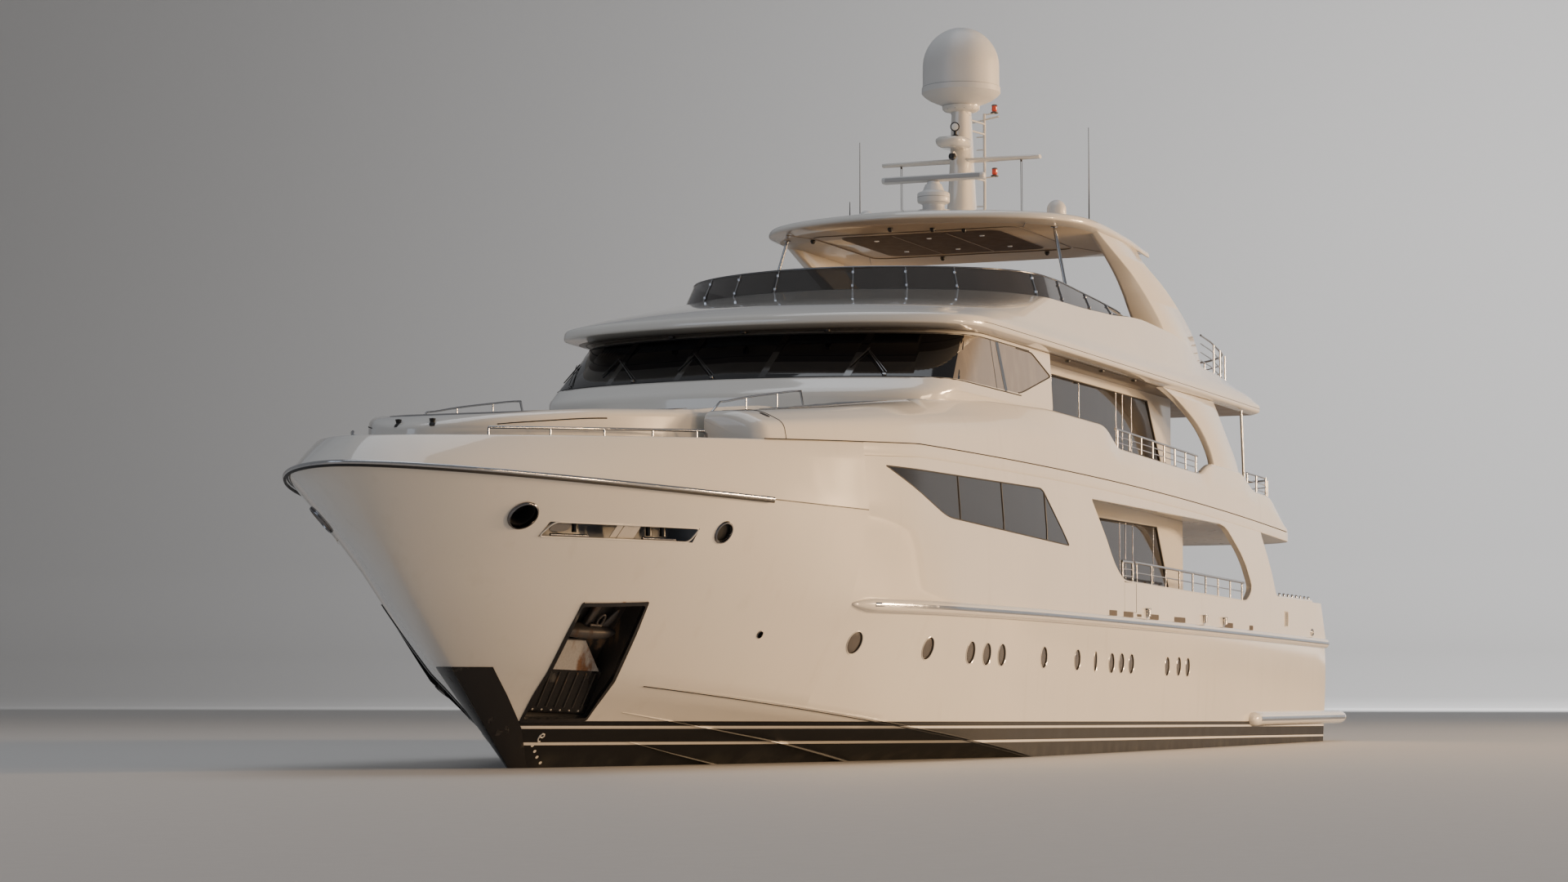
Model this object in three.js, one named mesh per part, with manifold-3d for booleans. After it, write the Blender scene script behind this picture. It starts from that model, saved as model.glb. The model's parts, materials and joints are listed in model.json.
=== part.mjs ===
// Motor yacht, three decks, at full size. Millimetres, +X forward, +Y port, +Z up.
// The origin is on the centreline at the waterline, near amidships.
import * as THREE from "three";
import { mergeVertices } from "three/addons/utils/BufferGeometryUtils.js";
import Module from "manifold-3d";

const wasm = await Module();
wasm.setup();

// Driving dimensions
const GAP = 0.3; // between pieces that rest on each other
const PANE_EDGE = 1.2; // how much smaller a pane is than its hole, towards its middle
const PIN_GAP = 1.6; // on the radius, round a pin that turns in its hole
const PIN_SIDES = 20;
const STERN_X = -18900;
const BREAK_X = 9950; // where the raised foredeck ends and the main deck begins
const MAIN_DECK_Z = 2250;
const WALL = 120; // topsides and bulwarks
const DECK = 200; // deck slabs
const SHOULDER_X = 12500; // forward face of the raised side boxes
const SHOULDER_INNER_Y = 2250;
const FLY_Z = 6800; // underside of the flybridge deck
const FLY_FLOOR_Z = 7000;
const HARDTOP_Z = 9400; // underside of the hardtop
const MAST_X = -4700;

// Lines that run round the bow. Each is a rounded plan from its stem point to full beam:
// stem, run and beam are lengths, full and blunt shape the plan.
const LINES = {
  chine: { stem: 15700, run: 12500, beam: 3720, full: 1.8, blunt: 1.3 },
  knuckle: { stem: 17370, run: 10500, beam: 3880, full: 1.5, blunt: 1.4 },
  rail: { stem: 18770, run: 10700, beam: 3880, full: 1.547, blunt: 1.746 },
  cap: { stem: 18280, run: 10200, beam: 3800, full: 1.637, blunt: 1.507 },
};
const TAPER_START_X = 4000; // the sides draw in from here to the stern
const STERN_NARROWING = 0.085;
// Keel profile: x, z
const KEEL = [
  [-18900, -560],
  [-16000, -760],
  [-12000, -1330],
  [-6000, -1900],
  [3000, -1980],
  [8000, -1850],
  [11000, -1480],
  [12200, -1080],
  [12900, -800],
];
const STEM_RAKE = 1.226; // x gained for each unit of height above the waterline
const STEM_WATER_X = 14000;

const clamp01 = (v) => Math.min(1, Math.max(0, v));
const lerp = (a, b, t) => a + (b - a) * t;

// Height of a profile table at x, linear between its rows.
function along(table, x) {
  if (x <= table[0][0]) return table[0][1];
  for (let i = 1; i < table.length; i++)
    if (x <= table[i][0]) {
      const [x0, z0] = table[i - 1];
      const [x1, z1] = table[i];
      return lerp(z0, z1, (x - x0) / (x1 - x0));
    }
  return table.at(-1)[1];
}

const taper = (x) => 1 - STERN_NARROWING * clamp01((TAPER_START_X - x) / (TAPER_START_X - STERN_X)) ** 2;

// Half-beam of a line at x.
function halfBeam(line, x) {
  const s = clamp01((line.stem - x) / line.run);
  return line.beam * taper(x) * (1 - (1 - s) ** line.full) ** (1 / line.blunt);
}

const chineZ = (x) => {
  const aft = (LINES.chine.stem - x) / 1000;
  return Math.max(-350, 1390 - 98 * aft - 0.6 * aft * aft);
};
const knuckleZ = (x) => 2750 - 450 * clamp01((LINES.knuckle.stem - x) / 7400);
const railZ = (x) => 3654 + 232 * (1 - clamp01((LINES.rail.stem - x) / LINES.rail.run)) ** 2.125;
// Sheer of the bulwark cap forward and of the upper deck's edge aft.
const capZ = (x) =>
  x > 8080
    ? 4740 - 474 * (1 - clamp01((LINES.cap.stem - x) / LINES.cap.run)) ** 0.965
    : 4780 - 1.08e-6 * (x - 2000) ** 2;
const transomX = (z) => STERN_X + 1090 * Math.max(0, (z - 600) / 2430) ** 3;

// Half-beam of the side at any height between the chine and the cap.
function sideY(x, z) {
  const heights = [chineZ(x), knuckleZ(x), railZ(x), capZ(x)];
  const beams = [LINES.chine, LINES.knuckle, LINES.rail, LINES.cap].map((l) => halfBeam(l, x));
  for (let i = 1; i < 4; i++)
    if (z <= heights[i] || i === 3)
      return lerp(beams[i - 1], beams[i], (z - heights[i - 1]) / (heights[i] - heights[i - 1]));
}

// Geometry tools

// A closed mesh as a solid for cutting and joining.
function solid(geometry) {
  const bare = new THREE.BufferGeometry().setAttribute(
    "position",
    (geometry.index ? geometry.toNonIndexed() : geometry).getAttribute("position"),
  );
  const merged = mergeVertices(bare, 1e-3);
  const index = merged.index.array;
  const kept = [];
  for (let i = 0; i < index.length; i += 3) {
    const [a, b, c] = [index[i], index[i + 1], index[i + 2]];
    if (a !== b && b !== c && c !== a) kept.push(a, b, c);
  }
  const made = new wasm.Manifold(
    new wasm.Mesh({
      numProp: 3,
      vertProperties: merged.attributes.position.array,
      triVerts: new Uint32Array(kept),
    }),
  );
  if (made.volume() >= 0) return made;
  for (let i = 0; i < kept.length; i += 3) [kept[i + 1], kept[i + 2]] = [kept[i + 2], kept[i + 1]];
  return new wasm.Manifold(
    new wasm.Mesh({
      numProp: 3,
      vertProperties: merged.attributes.position.array,
      triVerts: new Uint32Array(kept),
    }),
  );
}
const join = (...parts) => parts.reduce((a, b) => a.add(b));
const cut = (whole, ...tools) => tools.reduce((a, b) => a.subtract(b), whole);
const common = (a, b) => a.intersect(b);

const reach = (p, q) => Math.hypot(p[0] - q[0], p[1] - q[1], p[2] - q[2]);

// A loft through rings of points [x, y, z]; every ring has the same count.
// Each face is split along its shorter diagonal, so that port and starboard match.
function loft(rings, { capStart = true, capEnd = true } = {}) {
  const count = rings[0].length;
  const positions = [];
  const index = [];
  rings.forEach((ring) => ring.forEach((p) => positions.push(...p)));
  for (let i = 0; i < rings.length - 1; i++)
    for (let k = 0; k < count; k++) {
      const next = (k + 1) % count;
      const [a, b, c, d] = [i * count + k, i * count + next, (i + 1) * count + k, (i + 1) * count + next];
      if (reach(rings[i][k], rings[i + 1][next]) < reach(rings[i][next], rings[i + 1][k]))
        index.push(a, b, d, a, d, c);
      else index.push(a, b, c, b, d, c);
    }
  const cap = (start, flip) => {
    const ring = rings[start];
    const normal = new THREE.Vector3();
    ring.forEach((p, k) => {
      const q = ring[(k + 1) % count];
      normal.add(new THREE.Vector3().crossVectors(new THREE.Vector3(...p), new THREE.Vector3(...q)));
    });
    const size = [Math.abs(normal.x), Math.abs(normal.y), Math.abs(normal.z)];
    const drop = size.indexOf(Math.max(...size));
    const flat = ring.map((p) => new THREE.Vector2(p[(drop + 1) % 3], p[(drop + 2) % 3]));
    const turned = [normal.x, normal.y, normal.z][drop] < 0;
    if (turned) flat.reverse();
    for (const [a, b, c] of THREE.ShapeUtils.triangulateShape(flat, [])) {
      const face = [a, b, c].map((k) => start * count + (turned ? count - 1 - k : k));
      if (turned !== flip) face.reverse();
      index.push(...face);
    }
  };
  if (capStart) cap(0, true);
  if (capEnd) cap(rings.length - 1, false);
  const geometry = new THREE.BufferGeometry();
  geometry.setAttribute("position", new THREE.Float32BufferAttribute(positions, 3));
  geometry.setIndex(index);
  return solid(geometry);
}

const mirror = (ring) => ring.map(([x, y, z]) => [x, -y, z]).reverse();

// A hull-like form. Its rows are functions of a column that give a port point, the lowest row first.
const rowForm = (rows, columns, nose = true) =>
  loft(
    columns.map((c) => {
      const port = rows.map((row) => row(c));
      return [...port, ...mirror(port)];
    }),
    { capStart: !nose },
  );

// A prism from an outline of [x, z] points, between two values of y.
const sidePrism = (outline, y0, y1) =>
  loft([outline.map(([x, z]) => [x, y0, z]), outline.map(([x, z]) => [x, y1, z])]);
// A prism from an outline of [x, y] points, between two heights.
const planPrism = (outline, z0, z1) =>
  loft([outline.map(([x, y]) => [x, y, z0]), outline.map(([x, y]) => [x, y, z1])]);
const box = (x0, x1, y0, y1, z0, z1) =>
  planPrism(
    [
      [x0, y0],
      [x1, y0],
      [x1, y1],
      [x0, y1],
    ],
    z0,
    z1,
  );

// A straight round bar, tapered when the two radii differ.
function bar(from, to, radius, sides = 8, endRadius = radius) {
  const a = new THREE.Vector3(...from);
  const b = new THREE.Vector3(...to);
  const geometry = new THREE.CylinderGeometry(endRadius, radius, a.distanceTo(b), sides);
  const turn = new THREE.Quaternion().setFromUnitVectors(
    new THREE.Vector3(0, 1, 0),
    b.clone().sub(a).normalize(),
  );
  geometry.applyQuaternion(turn);
  const middle = a.add(b).multiplyScalar(0.5);
  geometry.translate(middle.x, middle.y, middle.z);
  return solid(geometry);
}

// A bent round bar through points, with mitred corners.
function tube(points, radius, sides = 6) {
  const path = points.map((p) => new THREE.Vector3(...p));
  const up = new THREE.Vector3(0, 0, 1);
  const rings = path.map((p, i) => {
    const before = (i ? p.clone().sub(path[i - 1]) : path[1].clone().sub(p)).normalize();
    const after = (i < path.length - 1 ? path[i + 1].clone().sub(p) : before.clone()).normalize();
    const ahead = before.clone().add(after).normalize();
    const stretch = 1 / Math.max(0.5, ahead.dot(after));
    const reference = Math.abs(ahead.z) > 0.9 ? new THREE.Vector3(1, 0, 0) : up;
    const side = new THREE.Vector3().crossVectors(ahead, reference).normalize();
    const top = new THREE.Vector3().crossVectors(side, ahead).normalize();
    return Array.from({ length: sides }, (_, k) => {
      const angle = (2 * Math.PI * (k + 0.5)) / sides;
      const q = p
        .clone()
        .addScaledVector(side, radius * stretch * Math.cos(angle))
        .addScaledVector(top, radius * Math.sin(angle));
      return [q.x, q.y, q.z];
    });
  });
  return loft(rings);
}

// A body of revolution about Z from [radius, z] pairs that start and end on the axis.
function turned(profile, x, y, sides = 24) {
  const geometry = new THREE.LatheGeometry(
    profile.map(([r, z]) => new THREE.Vector2(r, z)),
    sides,
  );
  geometry.rotateX(Math.PI / 2);
  geometry.translate(x, y, 0);
  return solid(geometry);
}

// The named meshes
const yacht = new THREE.Group();
const finishes = {
  white: new THREE.MeshStandardMaterial({ color: 0xf2efe8, roughness: 0.25, metalness: 0 }),
  glass: new THREE.MeshStandardMaterial({ color: 0x14171a, roughness: 0.08, metalness: 0 }),
  steel: new THREE.MeshStandardMaterial({ color: 0xc9ccd0, roughness: 0.2, metalness: 1 }),
  bronze: new THREE.MeshStandardMaterial({ color: 0xb08d57, roughness: 0.35, metalness: 1 }),
  iron: new THREE.MeshStandardMaterial({ color: 0x5b534b, roughness: 0.7, metalness: 0.6 }),
  smoke: new THREE.MeshStandardMaterial({ color: 0x4a3f36, roughness: 0.1, metalness: 0 }),
};

function geometryOf(made) {
  const mesh = made.getMesh();
  const geometry = new THREE.BufferGeometry();
  geometry.setAttribute("position", new THREE.BufferAttribute(mesh.vertProperties.slice(), 3));
  return geometry.setIndex(new THREE.BufferAttribute(mesh.triVerts.slice(), 1));
}
function add(name, made, finish) {
  const object = new THREE.Mesh(geometryOf(made), finishes[finish]);
  object.name = name;
  yacht.add(object);
  return object;
}

// A port piece and its mirrored starboard twin.
function addPair(name, made, finish) {
  add(name + "_port", made, finish);
  add(name + "_stbd", made, finish).scale.y = -1;
}
const flipped = (made) => solid(geometryOf(made).scale(1, -1, 1));
const both = (made) => join(made, flipped(made));

// Pieces are fitted by cutting them with a neighbour moved a little towards them.
const moved = (made, [x, y, z]) => solid(geometryOf(made).translate(x, y, z));
const clearOf = (made, neighbour, ...shifts) => cut(made, ...shifts.map((shift) => moved(neighbour, shift)));
const UP = [0, 0, GAP];
const DOWN = [0, 0, -GAP];
const AROUND = [
  [GAP, 0, 0],
  [-GAP, 0, 0],
  [0, GAP, 0],
  [0, -GAP, 0],
];

// Columns: share runs from the stem, 0, to the break, 1; x runs aft of the break.
const FORWARD_SHARES = [0, 0.01, 0.03, 0.06, 0.1, 0.15, 0.22, 0.3, 0.4, 0.5, 0.6, 0.7, 0.8, 0.9, 1];
const AFT_XS = [BREAK_X - 0.1, 8000, 6000, 4000, 1500, -1500, -4500, -7500, -10500, -13500, -16000];
const columnX = (stem, c, end = STERN_X) =>
  c.share !== undefined ? lerp(stem, BREAK_X, c.share) : (c.x ?? end);
const FORWARD = FORWARD_SHARES.map((share) => ({ share }));
const AFT = [...AFT_XS.map((x) => ({ x })), {}];

// Hull

const keelZ = (x) => along(KEEL, x);

// Port point of a hull row: the heights run from the keel, 0, through the chine to the sheer, 1.
function hullRow({ stem, forward, aft }) {
  return (c) => {
    const isForward = c.share !== undefined;
    const z0 = isForward ? 0 : aft.z(c.x ?? STERN_X);
    const x = isForward ? columnX(stem, c) : (c.x ?? transomX(z0));
    if (isForward) return [x, c.share === 0 ? 0 : forward.y(x), forward.z(x)];
    return [x, aft.y(x, z0), z0];
  };
}

const bottomZ = (x) => lerp(keelZ(x), chineZ(x), 0.62);
const forwardSide = (name, z) => ({ y: (x) => halfBeam(LINES[name], x), z });
const sideShare = (share) => ({
  y: (x, z) => sideY(x, z),
  z: (x) => lerp(chineZ(x), MAIN_DECK_Z, share),
});
const fromStem = (name, stem) => ({ ...LINES[name], stem });
// A row midway between two lines, measured from its own point on the stem.
function middleRow(stem, [low, lowZ], [high, highZ]) {
  const stemZ = (stem - STEM_WATER_X) / STEM_RAKE;
  const endZ = lerp(lowZ(BREAK_X), highZ(BREAK_X), 0.5);
  return {
    y: (x) => lerp(halfBeam(fromStem(low, stem), x), halfBeam(fromStem(high, stem), x), 0.5),
    z: (x) => lerp(stemZ, endZ, clamp01((stem - x) / (stem - BREAK_X))),
  };
}
const BILGE = { stem: 14190, stemZ: 155, share: 0.55 };
const bilgeY = (line) => (x) => BILGE.share * halfBeam(line, x);
const HULL_ROWS = [
  { stem: 12900, forward: { y: () => 0, z: keelZ }, aft: { y: () => 0, z: keelZ } },
  {
    stem: BILGE.stem,
    forward: {
      y: bilgeY(fromStem("chine", BILGE.stem)),
      z: (x) => lerp(BILGE.stemZ, bottomZ(BREAK_X), clamp01((BILGE.stem - x) / (BILGE.stem - BREAK_X))),
    },
    aft: { y: bilgeY(fromStem("chine", BILGE.stem)), z: bottomZ },
  },
  {
    stem: LINES.chine.stem,
    forward: forwardSide("chine", chineZ),
    aft: { y: (x) => halfBeam(LINES.chine, x), z: chineZ },
  },
  {
    stem: 16530,
    forward: middleRow(16530, ["chine", chineZ], ["knuckle", knuckleZ]),
    aft: sideShare(0.25),
  },
  { stem: LINES.knuckle.stem, forward: forwardSide("knuckle", knuckleZ), aft: sideShare(0.5) },
  {
    stem: 18090,
    forward: middleRow(18090, ["knuckle", knuckleZ], ["rail", railZ]),
    aft: sideShare(0.8),
  },
  { stem: LINES.rail.stem, forward: forwardSide("rail", railZ), aft: sideShare(1) },
];
const hullBody = rowForm(HULL_ROWS.map(hullRow), [...FORWARD, ...AFT]);

// Anchor pocket, hawse and mooring slot, given by a point on the side and its axes.
function sideTool(shape, origin, forwardAxis, upAxis) {
  const x = new THREE.Vector3(...forwardAxis).normalize();
  const z = new THREE.Vector3(...upAxis).normalize();
  const y = new THREE.Vector3().crossVectors(z, x).normalize();
  const place = new THREE.Matrix4()
    .makeBasis(x, y, new THREE.Vector3().crossVectors(x, y))
    .setPosition(...origin);
  return solid(shape.applyMatrix4(place));
}
const POCKET_AT = [14030, 1230, 1450];
const POCKET_ALONG = [890, -570, 40]; // across the pocket, towards the stem
const POCKET_UP = [620, 1130, 1480]; // up the pocket's long side
const POCKET_WIDTH = 1060;
const POCKET_HEIGHT = 1940;
const POCKET_DEPTH = 420;
const pocket = sideTool(
  new THREE.BoxGeometry(POCKET_WIDTH, 2 * POCKET_DEPTH, POCKET_HEIGHT),
  POCKET_AT,
  POCKET_ALONG,
  POCKET_UP,
);
const HAWSE_AT = [16500, 1430, 3330];
const HAWSE_OUT = [0.62, 0.72, -0.31];
const hawseEnd = (reach) => HAWSE_AT.map((v, i) => v + reach * HAWSE_OUT[i]);
const hawse = bar(hawseEnd(-380), hawseEnd(400), 150, 12);
const SLOT = { fore: 16120, aft: 13700, low: 3050, high: 3240, depth: 420 };
const slotTool = loft(
  [SLOT.fore, SLOT.aft].map((x) => {
    const y = sideY(x, (SLOT.low + SLOT.high) / 2);
    return [
      [x, y - SLOT.depth, SLOT.low],
      [x, y + 300, SLOT.low],
      [x, y + 300, SLOT.high],
      [x, y - SLOT.depth, SLOT.high],
    ];
  }),
);

// Shafts, brackets and rudders
const SHAFT_Y = 1550;
const SHAFT_FORE = [-12400, SHAFT_Y, -1060];
const PROP_AT = [-16300, SHAFT_Y, -1400];
const SHAFT_RADIUS = 45;
const PROP_RADIUS = 540;
const shaftSlope = (PROP_AT[2] - SHAFT_FORE[2]) / (PROP_AT[0] - SHAFT_FORE[0]);
const onShaft = (x) => [x, SHAFT_Y, SHAFT_FORE[2] + (x - SHAFT_FORE[0]) * shaftSlope];
const TUBE_END_X = -13200;
const BRACKET_X = -15500;
const RUDDER_AT = [-17500, SHAFT_Y];
const RUDDER_STOCK_RADIUS = 60;
const RUDDER_TOP_Z = -820;
const RUDDER_BOSS_TOP_Z = -300;
const sternGear = cut(
  join(
    bar(onShaft(-10000), onShaft(TUBE_END_X), 95, 10),
    bar(onShaft(BRACKET_X + 150), onShaft(BRACKET_X - 150), 95, 10),
    loft([
      [
        [BRACKET_X + 110, SHAFT_Y - 18, onShaft(BRACKET_X)[2]],
        [BRACKET_X + 110, SHAFT_Y + 18, onShaft(BRACKET_X)[2]],
        [BRACKET_X - 110, SHAFT_Y + 18, onShaft(BRACKET_X)[2]],
        [BRACKET_X - 110, SHAFT_Y - 18, onShaft(BRACKET_X)[2]],
      ],
      [
        [BRACKET_X + 150, SHAFT_Y - 22, -350],
        [BRACKET_X + 150, SHAFT_Y + 22, -350],
        [BRACKET_X - 150, SHAFT_Y + 22, -350],
        [BRACKET_X - 150, SHAFT_Y - 22, -350],
      ],
    ]),
    bar([...RUDDER_AT, RUDDER_BOSS_TOP_Z], [...RUDDER_AT, RUDDER_TOP_Z + 40], 110, 10),
  ),
  bar(onShaft(TUBE_END_X + 120), onShaft(BRACKET_X - 300), SHAFT_RADIUS + PIN_GAP, PIN_SIDES),
);
const rudderHole = bar(
  [...RUDDER_AT, RUDDER_TOP_Z + 400],
  [...RUDDER_AT, RUDDER_TOP_Z - 400],
  RUDDER_STOCK_RADIUS + PIN_GAP,
  PIN_SIDES,
);
const hullTools = [pocket, hawse, slotTool, rudderHole].map(both);
const hull = cut(join(hullBody, both(sternGear)), ...hullTools);
add("hull", hull, "white");

// Propeller with its shaft: blades are thin twisted plates on a hub
function propeller() {
  const hub = bar(onShaft(PROP_AT[0] + 160), onShaft(PROP_AT[0] - 190), 105, 12, 70);
  const shaft = bar(onShaft(TUBE_END_X + 119.4), onShaft(PROP_AT[0]), SHAFT_RADIUS, PIN_SIDES);
  const blades = [0, 1, 2, 3, 4].map((k) => {
    const rings = [
      { r: 60, chord: 130, pitch: 1.1 },
      { r: 250, chord: 220, pitch: 0.85 },
      { r: 430, chord: 230, pitch: 0.6 },
      { r: PROP_RADIUS, chord: 90, pitch: 0.5 },
    ].map(({ r, chord, pitch }) => {
      const way = [Math.sin(pitch), Math.cos(pitch)];
      const corners = [
        [-chord, -9],
        [chord, -9],
        [chord, 9],
        [-chord, 9],
      ].map(([c, t]) => [
        (c / 2) * way[0] - t * way[1],
        (c / 2) * way[1] + t * way[0],
        r,
      ]);
      const angle = (2 * Math.PI * k) / 5;
      return corners.map(([x, y, z]) => {
        const p = new THREE.Vector3(x, y, z).applyAxisAngle(new THREE.Vector3(1, 0, 0), angle);
        p.applyAxisAngle(new THREE.Vector3(0, 1, 0), -Math.atan(shaftSlope));
        return [p.x + PROP_AT[0], p.y + PROP_AT[1], p.z + PROP_AT[2]];
      });
    });
    return loft(rings);
  });
  return join(hub, shaft, ...blades);
}
addPair("propeller", propeller(), "bronze");

// Rudder: a tapered blade under its stock
const rudder = join(
  bar(
    [...RUDDER_AT, RUDDER_TOP_Z - 60],
    [...RUDDER_AT, RUDDER_TOP_Z + 399.4],
    RUDDER_STOCK_RADIUS,
    PIN_SIDES,
  ),
  loft(
    [
      { z: RUDDER_TOP_Z - 15, fore: 330, aft: 620, half: 62 },
      { z: -1850, fore: 230, aft: 480, half: 34 },
    ].map(({ z, fore, aft, half }) =>
      [
        [fore, 0],
        [fore * 0.5, half],
        [-aft * 0.3, half],
        [-aft, 6],
        [-aft, -6],
        [-aft * 0.3, -half],
        [fore * 0.5, -half],
      ].map(([x, y]) => [RUDDER_AT[0] + x, SHAFT_Y + y, z]),
    ),
  ),
);
addPair("rudder", rudder, "bronze");

// Bow bulwark: a leaning wall from the rail line up to the cap, round the bow
function bandRing(low, high, inset) {
  return (c, side) => {
    const ring = [
      [low, 0, GAP],
      [high, 0, 0],
      [high, inset, 0],
      [low, inset, GAP],
    ].map(([line, inward, lift]) => {
      const shifted = { ...line.plan, stem: line.plan.stem - 2 * inward, beam: line.plan.beam - inward };
      const x = c.share !== undefined ? lerp(shifted.stem, line.end ?? BREAK_X, c.share) : c.x;
      const y = c.share === 0 ? 0 : halfBeam(shifted, x);
      const z = line.z(lerp(line.plan.stem, line.end ?? BREAK_X, c.share)) + lift;
      return [x, side * y, z];
    });
    return ring;
  };
}
function bowBand(low, high, inset, shares) {
  const ring = bandRing(low, high, inset);
  const port = shares.toReversed().map((share) => ring({ share }, 1));
  const starboard = shares.slice(1).map((share) => ring({ share }, -1));
  return loft([...port, ...starboard]);
}
const bowBulwark = bowBand(
  { plan: LINES.rail, z: railZ },
  { plan: LINES.cap, z: capZ },
  WALL,
  FORWARD_SHARES,
);
add("bow_bulwark", bowBulwark, "white");

// Topsides: the full-beam walls of the main deck, with the saloon window and the side opening
const SIDE_WINDOW = [
  [9300, 4340],
  [7000, 3700],
  [900, 3510],
  [2210, 4400],
];
const SIDE_OPENING = [
  [-520, 4390],
  [-1700, 3310],
  [-2280, 3020],
  [-11300, 2890],
  [-11790, 3170],
  [-11000, 3800],
  [-9870, 4300],
  [-9400, 4370],
];
const TOPSIDE_TOP = (x) => capZ(x) - DECK - GAP;
const AFT_BULWARK_Z = 3040;
const PILLAR_FOOT_X = -13850;
const PILLAR_TOP_X = -12700;
const SIDE_XS = [BREAK_X - GAP, 8000, 6000, 4000, 1500, -1500, -4500, -7500, -10500, PILLAR_TOP_X];
function topsideWall(outset, thickness) {
  return loft(
    [...SIDE_XS, -16000, -17500].map((x) => {
      const top = TOPSIDE_TOP(x);
      const middle = Math.min(knuckleZ(x) + 300, top - 200);
      const heights = [MAIN_DECK_Z + GAP, middle, lerp(MAIN_DECK_Z, top, 0.7), top];
      const outer = heights.map((z) => [x < -17400 ? transomX(z) : x, sideY(x, z) + outset, z]);
      const inner = outer.map(([px, y, z]) => [px, y - thickness, z]).reverse();
      return [...outer, ...inner];
    }),
  );
}
const aftCut = sidePrism(
  [
    [PILLAR_FOOT_X, AFT_BULWARK_Z + 60],
    [-14100, AFT_BULWARK_Z],
    [-19500, AFT_BULWARK_Z - 30],
    [-19500, 5200],
    [PILLAR_TOP_X + 100, 5200],
    [PILLAR_TOP_X, 4380],
  ],
  2500,
  4500,
);
// Boarding gate in the bulwark under the side opening
const GATE = { fore: -2350, aft: -3100, low: 2480, gap: 6, hingeGap: 0.5, railZ: 3370 };
const gateHole = box(GATE.aft - GATE.gap, GATE.fore + GATE.hingeGap, 3000, 4500, GATE.low - GATE.gap, 3400);
const topside = cut(
  topsideWall(0, WALL),
  sidePrism(SIDE_WINDOW, 2500, 4500),
  sidePrism(SIDE_OPENING, 2500, 4500),
  aftCut,
  gateHole,
);
addPair("topside", topside, "white");
const inset = (outline, by) => {
  const count = outline.length;
  const middle = outline.reduce((sum, [x, z]) => [sum[0] + x / count, sum[1] + z / count], [0, 0]);
  return outline.map(([x, z]) => {
    const d = Math.hypot(x - middle[0], z - middle[1]);
    return [x - ((x - middle[0]) * by) / d, z - ((z - middle[1]) * by) / d];
  });
};
const sidePane = sidePrism(inset(SIDE_WINDOW, PANE_EDGE), 2500, 4500);
addPair("topside_glass", common(topsideWall(-6, 40), sidePane), "glass");
// The free end is bevelled, so that it swings past the wall.
const gateBlank = planPrism(
  [
    [GATE.fore, 3600],
    [GATE.fore, 4000],
    [GATE.aft + 35, 4000],
    [GATE.aft - 13, 3600],
  ],
  GATE.low,
  3400,
);
const gatePanel = cut(common(topsideWall(0, WALL), gateBlank), sidePrism(SIDE_OPENING, 2500, 4500));
const gateRailY = sideY(GATE.fore, 2950) - 60;
const gateRail = join(
  bar([GATE.fore - 40, gateRailY, GATE.railZ], [GATE.aft + 40, gateRailY, GATE.railZ], 24),
  ...[GATE.fore - 64, GATE.aft + 64].map((x) => bar([x, gateRailY, 2900], [x, gateRailY, GATE.railZ], 20)),
);
addPair("boarding_gate", join(gatePanel, gateRail), "white");

// Rub rails, held against the side by cutting with a slightly fuller side
const rubZ = (x) => 2310 - 0.00042 * Math.max(0, 3000 - x) ** 1.29;
// Columns of a moulding: x, and the share of its full size
const RUB_FORE = [
  [9900, 0.25],
  [9700, 0.625],
  [9300, 1],
  [8000, 1],
  [6000, 1],
  [4000, 1],
  [1500, 1],
  [-300, 1],
];
const RUB_AFT = [
  [-300 - GAP, 1],
  [-1500, 1],
  [-4500, 1],
  [-7500, 1],
  [-10500, 1],
  [-13500, 1],
  [-16000, 1],
  [-18500, 1],
];
function sideMoulding(columns, zAt, half, reach) {
  return loft(
    columns.map(([x, grow]) => {
      const z = zAt(x);
      const y = sideY(x, z);
      return [
        [x, y - 60, z - half * grow],
        [x, y + reach * 0.7 * grow, z - half * 0.75 * grow],
        [x, y + reach * grow, z],
        [x, y + reach * 0.7 * grow, z + half * 0.75 * grow],
        [x, y - 60, z + half * grow],
      ];
    }),
  );
}
const SKIN_GAP = 0.4;
const sideSkin = (grow, end = -18880) =>
  loft(
    [{ x: 10400 }, { x: BREAK_X }, ...AFT_XS.map((x) => ({ x })), { x: end }].map(({ x }) => {
      const heights = [chineZ(x), ...[0.25, 0.5, 0.8, 1].map((s) => lerp(chineZ(x), MAIN_DECK_Z, s)), 2900];
      const outer = heights.map((z) => [x, sideY(x, z) + grow, z]);
      return [...outer, [x, 2500, 2900], [x, 2500, chineZ(x)]];
    }),
  );
const RUB_HALF = 110;
const sideRail = (columns) =>
  clearOf(
    clearOf(sideMoulding(columns, rubZ, RUB_HALF, 130), hullBody, [0, SKIN_GAP, 0]),
    topsideWall(0, WALL),
    [0, SKIN_GAP, 0],
    [0, SKIN_GAP, -SKIN_GAP],
  );
addPair("side_rub_rail_fore", sideRail(RUB_FORE), "white");
addPair("side_rub_rail_aft", sideRail(RUB_AFT), "white");

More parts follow.
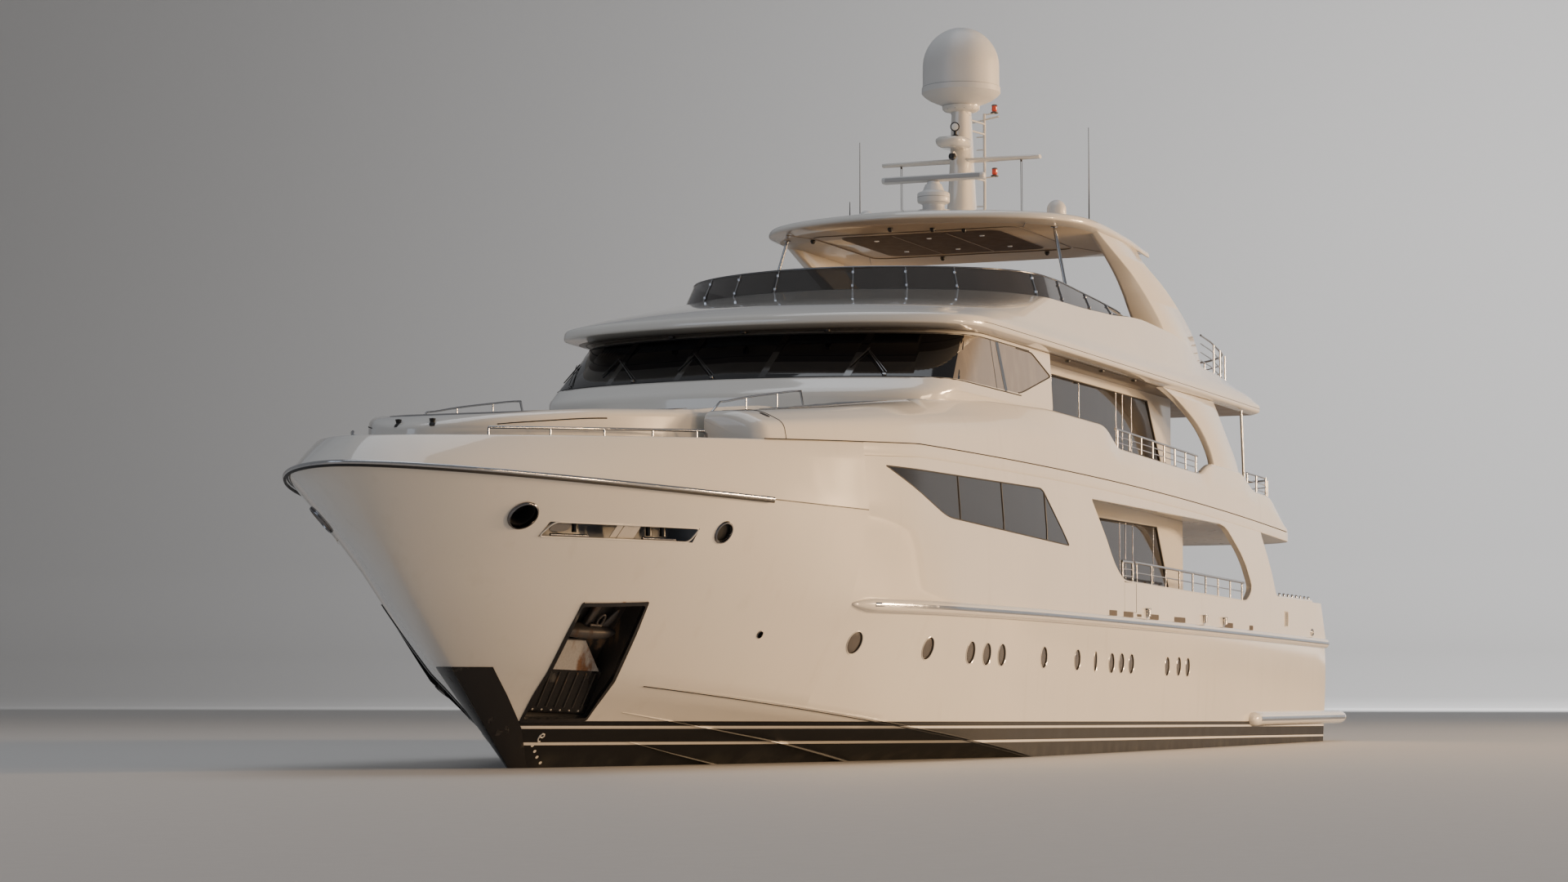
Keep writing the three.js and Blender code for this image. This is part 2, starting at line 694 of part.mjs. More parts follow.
// Bow rub rail: a stainless half-round along the rail line
const RAIL_END_SHARE = 0.71;
const railShares = FORWARD_SHARES.filter((s) => s < RAIL_END_SHARE).concat(RAIL_END_SHARE);
const BOW_RAIL_RADIUS = 42;
const BOW_RAIL_REACH = BOW_RAIL_RADIUS * Math.cos(Math.PI / 8) + 2 * GAP; // a flat of the rail faces the side
function bowRailPoint(share, side) {
  const x = lerp(LINES.rail.stem, BREAK_X, share);
  const y = share === 0 ? 0 : halfBeam(LINES.rail, x);
  const step = 40;
  const ahead = [x + step, share === 0 ? 0 : halfBeam(LINES.rail, Math.min(x + step, LINES.rail.stem))];
  const behind = [x - step, halfBeam(LINES.rail, x - step)];
  const tangent = new THREE.Vector2(ahead[0] - behind[0], ahead[1] - behind[1]).normalize();
  const out = share === 0 ? new THREE.Vector2(1, 0) : new THREE.Vector2(-tangent.y, tangent.x);
  return [x + out.x * BOW_RAIL_REACH, side * (y + Math.abs(out.y) * BOW_RAIL_REACH), railZ(x)];
}
const bowRail = tube(
  [
    ...railShares.toReversed().map((s) => bowRailPoint(s, 1)),
    ...railShares.slice(1).map((s) => bowRailPoint(s, -1)),
  ],
  BOW_RAIL_RADIUS,
  8,
);
add("bow_rub_rail", clearOf(clearOf(bowRail, hullBody, ...AROUND), bowBulwark, ...AROUND), "steel");

// Swim platform and the half-round fenders on the quarters
const PLATFORM = { aft: -20550, top: 650, low: 380, half: 3500 };
const platform = loft(
  [
    { z: PLATFORM.low, under: 120 },
    { z: PLATFORM.low + 90, under: 0 },
    { z: PLATFORM.top, under: 0 },
  ].map(({ z, under }) => {
    const half = PLATFORM.half - under;
    const aft = PLATFORM.aft + under;
    const port = [
      [STERN_X - GAP, half],
      [aft + 500, half],
      [aft + 120, half - 250 + under],
      [aft, half - 900 + under],
    ];
    return [...port, ...port.toReversed().map(([x, y]) => [x, -y])].map(([x, y]) => [x, y, z]);
  }),
);
add("swim_platform", platform, "white");
const QUARTER = [
  [-11750, 0.4],
  [-12000, 0.7],
  [-13500, 1],
  [-16000, 1],
  [-18900, 1],
  [-20200, 1],
  [-20430, 0.7],
];
const QUARTER_Z = 530;
const quarter = cut(
  sideMoulding(QUARTER, () => QUARTER_Z, 150, 190),
  sideSkin(SKIN_GAP, STERN_X - GAP),
);
addPair("quarter_fender", clearOf(quarter, platform, [0, GAP, 0]), "white");

// A rounded plan with a nose, as the lines above, but with straight sides aft of it.
const plan = (nose, run, beam, full = 2, blunt = 1.6) => ({ stem: nose, run, beam, full, blunt });
// A row of a form whose plan starts at its nose and ends at endX; z is a number or a function of x.
const planRow = (shape, endX, z) => (share) => {
  const x = lerp(shape.stem, endX, share);
  return [x, share === 0 ? 0 : halfBeam(shape, x), typeof z === "function" ? z(x) : z];
};
const NOSE_SHARES = [0, 0.004, 0.012, 0.025, 0.045, 0.075, 0.11, 0.16, 0.22, 0.3, 0.45, 0.6, 0.75, 0.9, 1];
const planForm = (rows, shares = NOSE_SHARES) => rowForm(rows, shares);

// Upper deck slab
const UPPER_AFT_X = -15900;
const deckEdge = (x) => halfBeam(LINES.cap, x) - (x < -15300 ? ((-15300 - x) / 600) ** 2 * 700 : 0);
const UPPER_XS = [...SIDE_XS, -14200, -15300, -15600, UPPER_AFT_X];
const upperSlab = loft(
  UPPER_XS.map((x) => [
    [x, deckEdge(x), capZ(x) - DECK],
    [x, deckEdge(x), capZ(x)],
    [x, -deckEdge(x), capZ(x)],
    [x, -deckEdge(x), capZ(x) - DECK],
  ]),
);
add("upper_deck", upperSlab, "white");
// Everything between two heights above the slab's top, for trimming the pieces under and over it.
const deckBand = (low, high) =>
  loft(
    UPPER_XS.map((x, i) => {
      const end = i === UPPER_XS.length - 1 ? x - 500 : x + (i ? 0 : 50);
      const z = capZ(x);
      return [
        [end, 4200, z + low],
        [end, 4200, z + high],
        [end, -4200, z + high],
        [end, -4200, z + low],
      ];
    }),
  );
const belowTop = deckBand(-2500, GAP);
const aboveSoffit = deckBand(-DECK - GAP, 2500);

// Upper bulwark: the rounded shoulder forward, the low wall aft and the swept pillar
const CAP_TOP = [
  [-15300, 4560],
  [-14840, 4800],
  [-14000, 5150],
  [-12470, 5200],
  [-11500, 5510],
  [-9000, 5530],
  [-8270, 5280],
  [-2510, 5400],
  [-1770, 5750],
  [1350, 5800],
  [4000, 5730],
  [7000, 5520],
  [10000, 5180],
  [12300, 4950],
];
const LEAN = [
  [-2500, 60],
  [1000, 130],
  [5000, 330],
  [7500, 420],
];
const HOUSE_SIDE_X = 7100; // the house stands on the shoulder aft of here
const BULWARK = 140;
function upperRing(x, drop = 0) {
  const low = capZ(x) + GAP;
  const high = along(CAP_TOP, x) - drop;
  const lean = along(LEAN, x);
  const edge = deckEdge(x);
  const inner = x > HOUSE_SIDE_X ? SHOULDER_INNER_Y : edge - lean - BULWARK;
  return [
    [x, edge - 3, low],
    [x, edge - 0.12 * lean - 3, lerp(low, high, 0.5)],
    [x, edge - 0.5 * lean - 3, lerp(low, high, 0.86)],
    [x, edge - lean - 3, high],
    [x, inner, high],
    [x, inner, low],
  ];
}
const SHOULDER_XS = [12300, 11500, 10000, 8500, HOUSE_SIDE_X + 1];
const UPPER_BULWARK_XS = [
  ...[HOUSE_SIDE_X - 60, 5500, 4000, 2500, 1350, -1770, -2510],
  ...[-5500, -8270, -9000, -11500, -12470, -14000, -14840, -15300],
];
const shoulderFront = upperRing(SHOULDER_X, 90).map(([x, y, z]) => [x, y - (y > 3000 ? 120 : 0), z]);
const shoulderFoot = loft(
  [SHOULDER_X - 20, 11500, 10600, BREAK_X + 40].map((x) => {
    const outer = halfBeam(LINES.cap, x) - 340;
    return [
      [x, SHOULDER_INNER_Y, 3600],
      [x, outer, 3600],
      [x, outer, capZ(x) + 60],
      [x, SHOULDER_INNER_Y, capZ(x) + 60],
    ];
  }),
);
// Pillar: height, forward edge, aft edge, outer side
const PILLAR = [
  [5250, -9500, -11450, 3600],
  [5700, -9350, -11150, 3570],
  [6200, -8600, -10550, 3530],
  [6600, -7300, -10100, 3490],
  [FLY_Z - GAP, -6200, -9850, 3470],
];
const pillar = loft(
  PILLAR.map(([z, fore, aft, outer]) => [
    [fore, outer, z],
    [fore, outer - BULWARK, z],
    [aft, outer - BULWARK, z],
    [aft, outer, z],
  ]),
);
const shoulder = loft([shoulderFront, ...[...SHOULDER_XS, ...UPPER_BULWARK_XS].map((x) => upperRing(x))]);
const upperBulwark = join(clearOf(join(shoulder, shoulderFoot), bowBulwark, UP, [0, -GAP, 0]), pillar);
addPair("upper_bulwark", cut(clearOf(upperBulwark, hullBody, UP), belowTop), "white");

// Pilothouse: levels are height, nose, beam
const HOUSE_AFT_X = 600;
const HOUSE_LEVELS = [
  [4700, 7330, 3380],
  [5640, 7300, 3450],
  [5760, 7180, 3490],
  [5900, 6960, 3500],
  [FLY_Z - GAP, 5700, 3450],
];
const HOUSE_SHARES = [0, 0.01, 0.03, 0.06, 0.1, 0.15, 0.2, 0.25, 0.3, 0.65, 1];
function houseForm(outset, levels = HOUSE_LEVELS, shares = HOUSE_SHARES) {
  return loft(
    levels.map(([z, nose, beam]) => {
      const row = planRow(plan(nose + outset, 1900, beam + outset, 2.8), HOUSE_AFT_X, z);
      const port = shares.map(row);
      return [...port, ...port.slice(1).reverse().map(([x, y, h]) => [x, -y, h])];
    }),
  );
}
const innerLevels = HOUSE_LEVELS.map(([z, nose, beam], i) => [z + (i ? 1 : -1), nose, beam]);
const HOUSE_WALL = 120;
const SILL_Z = 5940;
const HEAD_Z = 6740;
const SIDE_LIGHT = [
  [9000, SILL_Z],
  [2410, SILL_Z + 30],
  [480, 6400],
  [1760, HEAD_Z - 20],
  [9000, HEAD_Z],
];
const groove = cut(
  common(houseForm(60), sidePrism(SIDE_LIGHT, -4500, 4500)),
  houseForm(-50, innerLevels),
);
// Panes between the wide posts: the front ones by y, the side ones by x
const FRONT_POST_YS = [-2050, -730, 730, 2050];
const FRONT_POST = 130;
const SIDE_PANES = [
  [
    [5050, SILL_Z + 40],
    [3550, SILL_Z + 40],
    [3550, HEAD_Z - 50],
    [4100, HEAD_Z - 50],
  ],
  [
    [3300, SILL_Z + 60],
    [2460, SILL_Z + 70],
    [640, 6400],
    [1800, HEAD_Z - 60],
    [3300, HEAD_Z - 60],
  ],
];
const frontPane = (x, y0, y1) =>
  box(x, 8000, y0 + FRONT_POST / 2, y1 - FRONT_POST / 2, SILL_Z + 40, HEAD_Z - 40);
const CORNER_PANE = [2050, 3150 + FRONT_POST / 2];
const paneTool = join(
  ...FRONT_POST_YS.slice(1).map((y, i) => frontPane(4800, FRONT_POST_YS[i], y)),
  both(frontPane(4300, ...CORNER_PANE)),
  ...SIDE_PANES.map((outline) => sidePrism(outline, -4500, 4500)),
);
const houseInside = houseForm(-HOUSE_WALL, innerLevels, [0, 0.04, 0.13, 0.28, 1]);
const houseShell = cut(
  houseForm(0),
  houseInside,
  box(HOUSE_AFT_X - 100, 3000, -3320, 3320, 4600, 6900),
  groove,
  common(paneTool, houseForm(200, innerLevels)),
);
const houseOffBulwark = clearOf(houseShell, both(upperBulwark), UP, [0, -GAP, 0], [0, GAP, 0], [-GAP, 0, 0]);
add("pilothouse", cut(houseOffBulwark, belowTop), "white");
const houseGlass = cut(
  common(houseForm(-4), sidePrism(inset(SIDE_LIGHT, PANE_EDGE), -4500, 4500)),
  houseForm(-49, innerLevels),
);
add("pilothouse_glass", houseGlass, "glass");

// Foredeck trunk: the raised centre of the foredeck
const TRUNK_TOP = [
  [7000, 5280],
  [10000, 5220],
  [11500, 5080],
  [12400, 4970],
  [13000, 4930],
  [15000, 4800],
  [16200, 4660],
  [17000, 4500],
];
const trunkTop = (x) => along(TRUNK_TOP, x);
const TRUNK_AFT_X = 6000;
const trunkForm = planForm([
  planRow(plan(16950, 4300, 2180, 1.7, 1.7), TRUNK_AFT_X, 3600),
  planRow(plan(16850, 4300, 2130, 1.7, 1.7), TRUNK_AFT_X, (x) => trunkTop(x) - 60),
  planRow(plan(16750, 4300, 2070, 1.7, 1.7), TRUNK_AFT_X, trunkTop),
]);
add(
  "foredeck_trunk",
  clearOf(cut(clearOf(trunkForm, hullBody, UP), belowTop), houseForm(0), [GAP, 0, 0]),
  "white",
);

// Fly deck: brow, rising roof over the pilothouse and coaming round the flybridge
const FLY_AFT_X = -13250;
const COAMING = [
  [-13250, 7050],
  [-12950, 7150],
  [-12300, 7300],
  [-11050, 7430],
  [-9520, 7480],
  [-8920, 7690],
  [-8340, 7840],
  [-7480, 7930],
  [-5270, 7980],
  [-4470, 7950],
  [-3440, 7870],
  [-1460, 7800],
  [1000, 7760],
  [3000, 7770],
];
const coamingZ = (x) => along(COAMING, x);
const coamingPlan = plan(3000, 2800, 3400, 2.3, 1.7);
const FLY_SHARES = [
  ...[0, 0.006, 0.02, 0.04, 0.07, 0.1, 0.14, 0.2, 0.27],
  ...[0.36, 0.48, 0.6, 0.72, 0.84, 0.94, 0.982, 1],
];
const flyBody = planForm(
  [
    planRow(plan(6050, 2100, 3520, 3.2, 1.8), FLY_AFT_X, FLY_Z),
    planRow(plan(6330, 2200, 3700, 3.2, 1.8), FLY_AFT_X, FLY_Z + 50),
    planRow(plan(6300, 2200, 3700, 3.2, 1.8), FLY_AFT_X, FLY_Z + 200),
    planRow(plan(5750, 2400, 3610, 2.8, 1.7), FLY_AFT_X, (x) => Math.min(7180, coamingZ(x) - 30)),
    planRow(coamingPlan, FLY_AFT_X, coamingZ),
  ],
  FLY_SHARES,
);
const COAMING_WALL = 160;
const flyRecess = planForm(
  [
    planRow(plan(3000 - 2 * COAMING_WALL, 2800, 3400 - COAMING_WALL, 2.3, 1.7), FLY_AFT_X - 200, FLY_FLOOR_Z),
    planRow(plan(3000 - 2 * COAMING_WALL, 2800, 3400 - COAMING_WALL, 2.3, 1.7), FLY_AFT_X - 200, 8400),
  ],
  FLY_SHARES,
);
const flyDeck = cut(flyBody, flyRecess);
add("fly_deck", flyDeck, "white");

// Smoked windscreen on the coaming, with its posts and top rail
const SCREEN_AFT_X = -4500;
const SCREEN_TOP = [
  [-4500, 8010],
  [-4350, 8040],
  [-3100, 8100],
  [-700, 8190],
  [3000, 8160],
];
const SCREEN_SHARES = [0, 0.01, 0.035, 0.07, 0.12, 0.18, 0.25, 0.33, 0.42, 0.52, 0.64, 0.78, 0.9, 1];
const SCREEN_LEAN = 150;
// Point on the screen: share of its run, side, share of its height, distance inboard.
function screenPoint(share, side, rise, inboard) {
  const back = inboard + SCREEN_LEAN * rise;
  const shape = plan(coamingPlan.stem - 90 - back, 2800, 3400 - 45 - back, 2.3, 1.7);
  const x = lerp(shape.stem, SCREEN_AFT_X, share);
  const z = lerp(coamingZ(x) - 20, along(SCREEN_TOP, x), rise);
  return [x, share === 0 ? 0 : side * halfBeam(shape, x), z];
}
const screenRun = (make) => [
  ...SCREEN_SHARES.toReversed().map((s) => make(s, 1)),
  ...SCREEN_SHARES.slice(1).map((s) => make(s, -1)),
];
const screenGlass = loft(
  screenRun((s, side) => [
    screenPoint(s, side, 0, 0),
    screenPoint(s, side, 1, 0),
    screenPoint(s, side, 1, 14),
    screenPoint(s, side, 0, 14),
  ]),
);
add("fly_windscreen", clearOf(screenGlass, flyDeck, UP), "smoke");
const SCREEN_RAIL_RADIUS = 22;
const liftedScreen = (s, side) => {
  const [x, y, z] = screenPoint(s, side, 1, 7);
  return [x, y, z + SCREEN_RAIL_RADIUS + 0.6];
};
const screenPosts = [0.07, 0.18, 0.33, 0.52, 0.78].flatMap((s) =>
  [1, -1].map((side) => {
    const [x, y, z] = screenPoint(s, side, 1, 31);
    return bar(screenPoint(s, side, 0.02, 31), [x, y, z + SCREEN_RAIL_RADIUS], 12, 4);
  }),
);
const screenRail = join(tube(screenRun(liftedScreen), SCREEN_RAIL_RADIUS), ...screenPosts);
add("fly_screen_rail", clearOf(clearOf(screenRail, flyDeck, UP), screenGlass, UP, ...AROUND), "steel");

// Hardtop with its swept legs
const HARDTOP_AFT_X = -6700;
const HARDTOP_DROOP = [
  [-6700, 170],
  [-5500, 60],
  [-4000, 0],
];
const hardtopRow = (shape, z) => planRow(shape, HARDTOP_AFT_X, (x) => z - along(HARDTOP_DROOP, x));
const hardtopForm = planForm([
  planRow(plan(-1050, 2600, 3000, 2.8, 1.7), HARDTOP_AFT_X, HARDTOP_Z),
  hardtopRow(plan(-740, 2700, 3150, 2.8, 1.7), HARDTOP_Z + 70),
  hardtopRow(plan(-790, 2700, 3130, 2.8, 1.7), HARDTOP_Z + 190),
  planRow(plan(-1500, 2700, 2480, 2.6), HARDTOP_AFT_X, HARDTOP_Z + 330),
]);
// Leg: height, forward edge of the outer face, aft edge, outer side, width of the forward facet
const LEG = [
  [9430, -3450, -5900, 3060, 100],
  [9200, -4250, -6250, 3090, 150],
  [8870, -5400, -7460, 3130, 250],
  [8570, -6150, -8300, 3160, 320],
  [8370, -6600, -8780, 3175, 370],
  [8070, -7180, -9350, 3195, 420],
  [7700, -7650, -9750, 3205, 440],
  [7150, -8150, -10150, 3210, 450],
];
const LEG_THICK = 200;
const hardtopLeg = loft(
  LEG.map(([z, fore, aft, outer, facet]) => [
    [fore, outer, z],
    [fore + facet, outer - facet, z],
    [fore + facet - 60, outer - facet - 60, z],
    [fore - LEG_THICK, outer - LEG_THICK, z],
    [aft, outer - LEG_THICK, z],
    [aft, outer, z],
  ]),
);
const hardtop = join(hardtopForm, clearOf(both(hardtopLeg), flyDeck, UP, [0, -GAP, 0], [0, GAP, 0]));
add("hardtop", hardtop, "white");
const STRUT_TOP = [-2350, 2590, HARDTOP_Z + 20];
const STRUT_FOOT = [-1950, 3165, 6900];
const strut = clearOf(bar(STRUT_FOOT, STRUT_TOP, 32, 8), flyDeck, UP);
addPair("hardtop_strut", clearOf(strut, hardtop, DOWN), "steel");

// Mast with spreaders, platform and the light pole behind it
// Column levels: height, forward edge, aft edge, half-width
const MAST_LEVELS = [
  [9650, 620, -760, 330],
  [10050, 380, -520, 250],
  [11000, 270, -440, 200],
  [12060, 210, -330, 165],
];
const mastColumn = loft(
  MAST_LEVELS.map(([z, fore, aft, half]) => {
    const port = [
      [fore, 0],
      [fore - 90, half * 0.75],
      [0, half],
      [aft + 60, half * 0.6],
      [aft, 0],
    ].map(([x, y]) => [MAST_X + x, y, z]);
    return [...port, ...mirror(port.slice(1, -1))];
  }),
);
const spreader = loft(
  [-1570, -500, 0, 500, 1570].map((y) => {
    const reach = Math.abs(y) > 1000 ? 0.6 : 1;
    return [
      [MAST_X + 200 * reach, y, 11040],
      [MAST_X + 200 * reach, y, 11110],
      [MAST_X - 180 * reach, y, 11120],
      [MAST_X - 180 * reach, y, 11040],
    ];
  }),
);
const LIGHT_POLE_X = MAST_X - 1350;
// Radius, z
const MAST_HEAD = [
  [0, 12000],
  [300, 12000],
  [360, 12060],
  [360, 12120],
  [0, 12120],
];
const mast = join(
  mastColumn,
  spreader,
  box(MAST_X, MAST_X + 840, -310, 310, 11270, 11440),
  turned(MAST_HEAD, MAST_X, 0, 20),
  bar([MAST_X + 600, 150, 11380], [MAST_X + 600, 150, 11700], 90, 10),
  bar([LIGHT_POLE_X, 0, 9650], [LIGHT_POLE_X, 0, 12200], 28, 8),
  bar([MAST_X - 250, 0, 11800], [LIGHT_POLE_X, 0, 11800], 22, 6),
  bar([MAST_X - 300, 0, 10900], [LIGHT_POLE_X, 0, 10900], 22, 6),
);
add("mast", clearOf(mast, hardtop, UP), "white");
const RADOME_Z = 12120 + GAP;
const RADOME_RADIUS = 745;
add(
  "radome",
  turned(
    [
      [0, RADOME_Z],
      [330, RADOME_Z],
      [620, RADOME_Z + 190],
      [RADOME_RADIUS, RADOME_Z + 330],
      [RADOME_RADIUS, RADOME_Z + 760],
      ...[15, 30, 45, 60, 75].map((a) => [
        RADOME_RADIUS * Math.cos((a * Math.PI) / 180),
        RADOME_Z + 760 + RADOME_RADIUS * Math.sin((a * Math.PI) / 180),
      ]),
      [0, RADOME_Z + 760 + RADOME_RADIUS],
    ],
    MAST_X,
    0,
    20,
  ),
  "white",
);
const RADAR_X = -3150;
const PEDESTAL_TOP_Z = 10420;
const PEDESTAL = [
  [0, 9650],
  [330, 9650],
  [330, 9830],
  [210, 9900],
  [210, 10040],
  [300, 10100],
  [300, 10250],
  [190, 10330],
  [150, PEDESTAL_TOP_Z],
  [0, PEDESTAL_TOP_Z],
];
add("radar_pedestal", clearOf(turned(PEDESTAL, RADAR_X, 0, 20), hardtop, UP), "white");
const SCANNER_HALF = 1010;
const scanner = join(
  bar([RADAR_X, 0, PEDESTAL_TOP_Z + 0.6], [RADAR_X, 0, PEDESTAL_TOP_Z + 60], 120, 20),
  loft(
    [-SCANNER_HALF, -SCANNER_HALF + 60, SCANNER_HALF - 60, SCANNER_HALF].map((y) => {
      const end = Math.abs(y) === SCANNER_HALF ? 0.7 : 1;
      const z = PEDESTAL_TOP_Z + 115;
      return [
        [RADAR_X + 70 * end, y, z - 45 * end],
        [RADAR_X + 90 * end, y, z],
        [RADAR_X + 70 * end, y, z + 65 * end],
        [RADAR_X - 80 * end, y, z + 65 * end],
        [RADAR_X - 80 * end, y, z - 65 * end],
      ];
    }),
  ),
);
add("radar_scanner", scanner, "white");
const DOME_Y = 1900;
const SMALL_DOME = [
  [0, 9600],
  [120, 9600],
  [120, 9860],
  [180, 9900],
  [180, 10050],
  [156, 10140],
  [90, 10206],
  [0, 10230],
];
addPair("small_dome", clearOf(turned(SMALL_DOME, MAST_X + 60, DOME_Y, 16), hardtop, UP), "white");
const whip = bar([-5360, 2310, 9600], [-5360, 2310, 11680], 16, 6, 6);
addPair("whip_aerial", clearOf(whip, hardtop, UP), "white");

// Main deckhouse: the narrower aft part behind the side openings
const LOUNGE_HALF = 2850; // half-width of the aft deckhouses
const HOUSE_SKIN = 100;
const MAIN_HOUSE = { fore: -400, aft: -9700 };
const SKY_HOUSE = { fore: HOUSE_AFT_X + 200, aft: -8900 };
const DOOR = { width: 900, height: 2020, thick: 45, gap: 6 };
function deckhouse({ fore, aft }, low, high, window, stubHalf) {
  const walls = join(
    both(box(aft, fore, LOUNGE_HALF - HOUSE_SKIN, LOUNGE_HALF, low, high)),
    both(box(fore - HOUSE_SKIN, fore, LOUNGE_HALF - HOUSE_SKIN, stubHalf, low, high)),
    box(aft, aft + HOUSE_SKIN, -LOUNGE_HALF, LOUNGE_HALF, low, high),
  );
  const floorZ = low + 400;
  return cut(
    walls,
    both(sidePrism(window, LOUNGE_HALF - 300, LOUNGE_HALF + 300)),
    box(aft - 100, aft + 200, -DOOR.width, DOOR.width, low - 100, floorZ + DOOR.height),
  );
}
const MAIN_WINDOW = [
  [-850, 2500],
  [-9100, 2500],
  [-7900, 4250],
  [-850, 4250],
];
const SKY_WINDOW = [
  [300, 5150],
  [-8500, 5150],
  [-7300, 6650],
  [300, 6650],
];
const mainWalls = deckhouse(MAIN_HOUSE, 1850, 4800, MAIN_WINDOW, 3650);
const mainDeckhouse = cut(clearOf(mainWalls, hullBody, UP), aboveSoffit);
add("main_deckhouse", cut(mainDeckhouse, both(moved(topside, [0, -GAP, 0]))), "white");
const skyWalls = deckhouse(SKY_HOUSE, 4300, FLY_Z - GAP, SKY_WINDOW, 3320 - GAP);
add("sky_lounge", cut(skyWalls, both(upperBulwark), belowTop), "white");
const windowPane = (outline) => sidePrism(inset(outline, PANE_EDGE), LOUNGE_HALF - 70, LOUNGE_HALF - 30);
addPair("main_glass", windowPane(MAIN_WINDOW), "glass");
addPair("sky_glass", windowPane(SKY_WINDOW), "glass");

// Sliding doors behind the aft bulkheads: two leaves each, which part outboard
function doorLeaf(aft, floorZ) {
  const x = aft + HOUSE_SKIN + DOOR.gap;
  return box(x, x + DOOR.thick, 5, DOOR.width + 60, floorZ + 0.6, floorZ + DOOR.height + 60);
}
addPair("main_door", doorLeaf(MAIN_HOUSE.aft, MAIN_DECK_Z), "glass");
const slabTop = UPPER_XS.toReversed().map((x) => [x, capZ(x)]);
const leafForeX = SKY_HOUSE.aft + HOUSE_SKIN + DOOR.gap + DOOR.thick;
addPair("sky_door", doorLeaf(SKY_HOUSE.aft, along(slabTop, leafForeX)), "glass");

const POST_SIDES = 4; // stanchions and lower rails
// Rails: a top rail and lower rails on stanchions along a run of foot points
function railing(feet, heights, radius, stanchions) {
  const at = (t, lift) => {
    const k = Math.min(feet.length - 2, Math.floor(t));
    return feet[k].map((v, i) => lerp(v, feet[k + 1][i], t - k) + (i === 2 ? lift : 0));
  };
  const top = heights.at(-1);
  const lifted = (h) => feet.map(([x, y, z]) => [x, y, z + h]);
  return join(
    ...heights.map((h) => (h === top ? tube(lifted(h), radius) : tube(lifted(h), radius * 0.7, POST_SIDES))),
    ...stanchions.map((t) => bar(at(t, -60), at(t, top), radius * 0.8, POST_SIDES)),
  );
}
const steps = (from, to, count) => Array.from({ length: count }, (_, i) => lerp(from, to, i / (count - 1)));

const openingFoot = (x) => [x, sideY(x, 2950) - 60, lerp(3020, 2890, (-2280 - x) / 9020)];
const mainSideRail = railing(
  [openingFoot(GATE.aft - 60), openingFoot(-7000), openingFoot(-11250)],
  [190, 370],
  24,
  steps(0.02, 1.98, 8),
);
addPair("main_side_rail", clearOf(mainSideRail, topside, UP), "steel");

const capFoot = (x) => [x, deckEdge(x) - along(LEAN, x) - 3 - BULWARK / 2, along(CAP_TOP, x)];
const upperSideRail = railing(
  [capFoot(-2560), capFoot(-5500), capFoot(-8200)],
  [110, 220, 340],
  22,
  steps(0.02, 1.98, 7),
);
addPair("upper_side_rail", clearOf(upperSideRail, upperBulwark, UP), "steel");

const SIDES = [1, -1];
const post = (x, y, z0, z1, radius) => bar([x, y, z0], [x, y, z1], radius, POST_SIDES);
const UPPER_RAIL_Z = 5560;
const aftRailRun = [
  [-12550, 3420, 5200],
  [-14300, 3360, 5100],
  [-15250, 3150, 4500],
  [-15600, 2500, 4500],
];
const aftRailTop = (h) => [
  ...aftRailRun.map(([x, y]) => [x, y, UPPER_RAIL_Z - h]),
  ...aftRailRun.toReversed().map(([x, y]) => [x, -y, UPPER_RAIL_Z - h]),
];
const pole = (side) => [-12350, side * 3450];
const upperAftRail = join(
  ...[0, 150, 300].map((h) => tube(aftRailTop(h), h ? 16 : 24, h ? POST_SIDES : 6)),
  ...SIDES.flatMap((side) => aftRailRun.map(([x, y]) => post(x, side * y, 4300, UPPER_RAIL_Z, 18))),
  ...steps(-1600, 1600, 3).map((y) => post(-15600, y, 4300, UPPER_RAIL_Z, 18)),
  ...SIDES.map((side) => bar([...pole(side), 4900], [...pole(side), FLY_Z - GAP], 34, 8)),
  ...SIDES.map((side) =>
    bar(
      [...pole(side), UPPER_RAIL_Z - 20],
      [aftRailRun[0][0], side * aftRailRun[0][1], UPPER_RAIL_Z - 20],
      18,
      POST_SIDES,
    ),
  ),
);
add(
  "upper_aft_rail",
  cut(clearOf(upperAftRail, both(upperBulwark), UP, [0, GAP, 0], [0, -GAP, 0]), belowTop),
  "steel",
);

const FLY_RAIL_Z = 8150;
const flyRailRun = [
  [-10300, 3180],
  [-11000, 3160],
  [-12150, 3080],
  [-12700, 2500],
];
const flyRailTop = (h) => [
  ...flyRailRun.map(([x, y]) => [x, y, FLY_RAIL_Z - h]),
  ...flyRailRun.toReversed().map(([x, y]) => [x, -y, FLY_RAIL_Z - h]),
];
const flyAftRail = join(
  ...[0, 200, 400, 600].map((h) => tube(flyRailTop(h), h ? 15 : 22, h ? POST_SIDES : 6)),
  ...SIDES.flatMap((side) => flyRailRun.map(([x, y]) => post(x, side * y, 6900, FLY_RAIL_Z, 18))),
  ...steps(-1300, 1300, 3).map((y) => post(-12700, y, 6900, FLY_RAIL_Z, 18)),
);
add("fly_aft_rail", clearOf(flyAftRail, flyDeck, UP), "steel");

// Foredeck guard rail inside the bulwark
const guardFoot = (share) => {
  const shape = { ...LINES.cap, stem: LINES.cap.stem - 700, beam: LINES.cap.beam - 330 };
  const x = lerp(shape.stem, SHOULDER_X + 150, share);
  return [x, halfBeam(shape, x), railZ(x)];
};
const guardFeet = [0.22, 0.4, 0.6, 0.8, 1].map(guardFoot);
const guardRail = join(
  tube(guardFeet.map(([x, y]) => [x, y, capZ(x) + 110]), 20),
  ...guardFeet.map(([x, y, z]) => bar([x, y, z - 60], [x, y, capZ(x) + 110], 15, 4)),
);
addPair("foredeck_rail", clearOf(guardRail, hullBody, UP), "steel");

